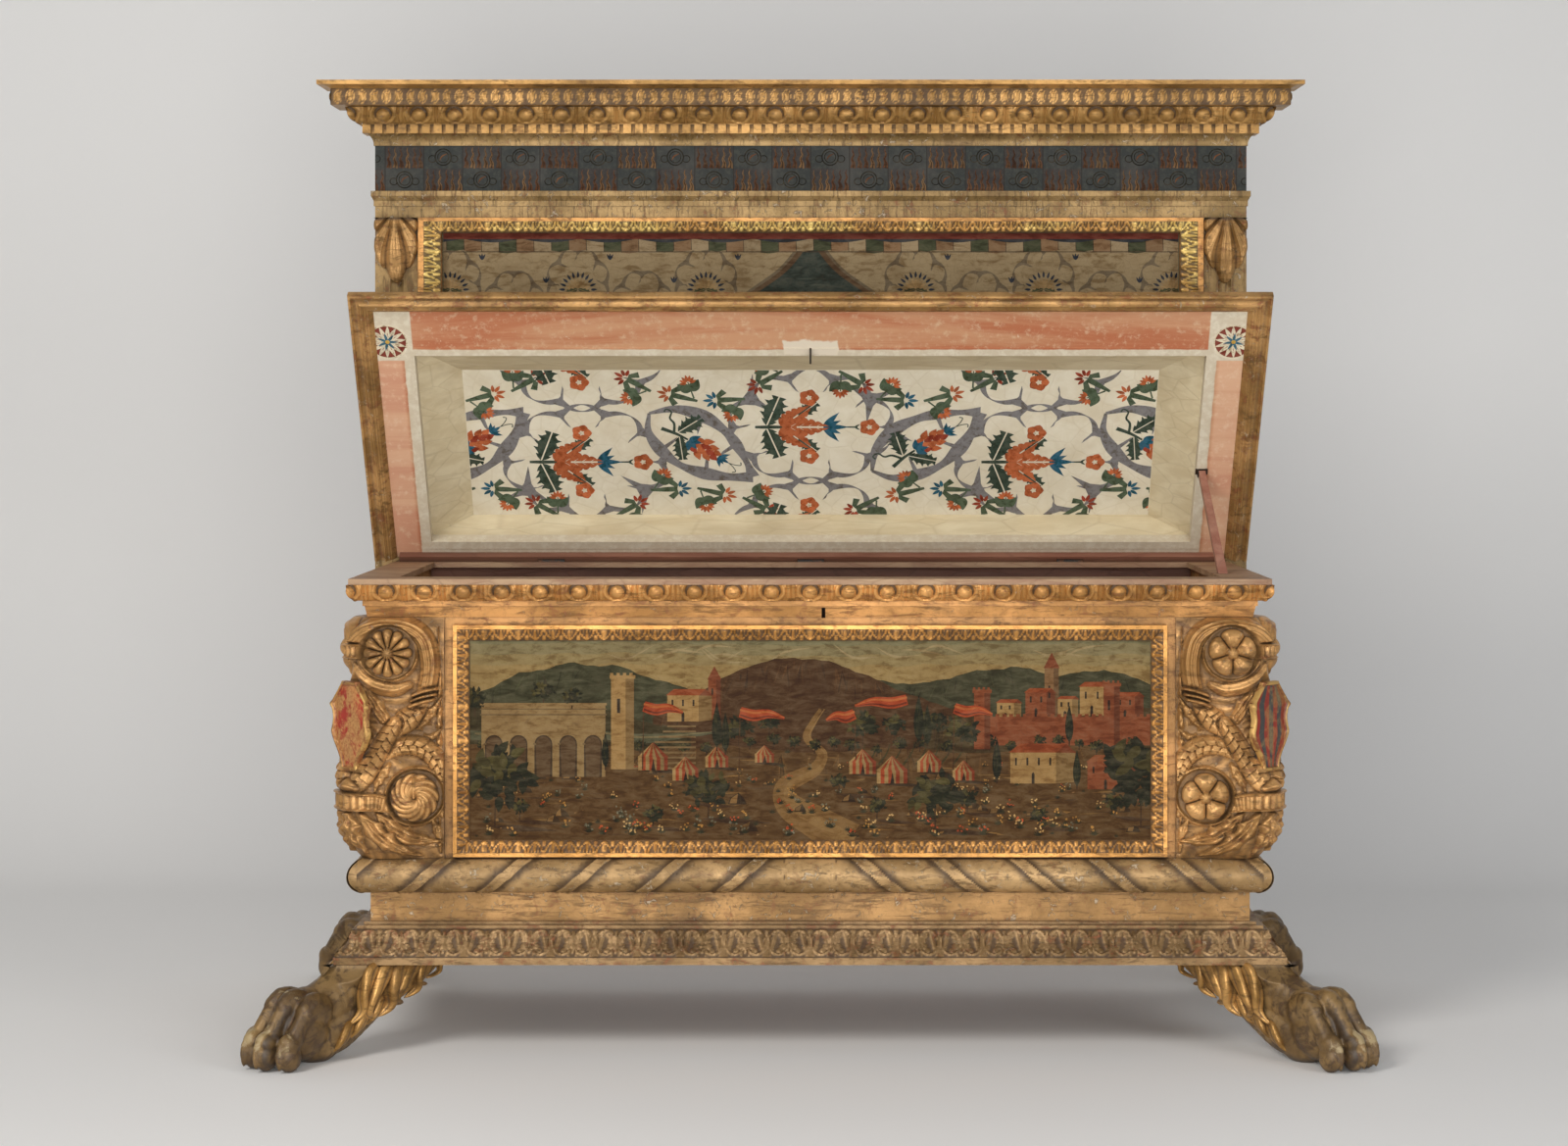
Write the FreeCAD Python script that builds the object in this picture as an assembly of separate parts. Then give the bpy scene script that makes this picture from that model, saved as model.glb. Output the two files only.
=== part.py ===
import FreeCAD, Part
import math
import os

# Carved, gilded and painted marriage chest on four paw feet, with a coffered lid held open
# by a prop stick, and a tall backboard with a cornice standing behind it.
# Millimetres. X runs to the right, Y from the front to the wall, Z up.
# The origin is on the floor in the middle of the chest's plan. The lid is open, as at rest.

# Chest plan: every set-in or set-out is counted from the edge of the rim boards.
rim_half_width = 965.0
rim_depth = 750.0
base_overhang = 27.0
plinth_set_in = 41.0
body_set_in = 39.0
board_thickness = 43.0
back_board_thickness = 35.0
overrun = 20.0

# Heights of the chest from the floor up.
leg_height = 190.0
base_fillet_height = 15.0
base_leaf_height = 53.0
base_list_height = 7.0
base_cap_height = 6.0
plinth_height = 62.0
torus_height = 70.0
body_height = 506.0
architrave_height = 24.0
architrave_fillet_height = 13.0
egg_height = 33.0
rim_thickness = 12.0

# Base moulding and the boards that stand on it.
base_leaf_set_in = 39.0
base_leaf_step = 3.0
base_list_set_in = 4.0
base_cap_set_in = 13.0
base_hollow_depth = 4.0
base_rail_width = 220.0
plinth_thickness = 75.0
bottom_board_thickness = 22.0

# Mouldings under the rim, as set-outs from the body.
architrave_set_out = 4.0
architrave_lean = 5.0
architrave_fillet_set_out = 13.0
egg_bottom_set_out = 20.0
egg_top_set_out = 35.5
egg_swell = 4.0

# Rim boards.
rim_front_width = 82.0
rim_side_width = 96.0
rim_back_width = 95.0

# Front painted panel with its carved frame, and the plainer ones on the ends.
front_stile_width = 20.0
front_panel_top_stile = 16.0
front_panel_rise = 38.0
front_panel_thickness = 6.0
front_frame_width = 33.0
frame_proud = 22.0
frame_inner_proud = 9.0
frame_fillet_share = 0.25
end_stile_width = 33.5

# Corner consoles: the outline is an S, given as shares of the height and of the projection.
console_front_reach = 197.0
console_projection = 64.0
console_corner_inset = 21.0
console_rear_width = 160.0
console_top_gap = 0.5
console_height_shares = [0.0, 0.07, 0.22, 0.36, 0.50, 0.62, 0.74, 0.86, 0.96, 1.0]
console_projection_shares = [0.30, 0.72, 1.0, 0.90, 0.40, 0.28, 0.52, 0.82, 0.62, 0.34]
rosette_radius = 52.0
rosette_thickness = 20.0
rosette_lobe_radius = 15.0
rosette_lobe_count = 10
rosette_boss_radius = 12.0
rosette_seat_depth = 22.0
upper_rosette_height_share = 0.858
lower_rosette_height_share = 0.265
upper_rosette_side_share = 0.715
lower_rosette_side_share = 0.354
rosette_projection_shares = [1.0, 0.80]

# Shields on the front corners, facing out along the diagonal.
shield_width = 124.0
shield_height = 186.0
shield_thickness = 12.0
shield_stand_off = 72.0
shield_middle_height_share = 0.556
shield_peg_radius = 12.0
shield_peg_inset = 31.0

# Paw feet: a side outline along the diagonal and a plan outline with four toes.
foot_root_length = 305.0
foot_reach = 208.0
foot_leg_half_width = 52.0
foot_paw_half_width = 70.0
foot_paw_set_back = 106.0
foot_ankle_rise = 158.0
foot_knuckle_rise = 164.0
toe_radius = 28.0
inner_toe_spread = 18.0
outer_toe_spread = 50.0
outer_toe_set_back = 30.0
heel_set_back = 142.0

# Lid, measured from the hinge axis: along the lid to its free edge, and up from its underside.
hinge_set_forward = 69.0
lid_open_angle = 55.5
lid_front_overhang = 46.0
lid_side_overhang = 45.0
lid_clearance = 0.3
lip_outer_width = 35.0
lip_ledge_width = 23.0
lip_depth = 18.0
lip_step = 3.0
lip_edge_height = 20.0
lip_edge_slope = 23.0
flange_thickness = 26.0
back_batten_width = 14.0
tray_back_margin = 45.0
tray_staple_gap = 12.0
tray_side_margin = 133.0
tray_depth = 54.0
tray_front_slope = 92.0
tray_side_slope = 91.0
tray_back_slope = 18.0
coffer_board_thickness = 14.0
top_panel_thickness = 12.0
fillet_width = 20.0
fillet_thickness = 1.5
lid_horn_radius = 44.0
lid_horn_side_offset = 20.0
lid_horn_forward = 6.0

# Iron hinges with round knuckles on the lid's axis.
hinge_spacing = 600.0
hinge_half_length = 30.0
knuckle_radius = 7.0
knuckle_clearance = 0.5
knuckle_half_middle = 10.0
leaf_thickness = 3.0
lower_leaf_length = 54.0
upper_leaf_height = 42.0
pin_radius = 3.0
pin_clearance = 0.05
hinge_screw_radius = 2.2
hinge_screw_head_radius = 4.5
hinge_screw_head_height = 1.5
hinge_screw_length = 30.0
hinge_screw_side = 18.0
lower_screw_back = 42.0
upper_screw_rise = 31.0

# Prop stick and its iron bracket under the lid's right margin.
prop_set_in = 76.0
prop_pivot_along = 245.0
prop_pivot_height = 9.0
prop_length = 400.0
prop_thickness = 14.0
prop_head_width = 15.0
prop_foot_width = 20.0
prop_foot_clearance = 0.4
prop_pin_radius = 3.0
prop_ear_thickness = 2.0
prop_ear_clearance = 0.6
prop_ear_half_length = 8.0
prop_plate_margin = 4.0

# Lock behind the front board, its sliding bolt, and the iron staple under the lid.
staple_set_back = 26.0
staple_width = 16.0
staple_thickness = 4.0
staple_drop = 22.0
staple_eye_radius = 6.0
staple_eye_drop = 10.0
bolt_depth = 8.0
bolt_height = 6.0
bolt_length = 50.0
bolt_rest_gap = 3.0
lock_left = 30.0
lock_right = 75.0
lock_back_gap = 2.0
lock_height = 88.0
lock_top_gap = 3.0
lock_wall = 3.0
lock_slot_margin = 3.0
lock_shelf_width = 10.0
lock_shelf_height = 12.0
lock_shelf_left = 10.0
lock_shelf_pitch = 30.0
bolt_clearance = 0.3
keyhole_side = 28.0
keyhole_width = 8.0
keyhole_height = 22.0
keyhole_rise = 9.0

# Backboard: two posts, rails, a painted panel in a carved frame, a frieze and a cornice.
backboard_set_out = 54.0
backboard_thickness = 45.0
post_width = 102.0
post_top = 1791.0
post_flute_radius = 22.0
post_flute_depth = 6.0
top_rail_height = 63.0
architrave_band_height = 28.0
backboard_architrave_set_out = 9.0
bottom_rail_lap = 79.0
bottom_rail_rise = 139.0
backboard_panel_thickness = 25.0
backboard_frame_side_width = 53.0
backboard_frame_width = 33.0
backboard_frame_proud = 14.0
frieze_height = 106.0
bed_height = 27.0
dentil_height = 24.0
cornice_egg_height = 36.0
corona_height = 38.0
cyma_height = 7.0
crown_fillet_height = 10.0
bed_bottom_set_out = 3.0
bed_top_set_out = 17.0
dentil_set_out = 26.0
dentil_pitch = 27.6
dentil_gap = 9.0
dentil_depth = 9.0
cornice_egg_bottom_set_out = 27.0
cornice_egg_top_set_out = 54.0
corona_set_out = 89.0
crown_set_out = 118.0

# Carved leaf brackets at the heads of the posts.
bracket_height = 144.0
bracket_half_width = 50.0
bracket_top_drop = 0.5
bracket_projection = 44.0
bracket_tip_projection = 14.0
bracket_shoulder_share = 0.42

# Screws that hold the backboard to the chest.
board_screw_radius = 4.0
board_screw_head_radius = 8.0
board_screw_head_height = 4.0
board_screw_length = 70.0
rail_screw_rise = 40.0
rail_screw_insets = [617.0, 117.0]
post_screw_height = 240.0
post_screw_inset = 69.0

# Places worked out from the sizes above.
back_y = (rim_depth + base_overhang) / 2
rim_front_y = back_y - rim_depth
base_half_width = rim_half_width + base_overhang
plinth_half_width = rim_half_width - plinth_set_in
body_half_width = rim_half_width - body_set_in
base_top = leg_height + base_fillet_height + base_leaf_height + base_list_height + base_cap_height
plinth_top = base_top + plinth_height
body_bottom = plinth_top + torus_height
body_top = body_bottom + body_height
architrave_top = body_top + architrave_height + architrave_fillet_height
egg_top = architrave_top + egg_height
rim_top = egg_top + rim_thickness
hinge_y = back_y - hinge_set_forward
body_front_y = rim_front_y + body_set_in
board_inner_y = body_front_y + board_thickness
board_inner_half_width = body_half_width - board_thickness
backboard_back_y = back_y + backboard_thickness
front_panel_half_width = rim_half_width - console_front_reach - front_stile_width - front_frame_width
front_panel_height = body_height - front_panel_rise - front_frame_width - front_panel_top_stile
end_wall_width = rim_depth - console_front_reach - console_rear_width
end_panel_width = end_wall_width - 2 * (end_stile_width + front_frame_width)
lid_length = hinge_y - rim_front_y + lid_front_overhang
lid_half_width = rim_half_width + lid_side_overhang
prop_side = rim_half_width - prop_set_in
staple_along = hinge_y - board_inner_y - staple_set_back
lock_depth = staple_set_back + staple_width / 2 + lock_slot_margin + lock_wall + lock_back_gap
backboard_half_width = rim_half_width + backboard_set_out
backboard_panel_half_width = backboard_half_width - post_width - backboard_frame_side_width
bottom_rail_bottom = egg_top - bottom_rail_lap
bottom_rail_top = rim_top + bottom_rail_rise
rail_screw_height = bottom_rail_bottom + rail_screw_rise


def vector(x, y, z):
    return FreeCAD.Vector(x, y, z)


def block(x0, x1, y0, y1, z0, z1):
    return Part.makeBox(x1 - x0, y1 - y0, z1 - z0, vector(x0, y0, z0))


def rod(radius, length, start, direction):
    return Part.makeCylinder(radius, length, start, direction)


def polygon_face(points):
    return Part.Face(Part.makePolygon(points + [points[0]]))


def prism_x(points, x0, x1):
    """Extrude an outline of (y, z) points from x0 to x1."""
    face = polygon_face([vector(x0, y, z) for y, z in points])
    return face.extrude(vector(x1 - x0, 0, 0))


def prism_y(points, y0, y1):
    """Extrude an outline of (x, z) points from y0 to y1."""
    face = polygon_face([vector(x, y0, z) for x, z in points])
    return face.extrude(vector(0, y1 - y0, 0))


def prism_z(points, z0, z1):
    """Extrude an outline of (x, y) points from z0 to z1."""
    face = polygon_face([vector(x, y, z0) for x, y in points])
    return face.extrude(vector(0, 0, z1 - z0))


def mirrored_x(shape):
    return shape.mirror(vector(0, 0, 0), vector(1, 0, 0))


def mirrored_y(shape):
    return shape.mirror(vector(0, 0, 0), vector(0, 1, 0))


def group(shapes):
    """Put separate pieces side by side in one compound, as their solids."""
    solids = []
    for shape in shapes:
        solids.extend(shape.Solids)
    return Part.makeCompound(solids)


def chest_front_at(half_width):
    """Front of a chest moulding that has this half width: it stands out as far in front."""
    return rim_front_y + rim_half_width - half_width


def cornice_front_at(half_width):
    return back_y + backboard_half_width - half_width


def lid_front_at(half_width):
    return hinge_y - lid_length + lid_half_width - half_width


def contour_wire(steps, place, closing):
    """Join (half width, z) steps by lines, and by arcs where a step also has a middle point."""
    edges = []
    last = place(*steps[0])
    for step in steps[1:]:
        if isinstance(step[0], tuple):
            middle = place(*step[0])
            end = place(*step[1])
            edges.append(Part.Arc(last, middle, end).toShape())
        else:
            end = place(*step)
            edges.append(Part.makeLine(last, end))
        last = end
    for point in closing + [place(*steps[0])]:
        edges.append(Part.makeLine(last, point))
        last = point
    return Part.Wire(edges)


def wrapped_moulding(steps, front_at, rear_y):
    """A moulding that runs along the front and both ends with mitred corners, solid inside.

    The contour goes up from its lowest step. Two crossed extrusions share its corners.
    """
    widths = []
    for step in steps:
        if isinstance(step[0], tuple):
            widths.extend([step[0][0], step[1][0]])
        else:
            widths.append(step[0])
    widest = max(widths) + overrun
    low = steps[0][1]
    high = steps[-1][1]
    if isinstance(steps[-1][0], tuple):
        high = steps[-1][1][1]

    def on_side(half_width, z):
        return vector(half_width, front_at(widest), z)

    def on_front(half_width, z):
        return vector(-widest, front_at(half_width), z)

    middle = [vector(0, front_at(widest), high), vector(0, front_at(widest), low)]
    right_face = Part.Face(contour_wire(steps, on_side, middle))
    right = right_face.extrude(vector(0, rear_y - front_at(widest), 0))
    both_sides = right.fuse(mirrored_x(right)).removeSplitter()
    rear = [vector(-widest, rear_y, high), vector(-widest, rear_y, low)]
    front_face = Part.Face(contour_wire(steps, on_front, rear))
    front = front_face.extrude(vector(2 * widest, 0, 0))
    return front.common(both_sides).removeSplitter()


def mitred_runs(moulding, inner_half_width, front_at, rear_y, low, high):
    """Hollow a wrapped moulding and cut it at its mitres: front, left and right runs."""
    inner_front = front_at(inner_half_width)
    core = block(-inner_half_width, inner_half_width, inner_front, rear_y + overrun, low, high)
    ring = moulding.cut(core)
    outer = inner_half_width + 2 * base_rail_width
    corner_y = front_at(outer)
    front_zone = prism_z([(-outer, corner_y), (outer, corner_y),
                          (inner_half_width, inner_front), (-inner_half_width, inner_front)], low, high)
    right_zone = prism_z([(outer, corner_y), (outer, rear_y), (inner_half_width, rear_y),
                          (inner_half_width, inner_front)], low, high)
    front = ring.common(front_zone)
    right = ring.common(right_zone)
    left = ring.common(mirrored_x(right_zone))
    return front, left, right


def screw(start, direction, radius, length, head_radius, head_height):
    """A screw whose flat head lies flush: start is the middle of the head's outer face."""
    head = Part.makeCone(head_radius, radius, head_height, start, direction)
    shank = rod(radius, length, start, direction)
    return head.fuse(shank).removeSplitter()


# Base, plinth and torus

def base_contour():
    leaf_bottom = leg_height + base_fillet_height
    leaf_top = leaf_bottom + base_leaf_height
    list_top = leaf_top + base_list_height
    leaf_foot = base_half_width - base_leaf_step
    leaf_head = base_half_width - base_leaf_set_in
    list_width = leaf_head - base_list_set_in
    cap_width = list_width - base_cap_set_in
    hollow = ((leaf_foot + leaf_head) / 2 - base_hollow_depth, (leaf_bottom + leaf_top) / 2)
    return [(base_half_width, leg_height), (base_half_width, leaf_bottom), (leaf_foot, leaf_bottom),
            (hollow, (leaf_head, leaf_top)), (list_width, leaf_top), (list_width, list_top),
            (cap_width, list_top), (cap_width, base_top)]


def base_mouldings():
    moulding = wrapped_moulding(base_contour(), chest_front_at, back_y)
    return mitred_runs(moulding, base_half_width - base_rail_width, chest_front_at, back_y,
                       leg_height, base_top)


def base_back_rail():
    inner = base_half_width - base_rail_width
    return block(-inner, inner, back_y - base_rail_width, back_y, leg_height, base_top)


def plinth_boards():
    contour = [(plinth_half_width, base_top), (plinth_half_width, plinth_top)]
    moulding = wrapped_moulding(contour, chest_front_at, back_y)
    inner = plinth_half_width - plinth_thickness
    runs = mitred_runs(moulding, inner, chest_front_at, back_y, base_top, plinth_top)
    back = block(-inner, inner, back_y - plinth_thickness, back_y, base_top, plinth_top)
    return group(list(runs) + [back])


def torus_mouldings():
    radius = torus_height / 2
    centre = rim_half_width - radius
    contour = [(centre, plinth_top), ((rim_half_width, plinth_top + radius), (centre, body_bottom))]
    moulding = wrapped_moulding(contour, chest_front_at, back_y)
    runs = mitred_runs(moulding, board_inner_half_width, chest_front_at, back_y,
                       plinth_top, body_bottom)
    return group(runs)


# Chest body

def bottom_board():
    inner = board_inner_half_width
    return block(-inner, inner, board_inner_y, back_y - back_board_thickness,
                 plinth_top, plinth_top + bottom_board_thickness)


def keyhole_cutter():
    low = body_top + keyhole_rise - keyhole_height / 2
    return block(keyhole_side - keyhole_width / 2, keyhole_side + keyhole_width / 2,
                 rim_front_y - overrun, board_inner_y + lock_wall + lock_wall / 2,
                 low, low + keyhole_height)


def front_board():
    board = block(-body_half_width, body_half_width, body_front_y, board_inner_y, body_bottom, egg_top)
    return board.cut(keyhole_cutter())


def back_board(screws):
    inner = board_inner_half_width
    front = back_y - back_board_thickness
    upper = block(-body_half_width, body_half_width, front, back_y, body_bottom, egg_top)
    lower = block(-inner, inner, front, back_y, plinth_top, body_bottom)
    return upper.fuse(lower).removeSplitter().cut(screws)


def end_board():
    return block(board_inner_half_width, body_half_width, board_inner_y,
                 back_y - back_board_thickness, body_bottom, egg_top)


def frame_profile(z0, z1, wall, outer_first):
    """Section of a carved frame on a wall at y: a fillet outside and a hollow towards the panel."""
    width = z1 - z0
    fillet = width * frame_fillet_share
    points = [(wall, 0.0), (wall - frame_proud, 0.0), (wall - frame_proud, fillet),
              (wall - frame_inner_proud, width), (wall, width)]
    if outer_first:
        return [(y, z0 + along) for y, along in points]
    return [(y, z1 - along) for y, along in points]


def carved_frame(x0, x1, z0, z1, width, side_width, wall, profile):
    """Four mitred runs round the opening x0..x1, z0..z1, standing on a wall at y."""
    outer_x0 = x0 - side_width
    outer_x1 = x1 + side_width
    outer_z0 = z0 - width
    outer_z1 = z1 + width
    deep = wall - frame_proud - overrun
    bottom_zone = prism_y([(outer_x0, outer_z0), (outer_x1, outer_z0), (x1, z0), (x0, z0)], deep, wall)
    top_zone = prism_y([(outer_x0, outer_z1), (outer_x1, outer_z1), (x1, z1), (x0, z1)], deep, wall)
    left_zone = prism_y([(outer_x0, outer_z0), (x0, z0), (x0, z1), (outer_x0, outer_z1)], deep, wall)
    right_zone = prism_y([(outer_x1, outer_z0), (x1, z0), (x1, z1), (outer_x1, outer_z1)], deep, wall)
    bottom = prism_x(profile(outer_z0, z0, wall, True), outer_x0, outer_x1)
    top = prism_x(profile(z1, outer_z1, wall, False), outer_x0, outer_x1)
    left = prism_z([(x, y) for y, x in profile(outer_x0, x0, wall, True)], outer_z0, outer_z1)
    right = prism_z([(x, y) for y, x in profile(x1, outer_x1, wall, False)], outer_z0, outer_z1)
    return group([bottom.common(bottom_zone), top.common(top_zone),
                  left.common(left_zone), right.common(right_zone)])


def front_panel_levels():
    low = body_bottom + front_panel_rise
    return low, low + front_panel_height


def front_painted_panel():
    low, high = front_panel_levels()
    return block(-front_panel_half_width, front_panel_half_width,
                 body_front_y - front_panel_thickness, body_front_y, low, high)


def front_panel_frame():
    low, high = front_panel_levels()
    return carved_frame(-front_panel_half_width, front_panel_half_width, low, high,
                        front_frame_width, front_frame_width, body_front_y, frame_profile)


def turned_to_right_end(shape):
    """Turn a piece modelled on the front wall about x = 0 onto the right end of the chest."""
    moved = shape.copy()
    moved.translate(vector(0, -body_front_y, 0))
    moved.rotate(vector(0, 0, 0), vector(0, 0, 1), 90)
    centre = (console_front_reach + rim_depth - console_rear_width) / 2
    moved.translate(vector(body_half_width, rim_front_y + centre, 0))
    return moved


def end_panels():
    low, high = front_panel_levels()
    panel = block(-end_panel_width / 2, end_panel_width / 2,
                  body_front_y - front_panel_thickness, body_front_y, low, high)
    right = turned_to_right_end(panel)
    return group([right, mirrored_x(right)])


def end_panel_frames():
    low, high = front_panel_levels()
    frame = carved_frame(-end_panel_width / 2, end_panel_width / 2, low, high,
                         front_frame_width, front_frame_width, body_front_y, frame_profile)
    right = turned_to_right_end(frame)
    return group([right, mirrored_x(right)])


# Corner consoles with their rosettes and shields

def console_outline():
    """The S outline as (projection, z) points from the bottom up."""
    height = body_height - console_top_gap
    points = []
    for height_share, projection_share in zip(console_height_shares, console_projection_shares):
        points.append((projection_share * console_projection, body_bottom + height_share * height))
    return points


def console_face(inner, place):
    """A face between the body's wall and the S curve, placed by a function of (projection, z)."""
    points = console_outline()
    curve = Part.BSplineCurve()
    curve.interpolate([place(projection, z) for projection, z in points])
    first = place(*points[0])
    last = place(*points[-1])
    low = place(inner, points[0][1])
    high = place(inner, points[-1][1])
    edges = [curve.toShape(), Part.makeLine(last, high), Part.makeLine(high, low), Part.makeLine(low, first)]
    return Part.Face(Part.Wire(edges))


def front_console():
    """Right front console: a wing on the front, a rounded corner and a wing on the end."""
    axis_x = body_half_width - console_corner_inset
    axis_y = body_front_y + console_corner_inset
    wing = console_front_reach - console_corner_inset - body_set_in

    def on_front(projection, z):
        return vector(axis_x - wing, body_front_y - projection, z)

    def on_end(projection, z):
        return vector(body_half_width + projection, axis_y, z)

    front_wing = console_face(0, on_front).extrude(vector(wing, 0, 0))
    end_wing = console_face(0, on_end).extrude(vector(0, wing, 0))
    corner = console_face(-console_corner_inset, on_end).revolve(
        vector(axis_x, axis_y, 0), vector(0, 0, 1), -90)
    low = body_bottom
    body = block(0, body_half_width, body_front_y, back_y, low, body_top)
    return front_wing.fuse([corner, end_wing]).cut(body).removeSplitter()


def rear_console():
    def on_end(projection, z):
        return vector(body_half_width + projection, back_y - console_rear_width, z)

    return console_face(0, on_end).extrude(vector(0, console_rear_width, 0))


def rosette_seats():
    """Middles of the front rosettes' outer faces at the right corner, and how far they reach in."""
    wing_start = body_half_width - console_front_reach + body_set_in
    wing_width = body_half_width - wing_start
    seats = []
    places = [(upper_rosette_side_share, upper_rosette_height_share, rosette_projection_shares[1]),
              (lower_rosette_side_share, lower_rosette_height_share, rosette_projection_shares[0])]
    for side_share, height_share, projection_share in places:
        x = wing_start + side_share * wing_width
        z = body_bottom + height_share * body_height
        seats.append((x, body_front_y - projection_share * console_projection, z))
    return seats


def rosette(x, face_y, z):
    """A flower with round lobes and a boss, let into the console."""
    back = face_y + rosette_seat_depth - rosette_thickness / 2
    outward = vector(0, -1, 0)
    core = rod(rosette_radius - rosette_lobe_radius / 2, rosette_thickness, vector(x, back, z), outward)
    ring_radius = rosette_radius - rosette_lobe_radius
    lobes = []
    for index in range(rosette_lobe_count):
        angle = 2 * math.pi * index / rosette_lobe_count
        start = vector(x + ring_radius * math.cos(angle), back, z + ring_radius * math.sin(angle))
        lobes.append(rod(rosette_lobe_radius, rosette_thickness, start, outward))
    boss = Part.makeSphere(rosette_boss_radius, vector(x, back - rosette_thickness, z))
    return core.fuse(lobes + [boss]).removeSplitter()


def rosette_pocket(x, face_y, z):
    back = face_y + rosette_seat_depth - rosette_thickness / 2
    return rod(rosette_radius, console_projection + overrun, vector(x, back, z), vector(0, -1, 0))


def corner_diagonal():
    half = math.sqrt(2) / 2
    return vector(half, -half, 0), vector(half, half, 0)


def corner_shield():
    """Right shield: a waisted plate across the corner with a peg behind it."""
    outward, along = corner_diagonal()
    axis = vector(body_half_width - console_corner_inset, body_front_y + console_corner_inset, 0)
    middle = body_bottom + shield_middle_height_share * body_height
    half = shield_width / 2
    rise = shield_height / 2
    outline_shares = [(-0.42, 1.0), (0.42, 1.0), (1.0, 0.46), (1.0, -0.14), (0.58, -0.66), (0.52, -1.0),
                      (-0.52, -1.0), (-0.58, -0.66), (-1.0, -0.14), (-1.0, 0.46)]
    back = axis + outward * shield_stand_off
    points = []
    for side_share, rise_share in outline_shares:
        points.append(back + along * (side_share * half) + vector(0, 0, middle + rise_share * rise))
    plate = polygon_face(points).extrude(outward * shield_thickness)
    peg_start = axis + outward * shield_peg_inset + vector(0, 0, middle)
    peg = rod(shield_peg_radius, shield_stand_off - shield_peg_inset + shield_thickness / 2,
              peg_start, outward)
    return plate.fuse(peg).removeSplitter()


def shield_clearing():
    """What the console gives up to the shield: its peg's hole and the space of its plate."""
    outward, along = corner_diagonal()
    axis = vector(body_half_width - console_corner_inset, body_front_y + console_corner_inset, 0)
    middle = body_bottom + shield_middle_height_share * body_height
    half = shield_width / 2
    rise = shield_height / 2
    back = axis + outward * shield_stand_off
    corners = [(-half, -rise), (half, -rise), (half, rise), (-half, rise)]
    points = [back + along * side + vector(0, 0, middle + up) for side, up in corners]
    space = polygon_face(points).extrude(outward * (console_projection + overrun))
    peg_start = axis + outward * shield_peg_inset + vector(0, 0, middle)
    peg = rod(shield_peg_radius, shield_stand_off, peg_start, outward)
    return space.fuse(peg)


# Mouldings and boards at the chest's rim

def architrave_moulding():
    step = body_top + architrave_height
    low_width = body_half_width + architrave_set_out
    contour = [(low_width, body_top), (low_width + architrave_lean, step),
               (body_half_width + architrave_fillet_set_out, step),
               (body_half_width + architrave_fillet_set_out, architrave_top)]
    moulding = wrapped_moulding(contour, chest_front_at, back_y)
    runs = mitred_runs(moulding, body_half_width, chest_front_at, back_y, body_top, architrave_top)
    return group([run.cut(keyhole_cutter()) for run in runs])


def egg_moulding():
    low_width = body_half_width + egg_bottom_set_out
    high_width = body_half_width + egg_top_set_out
    middle = ((low_width + high_width) / 2 + egg_swell, (architrave_top + egg_top) / 2)
    contour = [(low_width, architrave_top), (middle, (high_width, egg_top))]
    moulding = wrapped_moulding(contour, chest_front_at, back_y)
    return group(mitred_runs(moulding, body_half_width, chest_front_at, back_y, architrave_top, egg_top))


def rim_front():
    return block(-rim_half_width, rim_half_width, rim_front_y, rim_front_y + rim_front_width,
                 egg_top, rim_top)


def rim_right():
    return block(rim_half_width - rim_side_width, rim_half_width, rim_front_y + rim_front_width,
                 back_y, egg_top, rim_top)


def rim_back(cutters):
    inner = rim_half_width - rim_side_width
    board = block(-inner, inner, back_y - rim_back_width, back_y, egg_top, rim_top)
    return board.cut(cutters)


# Hinges

def hinge_places():
    return [-hinge_spacing, 0.0, hinge_spacing]


def barrel(x, half_length, radius):
    return rod(radius, 2 * half_length, vector(x - half_length, hinge_y, rim_top), vector(1, 0, 0))


def barrel_groove(x):
    return barrel(x, hinge_half_length + knuckle_clearance, knuckle_radius + knuckle_clearance)


def lower_leaf_plate(x):
    return block(x - hinge_half_length, x + hinge_half_length, hinge_y, hinge_y + lower_leaf_length,
                 rim_top - leaf_thickness, rim_top)


def upper_leaf_plate(x):
    return lid_block(x - hinge_half_length, x + hinge_half_length, 0, leaf_thickness,
                     0, upper_leaf_height)


def hinge_lower_leaf(x, screws):
    plate = lower_leaf_plate(x)
    knuckles = barrel(x, hinge_half_length, knuckle_radius)
    gap = barrel(x, knuckle_half_middle + knuckle_clearance, knuckle_radius + knuckle_clearance)
    hole = barrel(x, hinge_half_length + overrun, pin_radius)
    return plate.fuse(knuckles).removeSplitter().cut([gap, hole] + screws)


def hinge_upper_leaf(x, screws):
    """Modelled with the lid closed, as every piece of the lid is."""
    middle = barrel(x, knuckle_half_middle, knuckle_radius)
    plate = upper_leaf_plate(x)
    side_length = hinge_half_length - knuckle_half_middle
    gaps = []
    for direction in (-1, 1):
        place = x + direction * (knuckle_half_middle + side_length / 2)
        gaps.append(barrel(place, side_length / 2 + knuckle_clearance, knuckle_radius + knuckle_clearance))
    hole = barrel(x, hinge_half_length + overrun, pin_radius + pin_clearance)
    return plate.cut(gaps).fuse(middle).removeSplitter().cut([hole] + screws)


def rim_screws(x):
    start_y = hinge_y + lower_screw_back
    pieces = []
    for side in (-hinge_screw_side, hinge_screw_side):
        pieces.append(screw(vector(x + side, start_y, rim_top), vector(0, 0, -1), hinge_screw_radius,
                            hinge_screw_length, hinge_screw_head_radius, hinge_screw_head_height))
    return pieces


def lid_screws(x):
    pieces = []
    for side in (-hinge_screw_side, hinge_screw_side):
        start = vector(x + side, hinge_y, rim_top + upper_screw_rise)
        pieces.append(screw(start, vector(0, -1, 0), hinge_screw_radius,
                            hinge_screw_length, hinge_screw_head_radius, hinge_screw_head_height))
    return pieces


# Lid, modelled closed and then turned open about the hinge axis

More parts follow.
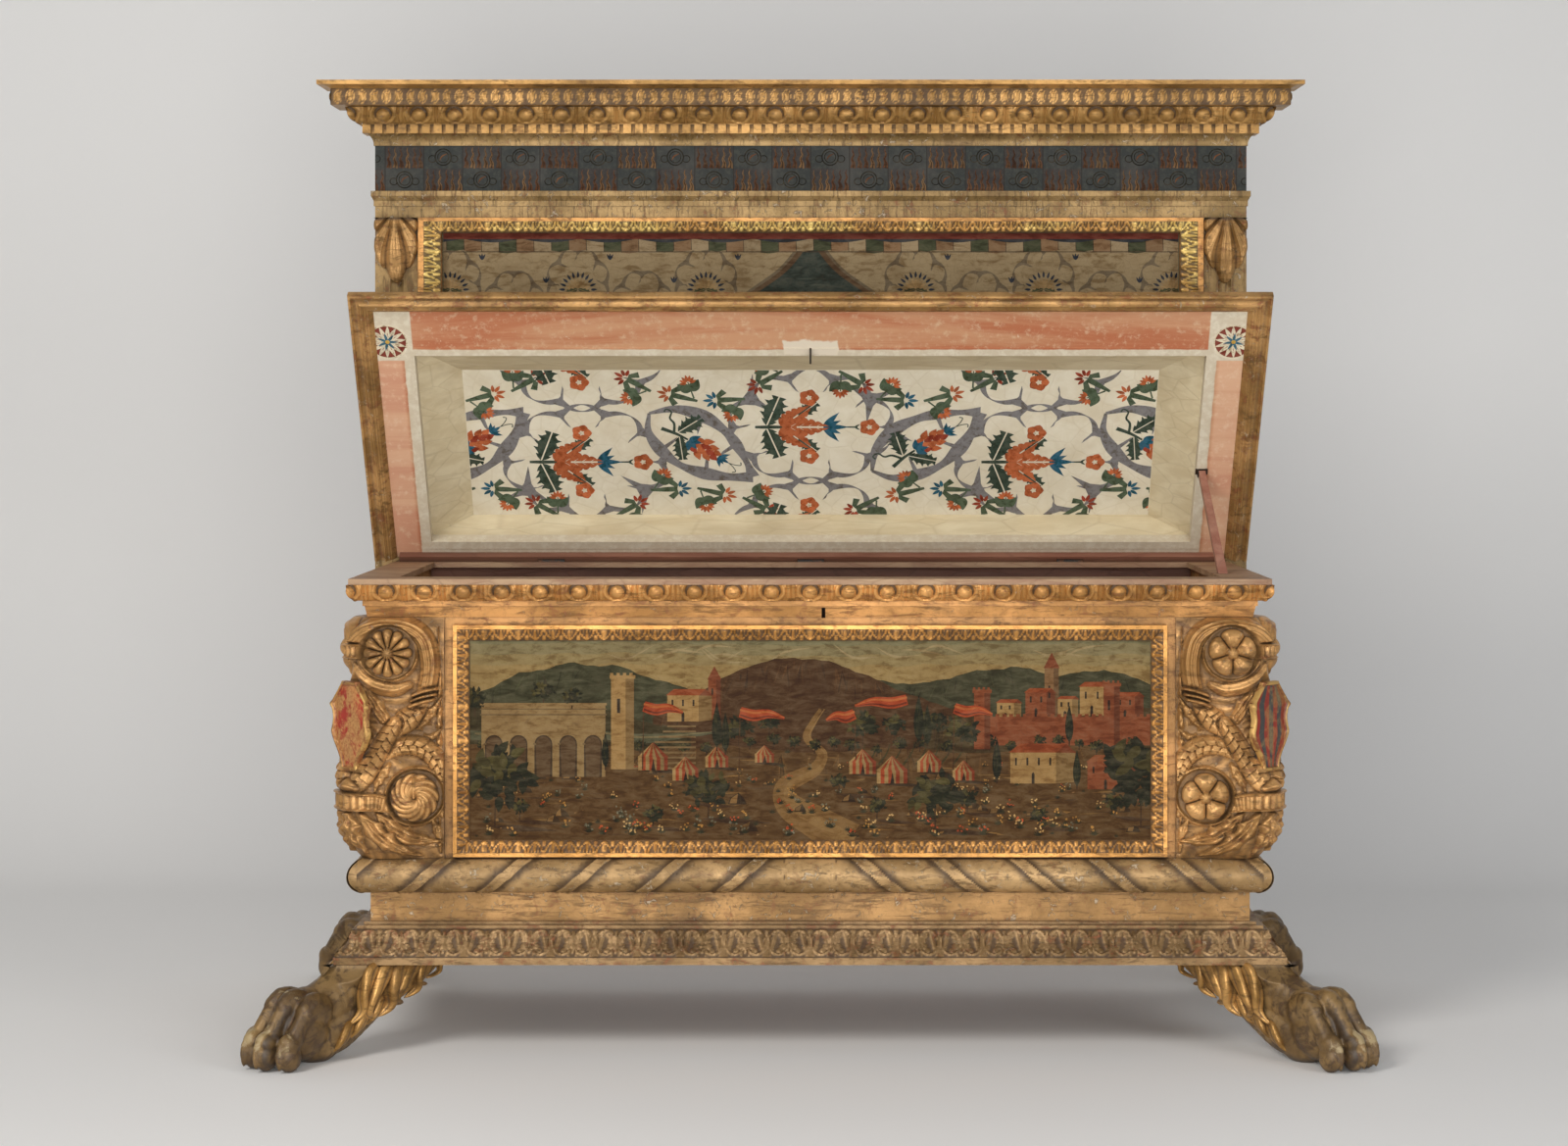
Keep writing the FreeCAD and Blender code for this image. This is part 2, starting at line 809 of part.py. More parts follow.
def lid_block(x0, x1, along0, along1, up0, up1):
    return block(x0, x1, hinge_y - along1, hinge_y - along0, rim_top + up0, rim_top + up1)


def opened(shape):
    turned = shape.copy()
    turned.rotate(vector(0, hinge_y, rim_top), vector(1, 0, 0), -lid_open_angle)
    return turned


flange_low = lip_depth
flange_high = lip_depth + flange_thickness
floor_height = flange_high + tray_depth
top_height = floor_height + top_panel_thickness
flange_edge = lip_outer_width
tray_half_width = lid_half_width - tray_side_margin
tray_front = staple_along - tray_staple_gap


def lip_mouldings():
    z = rim_top
    outer = lid_half_width
    contour = [(outer - flange_edge, z + lid_clearance), (outer, z + lid_clearance),
               (outer, z + lip_edge_height), (outer - lip_edge_slope, z + flange_high)]
    moulding = wrapped_moulding(contour, lid_front_at, hinge_y)
    ledge_width = outer - lip_outer_width - lip_ledge_width
    runs = mitred_runs(moulding, outer - flange_edge, lid_front_at, hinge_y, z, z + flange_high)
    ledge_contour = [(outer - flange_edge, z + lip_step), (outer - flange_edge, z + lip_depth)]
    ledge = wrapped_moulding(ledge_contour, lid_front_at, hinge_y)
    ledges = mitred_runs(ledge, ledge_width, lid_front_at, hinge_y, z, z + lip_depth)
    horn = rod(lid_horn_radius, flange_high + overrun,
               vector(outer + lid_horn_side_offset, hinge_y - lid_horn_forward, z), vector(0, 0, 1))
    pieces = []
    for run, strip in zip(runs, ledges):
        pieces.append(run.fuse(strip).removeSplitter().cut([horn, mirrored_x(horn)]))
    return group(pieces)


def flange_boards(cutters):
    half = lid_half_width - flange_edge
    front = lid_block(-half, half, tray_front, lid_length - flange_edge, flange_low, flange_high)
    back = lid_block(-half, half, 0, tray_back_margin, flange_low, flange_high)
    right = lid_block(tray_half_width, half, tray_back_margin, tray_front, flange_low, flange_high)
    boards = [front, back, right, mirrored_x(right)]
    return group([board.cut(cutters) for board in boards])


def back_batten(cutters):
    half = lid_half_width - lip_outer_width - lip_ledge_width
    batten = lid_block(-half, half, 0, back_batten_width, lid_clearance, lip_depth)
    return batten.cut(cutters)


def slope_offset(run):
    """Thickness of a coffer board measured level, from the slope it stands at."""
    return coffer_board_thickness * math.sqrt(run * run + tray_depth * tray_depth) / tray_depth


def coffer_rectangles():
    """Inner and outer edges of the coffer at its foot and at its top, as half width, back, front."""
    side = slope_offset(tray_side_slope)
    back = slope_offset(tray_back_slope)
    front = slope_offset(tray_front_slope)
    inner_low = (tray_half_width, tray_back_margin, tray_front)
    inner_high = (tray_half_width - tray_side_slope, tray_back_margin + tray_back_slope,
                  tray_front - tray_front_slope)
    outer_low = (inner_low[0] + side, inner_low[1] - back, inner_low[2] + front)
    outer_high = (inner_high[0] + side, inner_high[1] - back, inner_high[2] + front)
    return inner_low, inner_high, outer_low, outer_high


def coffer_boards():
    inner_low, inner_high, outer_low, outer_high = coffer_rectangles()

    def corners(rectangle, up):
        half, back, front = rectangle
        z = rim_top + up
        return [vector(-half, hinge_y - back, z), vector(half, hinge_y - back, z),
                vector(half, hinge_y - front, z), vector(-half, hinge_y - front, z)]

    inner_feet = corners(inner_low, flange_high)
    inner_heads = corners(inner_high, floor_height)
    outer_feet = corners(outer_low, flange_high)
    outer_heads = corners(outer_high, floor_height)
    boards = []
    for index in range(4):
        after = (index + 1) % 4
        foot = [inner_feet[index], inner_feet[after], outer_feet[after], outer_feet[index]]
        head = [inner_heads[index], inner_heads[after], outer_heads[after], outer_heads[index]]
        foot_wire = Part.makePolygon(foot + [foot[0]])
        head_wire = Part.makePolygon(head + [head[0]])
        boards.append(Part.makeLoft([foot_wire, head_wire], True, True))
    return group(boards)


def top_panel():
    half, back, front = coffer_rectangles()[3]
    return lid_block(-half, half, back, front, floor_height, top_height)


def inner_fillet(cutters):
    low = lip_depth - fillet_thickness
    half = tray_half_width
    front = lid_block(-half, half, tray_front, tray_front + fillet_width, low, lip_depth)
    back = lid_block(-half, half, tray_back_margin - fillet_width, tray_back_margin, low, lip_depth)
    right = lid_block(half, half + fillet_width, tray_back_margin - fillet_width,
                      tray_front + fillet_width, low, lip_depth)
    strips = [front, back, right, mirrored_x(right)]
    return group([strip.cut(cutters) for strip in strips])


def staple_body():
    return lid_block(-staple_thickness / 2, staple_thickness / 2, staple_along - staple_width / 2,
                     staple_along + staple_width / 2, -staple_drop, flange_high)


def lock_staple():
    eye = rod(staple_eye_radius, staple_thickness + 2 * overrun,
              vector(-staple_thickness / 2 - overrun, hinge_y - staple_along, rim_top - staple_eye_drop),
              vector(1, 0, 0))
    return staple_body().cut(eye)


# Prop stick, modelled folded flat under the closed lid and then swung out

def prop_pivot():
    return vector(prop_side, hinge_y - prop_pivot_along, rim_top + prop_pivot_height)


def prop_rest_slope():
    """Slope of the open prop: its foot stands on the rim while its head hangs from the lid."""
    angle = math.radians(lid_open_angle)
    rise = prop_pivot_along * math.sin(angle) + prop_pivot_height * math.cos(angle)
    return math.degrees(math.asin(rise / prop_length))


def prop_stick():
    pivot = prop_pivot()
    head = prop_head_width / 2
    foot = prop_foot_width / 2
    low = pivot.z - prop_thickness / 2
    high = pivot.z + prop_thickness / 2
    far = pivot.y - prop_length - overrun
    shaft = prism_z([(pivot.x - head, pivot.y), (pivot.x + head, pivot.y), (pivot.x + foot, far),
                     (pivot.x - foot, far)], low, high)
    round_head = rod(prop_thickness / 2, prop_head_width, vector(pivot.x - head, pivot.y, pivot.z),
                     vector(1, 0, 0))
    hole = rod(prop_pin_radius + pin_clearance, 2 * overrun, vector(pivot.x - overrun, pivot.y, pivot.z),
               vector(1, 0, 0))
    stick = shaft.fuse(round_head).removeSplitter().cut(hole)
    stick.rotate(pivot, vector(1, 0, 0), prop_rest_slope() + lid_open_angle)
    stick = opened(stick)
    floor = block(0, base_half_width, rim_front_y - base_rail_width, back_y, body_top,
                  rim_top + prop_foot_clearance)
    return stick.cut(floor)


def prop_bracket_pieces():
    pivot = prop_pivot()
    inner = prop_head_width / 2 + prop_ear_clearance
    outer = inner + prop_ear_thickness
    ears = []
    for direction in (-1, 1):
        near = prop_side + direction * inner
        far = prop_side + direction * outer
        ears.append(lid_block(min(near, far), max(near, far), prop_pivot_along - prop_ear_half_length,
                              prop_pivot_along + prop_ear_half_length,
                              prop_pivot_height - prop_pin_radius - prop_ear_thickness, lip_depth))
    half = outer + prop_plate_margin
    plate = lid_block(prop_side - half, prop_side + half, prop_pivot_along - prop_ear_half_length,
                      prop_pivot_along + prop_ear_half_length, lip_depth - fillet_thickness, lip_depth)
    pin = rod(prop_pin_radius, 2 * outer, vector(prop_side - outer, pivot.y, pivot.z), vector(1, 0, 0))
    bracket = plate.fuse(ears).removeSplitter().cut(pin)
    return bracket, pin, plate


# Lock

def lock_case():
    inner_y = board_inner_y
    high = rim_top - lock_top_gap
    low = high - lock_height
    shell = block(-lock_left, lock_right, inner_y, inner_y + lock_depth, low, high)
    hollow = block(-lock_left + lock_wall, lock_right - lock_wall, inner_y + lock_wall,
                   inner_y + lock_depth - lock_wall, low + lock_wall, high - lock_wall)
    case = shell.cut(hollow)
    staple_y = hinge_y - staple_along
    slot_reach = staple_width / 2 + lock_slot_margin
    slot_side = staple_thickness / 2 + lock_slot_margin
    slot = block(-slot_side, slot_side, staple_y - slot_reach, staple_y + slot_reach,
                 high - 2 * lock_wall, high + overrun)
    case = case.cut([slot, keyhole_cutter()])
    shelf_top = rim_top - staple_eye_drop - bolt_height / 2 - bolt_clearance
    shelves = []
    for index in range(2):
        left = lock_shelf_left + index * lock_shelf_pitch
        shelves.append(block(left, left + lock_shelf_width, inner_y + lock_wall / 2,
                             inner_y + lock_depth - lock_wall / 2, shelf_top - lock_shelf_height, shelf_top))
    return case.fuse(shelves).removeSplitter()


def lock_bolt():
    middle_y = hinge_y - staple_along
    middle_z = rim_top - staple_eye_drop
    left = staple_thickness / 2 + bolt_rest_gap
    return block(left, left + bolt_length, middle_y - bolt_depth / 2, middle_y + bolt_depth / 2,
                 middle_z - bolt_height / 2, middle_z + bolt_height / 2)


# Feet

def foot_side_outline():
    """Side view along the diagonal: reach from the base corner outwards, and height."""
    reach = foot_reach
    root = foot_root_length
    tall = leg_height
    return [(0.0, tall), (0.03 * reach, 0.93 * tall), (0.09 * reach, 0.875 * tall),
            (0.18 * reach, foot_ankle_rise), (0.36 * reach, 0.98 * foot_knuckle_rise),
            (0.52 * reach, foot_knuckle_rise), (0.66 * reach, 0.88 * foot_knuckle_rise),
            (0.80 * reach, 0.66 * foot_knuckle_rise), (0.92 * reach, 0.48 * foot_knuckle_rise),
            (1.0 * reach, 0.26 * foot_knuckle_rise), (0.985 * reach, 0.08 * foot_knuckle_rise),
            (0.94 * reach, 0.0), (reach - heel_set_back, 0.0), (-0.12 * root, 0.2 * tall),
            (-0.34 * root, 0.4 * tall), (-0.62 * root, 0.68 * tall), (-0.82 * root, 0.79 * tall),
            (-1.0 * root, 0.96 * tall), (-1.0 * root, tall)]


def foot_plan():
    """Plan of the leg, the paw and its toes, reach along x and spread along y."""
    root = foot_root_length
    leg = foot_leg_half_width
    paw_middle = foot_reach - foot_paw_set_back
    shapes = [prism_z([(-root, -0.6 * leg), (-0.82 * root, -0.9 * leg), (0.0, -leg),
                       (paw_middle, -foot_paw_half_width), (paw_middle, foot_paw_half_width), (0.0, leg),
                       (-0.82 * root, 0.9 * leg), (-root, 0.6 * leg)], 0, leg_height)]
    shapes.append(rod(foot_paw_half_width, leg_height, vector(paw_middle, 0, 0), vector(0, 0, 1)))
    for direction in (-1, 1):
        inner = vector(foot_reach - toe_radius, direction * inner_toe_spread, 0)
        outer = vector(foot_reach - toe_radius - outer_toe_set_back, direction * outer_toe_spread, 0)
        shapes.append(rod(toe_radius, leg_height, inner, vector(0, 0, 1)))
        shapes.append(rod(toe_radius, leg_height, outer, vector(0, 0, 1)))
    return shapes[0].fuse(shapes[1:]).removeSplitter()


def front_right_foot():
    half = foot_paw_half_width + toe_radius
    side = prism_y(foot_side_outline(), -half, half)
    foot = side.common(foot_plan()).removeSplitter()
    foot.rotate(vector(0, 0, 0), vector(0, 0, 1), -45)
    foot.translate(vector(base_half_width, chest_front_at(base_half_width), 0))
    return foot


# Backboard

def backboard_screw_pieces():
    pieces = []
    places = []
    for inset in rail_screw_insets:
        places.append((backboard_half_width - post_width - inset, rail_screw_height))
    places.append((backboard_half_width - post_screw_inset, post_screw_height))
    for side, height in places:
        for direction in (-1, 1):
            start = vector(direction * side, backboard_back_y, height)
            pieces.append(screw(start, vector(0, -1, 0), board_screw_radius, board_screw_length,
                                board_screw_head_radius, board_screw_head_height))
    return pieces


def post(screws):
    outer = backboard_half_width
    inner = outer - post_width
    timber = block(inner, outer, back_y, backboard_back_y, leg_height, post_top)
    centre = vector((inner + outer) / 2, back_y - post_flute_radius + post_flute_depth, bottom_rail_top)
    flute = rod(post_flute_radius, post_top - bracket_height - bottom_rail_top, centre, vector(0, 0, 1))
    return timber.cut([flute] + screws)


def backboard_rail(bottom, top, half):
    return block(-half, half, back_y, backboard_back_y, bottom, top)


def backboard_panel():
    half = backboard_half_width - post_width
    front = backboard_back_y - backboard_panel_thickness
    return block(-half, half, front, backboard_back_y, bottom_rail_top, post_top)


def backboard_frame_profile(z0, z1, wall, outer_first):
    width = z1 - z0
    fillet = width * frame_fillet_share
    proud = backboard_thickness - backboard_panel_thickness + backboard_frame_proud
    points = [(wall, 0.0), (wall - proud, 0.0), (wall - proud, fillet),
              (wall - proud + frame_inner_proud, width), (wall, width)]
    if outer_first:
        return [(y, z0 + along) for y, along in points]
    return [(y, z1 - along) for y, along in points]


def backboard_panel_frame():
    wall = backboard_back_y - backboard_panel_thickness
    half = backboard_panel_half_width
    return carved_frame(-half, half, bottom_rail_top + backboard_frame_width,
                        post_top - backboard_frame_width, backboard_frame_width,
                        backboard_frame_side_width, wall, backboard_frame_profile)


def backboard_architrave():
    low = post_top + architrave_band_height
    high = post_top + top_rail_height
    inner = backboard_half_width
    outer = inner + backboard_architrave_set_out
    third = (high - low) / 3
    contour = [(inner + backboard_architrave_set_out / 3, low),
               (inner + backboard_architrave_set_out / 3, low + third), (outer, high - third), (outer, high)]
    moulding = wrapped_moulding(contour, cornice_front_at, backboard_back_y)
    return group(mitred_runs(moulding, inner, cornice_front_at, backboard_back_y, low, high))


frieze_bottom = post_top + top_rail_height
bed_bottom = frieze_bottom + frieze_height
dentil_bottom = bed_bottom + bed_height
cornice_egg_bottom = dentil_bottom + dentil_height
corona_bottom = cornice_egg_bottom + cornice_egg_height
crown_top = corona_bottom + corona_height + cyma_height + crown_fillet_height


def frieze_board():
    return backboard_rail(frieze_bottom, bed_bottom, backboard_half_width)


def cornice_slab(contour):
    return wrapped_moulding(contour, cornice_front_at, backboard_back_y)


def cornice_bed():
    low_width = backboard_half_width + bed_bottom_set_out
    high_width = backboard_half_width + bed_top_set_out
    hollow = (low_width + (high_width - low_width) / 4, bed_bottom + bed_height * 3 / 5)
    return cornice_slab([(low_width, bed_bottom), (hollow, (high_width, dentil_bottom))])


def cornice_dentils():
    width = backboard_half_width + dentil_set_out
    slab = cornice_slab([(width, dentil_bottom), (width, cornice_egg_bottom)])
    front = cornice_front_at(width)
    count = int(width / dentil_pitch)
    cutters = []
    for index in range(-count, count + 1):
        x = index * dentil_pitch
        cutters.append(block(x - dentil_gap / 2, x + dentil_gap / 2, front - overrun,
                             front + dentil_depth, dentil_bottom - overrun, cornice_egg_bottom - dentil_gap / 3))
    return slab.cut(cutters)


def cornice_eggs():
    low_width = backboard_half_width + cornice_egg_bottom_set_out
    high_width = backboard_half_width + cornice_egg_top_set_out
    swell = (low_width + (high_width - low_width) * 3 / 5, cornice_egg_bottom + cornice_egg_height * 2 / 5)
    return cornice_slab([(low_width, cornice_egg_bottom), (swell, (high_width, corona_bottom))])


def cornice_crown():
    corona = backboard_half_width + corona_set_out
    crown = backboard_half_width + crown_set_out
    cyma_bottom = corona_bottom + corona_height
    cyma_top = cyma_bottom + cyma_height
    hollow = (corona + (crown - corona) / 3, cyma_bottom + cyma_height * 2 / 3)
    return cornice_slab([(corona, corona_bottom), (corona, cyma_bottom), (hollow, (crown, cyma_top)),
                         (crown, crown_top)])


def leaf_bracket():
    """Right bracket: a leaf that stands out at its head and narrows to a tip."""
    centre = backboard_half_width - post_width / 2
    high = post_top - bracket_top_drop
    low = high - bracket_height
    shoulder = low + bracket_shoulder_share * bracket_height
    side = prism_x([(back_y, low), (back_y - bracket_tip_projection, low),
                    (back_y - bracket_projection, shoulder + (high - shoulder) / 2),
                    (back_y - bracket_projection, high), (back_y, high)],
                   centre - bracket_half_width, centre + bracket_half_width)
    front_face = Part.Face(Part.Wire([
        Part.makeLine(vector(centre - bracket_half_width, back_y, high),
                      vector(centre - bracket_half_width, back_y, shoulder)),
        Part.Arc(vector(centre - bracket_half_width, back_y, shoulder), vector(centre, back_y, low),
                 vector(centre + bracket_half_width, back_y, shoulder)).toShape(),
        Part.makeLine(vector(centre + bracket_half_width, back_y, shoulder),
                      vector(centre + bracket_half_width, back_y, high)),
        Part.makeLine(vector(centre + bracket_half_width, back_y, high),
                      vector(centre - bracket_half_width, back_y, high))]))
    front = front_face.extrude(vector(0, -bracket_projection, 0))
    return side.common(front).removeSplitter()


def build():
    """Make every piece and return the shapes by name."""
    backboard_screws = backboard_screw_pieces()
    rim_screw_list = [piece for x in hinge_places() for piece in rim_screws(x)]
    lid_screw_list = [piece for x in hinge_places() for piece in lid_screws(x)]
    grooves = [barrel_groove(x) for x in hinge_places()]
    lower_plates = [lower_leaf_plate(x) for x in hinge_places()]
    upper_plates = [upper_leaf_plate(x) for x in hinge_places()]
    rim_cutters = grooves + lower_plates + rim_screw_list
    lid_cutters = grooves + upper_plates + lid_screw_list
    bracket, prop_pin, prop_plate = prop_bracket_pieces()
    nodes = {}

    base_front, base_left, base_right = base_mouldings()
    nodes["base_moulding"] = group([piece.cut(backboard_screws) for piece in (base_front, base_left, base_right)])
    nodes["base_back_rail"] = base_back_rail()
    nodes["plinth_boards"] = plinth_boards()
    nodes["torus_moulding"] = torus_mouldings()
    nodes["bottom_board"] = bottom_board()
    nodes["front_board"] = front_board()
    nodes["back_board"] = back_board(backboard_screws + rim_screw_list)
    nodes["end_board_right"] = end_board()
    nodes["end_board_left"] = mirrored_x(end_board())
    nodes["front_painted_panel"] = front_painted_panel()
    nodes["front_panel_frame"] = front_panel_frame()
    nodes["end_panels"] = end_panels()
    nodes["end_panel_frames"] = end_panel_frames()

    seats = rosette_seats()
    clearing = [shield_clearing()] + [rosette_pocket(*seat) for seat in seats]
    console = front_console().cut(clearing)
    nodes["console_front_right"] = console
    nodes["console_front_left"] = mirrored_x(console)
    nodes["console_rear_right"] = rear_console()
    nodes["console_rear_left"] = mirrored_x(rear_console())
    right_rosettes = [rosette(*seat) for seat in seats]
    nodes["rosettes"] = group(right_rosettes + [mirrored_x(piece) for piece in right_rosettes])
    nodes["shield_right"] = corner_shield()
    nodes["shield_left"] = mirrored_x(corner_shield())

    nodes["architrave_moulding"] = architrave_moulding()
    nodes["egg_moulding"] = egg_moulding()
    nodes["rim_front"] = rim_front()
    nodes["rim_right"] = rim_right()
    nodes["rim_left"] = mirrored_x(rim_right())
    nodes["rim_back"] = rim_back(rim_cutters)
    nodes["lock_case"] = lock_case()
    nodes["lock_bolt"] = lock_bolt()
    nodes["hinge_lower_leaves"] = group([hinge_lower_leaf(x, rim_screws(x)) for x in hinge_places()])
    nodes["hinge_pins"] = group([barrel(x, hinge_half_length, pin_radius) for x in hinge_places()])
    nodes["hinge_screws_rim"] = group(rim_screw_list)

    foot = front_right_foot()
    nodes["foot_front_right"] = foot
    nodes["foot_front_left"] = mirrored_x(foot)
    nodes["foot_rear_right"] = mirrored_y(foot)
    nodes["foot_rear_left"] = mirrored_x(mirrored_y(foot))

    nodes["backboard_post_right"] = post(backboard_screws)
    nodes["backboard_post_left"] = mirrored_x(post(backboard_screws))
    bottom_rail = backboard_rail(bottom_rail_bottom, bottom_rail_top, backboard_half_width - post_width)
    nodes["backboard_bottom_rail"] = bottom_rail.cut(backboard_screws)
    nodes["backboard_top_rail"] = backboard_rail(post_top, frieze_bottom, backboard_half_width)
    nodes["backboard_panel"] = backboard_panel()
    nodes["backboard_panel_frame"] = backboard_panel_frame()
    nodes["backboard_architrave"] = backboard_architrave()
    nodes["frieze_board"] = frieze_board()
    nodes["cornice_bed"] = cornice_bed()
    nodes["cornice_dentils"] = cornice_dentils()
    nodes["cornice_eggs"] = cornice_eggs()
    nodes["cornice_crown"] = cornice_crown()
    nodes["leaf_brackets"] = group([leaf_bracket(), mirrored_x(leaf_bracket())])
    nodes["backboard_screws"] = group(backboard_screws)

    nodes["lid_lip_mouldings"] = opened(lip_mouldings())
    nodes["lid_flange_boards"] = opened(flange_boards(lid_cutters + [staple_body()]))
    nodes["lid_back_batten"] = opened(back_batten(lid_cutters))
    nodes["lid_coffer_boards"] = opened(coffer_boards())
    nodes["lid_top_panel"] = opened(top_panel())
    nodes["lid_inner_fillet"] = opened(inner_fillet([staple_body(), prop_plate]))
    nodes["lock_staple"] = opened(lock_staple())
    nodes["hinge_upper_leaves"] = opened(group([hinge_upper_leaf(x, lid_screws(x)) for x in hinge_places()]))
    nodes["hinge_screws_lid"] = opened(group(lid_screw_list))
    nodes["prop_bracket"] = opened(group([bracket, prop_pin]))
    nodes["prop_stick"] = prop_stick()
    return nodes


os.makedirs("parts", exist_ok=True)
for name, shape in build().items():
    shape.exportStep("parts/" + name + ".step")
    print(name, len(shape.Solids), shape.isValid(), round(shape.Volume))
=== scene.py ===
import bpy
import math
import random
import numpy as np
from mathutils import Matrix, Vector
from mathutils.geometry import tessellate_polygon


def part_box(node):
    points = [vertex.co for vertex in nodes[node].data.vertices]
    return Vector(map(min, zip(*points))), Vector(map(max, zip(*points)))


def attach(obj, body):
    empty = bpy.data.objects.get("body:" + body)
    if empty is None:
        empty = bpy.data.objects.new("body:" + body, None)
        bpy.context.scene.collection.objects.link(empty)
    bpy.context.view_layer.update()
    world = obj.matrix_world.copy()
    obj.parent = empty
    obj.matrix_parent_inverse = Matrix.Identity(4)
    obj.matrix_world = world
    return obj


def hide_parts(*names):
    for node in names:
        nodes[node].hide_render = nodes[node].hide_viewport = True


# The finish of a carved, gilded and painted marriage chest with its lid propped open.
# Metres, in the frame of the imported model: X to the right, Y to the wall, Z up.
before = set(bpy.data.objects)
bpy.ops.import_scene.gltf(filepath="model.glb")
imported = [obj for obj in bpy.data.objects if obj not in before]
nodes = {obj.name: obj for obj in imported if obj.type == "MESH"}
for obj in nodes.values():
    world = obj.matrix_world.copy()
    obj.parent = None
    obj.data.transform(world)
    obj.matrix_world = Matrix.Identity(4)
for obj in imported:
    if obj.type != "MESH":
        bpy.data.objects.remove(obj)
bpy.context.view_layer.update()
chance = random.Random(14)
MM = 0.001

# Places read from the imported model
rim_low, rim_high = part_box("rim_front")
board_low, board_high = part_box("front_board")
torus_low, torus_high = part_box("torus_moulding")
base_low, base_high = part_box("base_moulding")
egg_low, egg_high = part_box("egg_moulding")
panel_low, panel_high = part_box("front_painted_panel")
panel_frame_low, panel_frame_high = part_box("front_panel_frame")
post_low, post_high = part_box("backboard_post_right")
back_panel_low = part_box("backboard_panel")[0]
back_frame_low, back_frame_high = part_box("backboard_panel_frame")
frieze_low, frieze_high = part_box("frieze_board")
crown_low, crown_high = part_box("cornice_crown")
cornice_egg_low, cornice_egg_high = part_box("cornice_eggs")
pin_low, pin_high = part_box("hinge_pins")
hinge = (pin_low + pin_high) / 2
lid_angle = math.radians(55.5)


def lid_point(x, along, up):
    """A point of the open lid: sideways, along it from the hinge, and up from its underside."""
    return Vector((x, hinge.y - along * math.cos(lid_angle) + up * math.sin(lid_angle),
                   hinge.z + along * math.sin(lid_angle) + up * math.cos(lid_angle)))


# Camera, lamps and floor

eye = Vector((0.0129, -6.6115, 1.3583))
lens_length = 68.71
sideways_shift = -0.0206
upward_shift = -0.1083
world_light = 0.22
world_seen = 0.62
stage_half_width = 13.0
stage_front_y = -14.0
stage_wall_y = 2.6
stage_wall_top = 7.0
stage_curl = 0.9
stage_behind_y = 16.0


def set_camera():
    lens = bpy.data.cameras.new("camera")
    lens.lens = lens_length
    lens.sensor_width = 36.0
    lens.shift_x = sideways_shift
    lens.shift_y = upward_shift
    lens.clip_end = 60.0
    camera = bpy.data.objects.new("camera", lens)
    camera.location = eye
    camera.rotation_euler = (math.radians(90), 0, 0)
    bpy.context.scene.collection.objects.link(camera)
    bpy.context.scene.camera = camera


def soft_lamp(name, place, aim, size, power, colour):
    light = bpy.data.lights.new(name, "AREA")
    light.shape = "DISK"
    light.size = size
    light.energy = power
    light.color = colour
    lamp = bpy.data.objects.new(name, light)
    lamp.location = place
    lamp.rotation_euler = (Vector(aim) - Vector(place)).to_track_quat("-Z", "Y").to_euler()
    bpy.context.scene.collection.objects.link(lamp)


def set_light():
    soft_lamp("key_lamp", (-3.2, -4.6, 4.4), (0, 0, 0.9), 2.4, 160, (1.0, 0.97, 0.93))
    soft_lamp("fill_lamp", (4.0, -4.2, 2.6), (0, 0, 0.9), 2.8, 62, (0.96, 0.98, 1.0))
    soft_lamp("low_lamp", (0.0, -5.6, 0.9), (0, 0, 1.1), 2.6, 150, (1.0, 0.98, 0.95))
    world = bpy.data.worlds.new("studio")
    world.use_nodes = True
    tree = world.node_tree
    background = tree.nodes["Background"]
    background.inputs["Color"].default_value = (0.93, 0.95, 1.0, 1)
    seen = tree.nodes.new("ShaderNodeLightPath")
    strength = tree.nodes.new("ShaderNodeMapRange")
    strength.inputs["To Min"].default_value = world_light
    strength.inputs["To Max"].default_value = world_seen
    tree.links.new(seen.outputs["Is Camera Ray"], strength.inputs["Value"])
    tree.links.new(strength.outputs["Result"], background.inputs["Strength"])
    bpy.context.scene.world = world


def stage_sheet(name, points):
    """A wide sheet through a line of y and z, facing up and towards the front."""
    verts = [(side * stage_half_width, y, z) for y, z in points for side in (-1, 1)]
    faces = [(2 * i, 2 * i + 1, 2 * i + 3, 2 * i + 2) for i in range(len(points) - 1)]
    mesh = bpy.data.meshes.new(name)
    mesh.from_pydata(verts, [], faces)
    for face in mesh.polygons:
        face.use_smooth = True
    sheet = bpy.data.objects.new(name, mesh)
    bpy.context.scene.collection.objects.link(sheet)
    return sheet


def make_floor():
    """A pale sweep: the floor runs back and curls up into a wall that is clear from behind."""
    flat_end = stage_wall_y - stage_curl
    points = [(stage_front_y, 0.0), (flat_end, 0.0)]
    for step in range(1, 13):
        angle = math.radians(90) * step / 12
        points.append((flat_end + stage_curl * math.sin(angle), stage_curl - stage_curl * math.cos(angle)))
    points.append((stage_wall_y, stage_wall_top))
    floor = stage_sheet("floor", points)
    behind = stage_sheet("floor_behind", [(flat_end, -MM), (stage_behind_y, -MM)])
    pale = bpy.data.materials.new("floor_paint")
    pale.use_nodes = True
    tree = pale.node_tree
    shader = tree.nodes["Principled BSDF"]
    shader.inputs["Base Color"].default_value = (0.90, 0.895, 0.88, 1)
    shader.inputs["Roughness"].default_value = 0.9
    shader.inputs["Specular IOR Level"].default_value = 0.1
    clear = tree.nodes.new("ShaderNodeBsdfTransparent")
    side = tree.nodes.new("ShaderNodeNewGeometry")
    mixed = tree.nodes.new("ShaderNodeMixShader")
    tree.links.new(side.outputs["Backfacing"], mixed.inputs[0])
    tree.links.new(shader.outputs["BSDF"], mixed.inputs[1])
    tree.links.new(clear.outputs["BSDF"], mixed.inputs[2])
    tree.links.new(mixed.outputs[0], tree.nodes["Material Output"].inputs["Surface"])
    for sheet in (floor, behind):
        sheet.data.materials.append(pale)


bpy.context.scene.view_settings.view_transform = "Standard"
set_camera()
set_light()
make_floor()
bpy.ops.object.select_all(action="DESELECT")


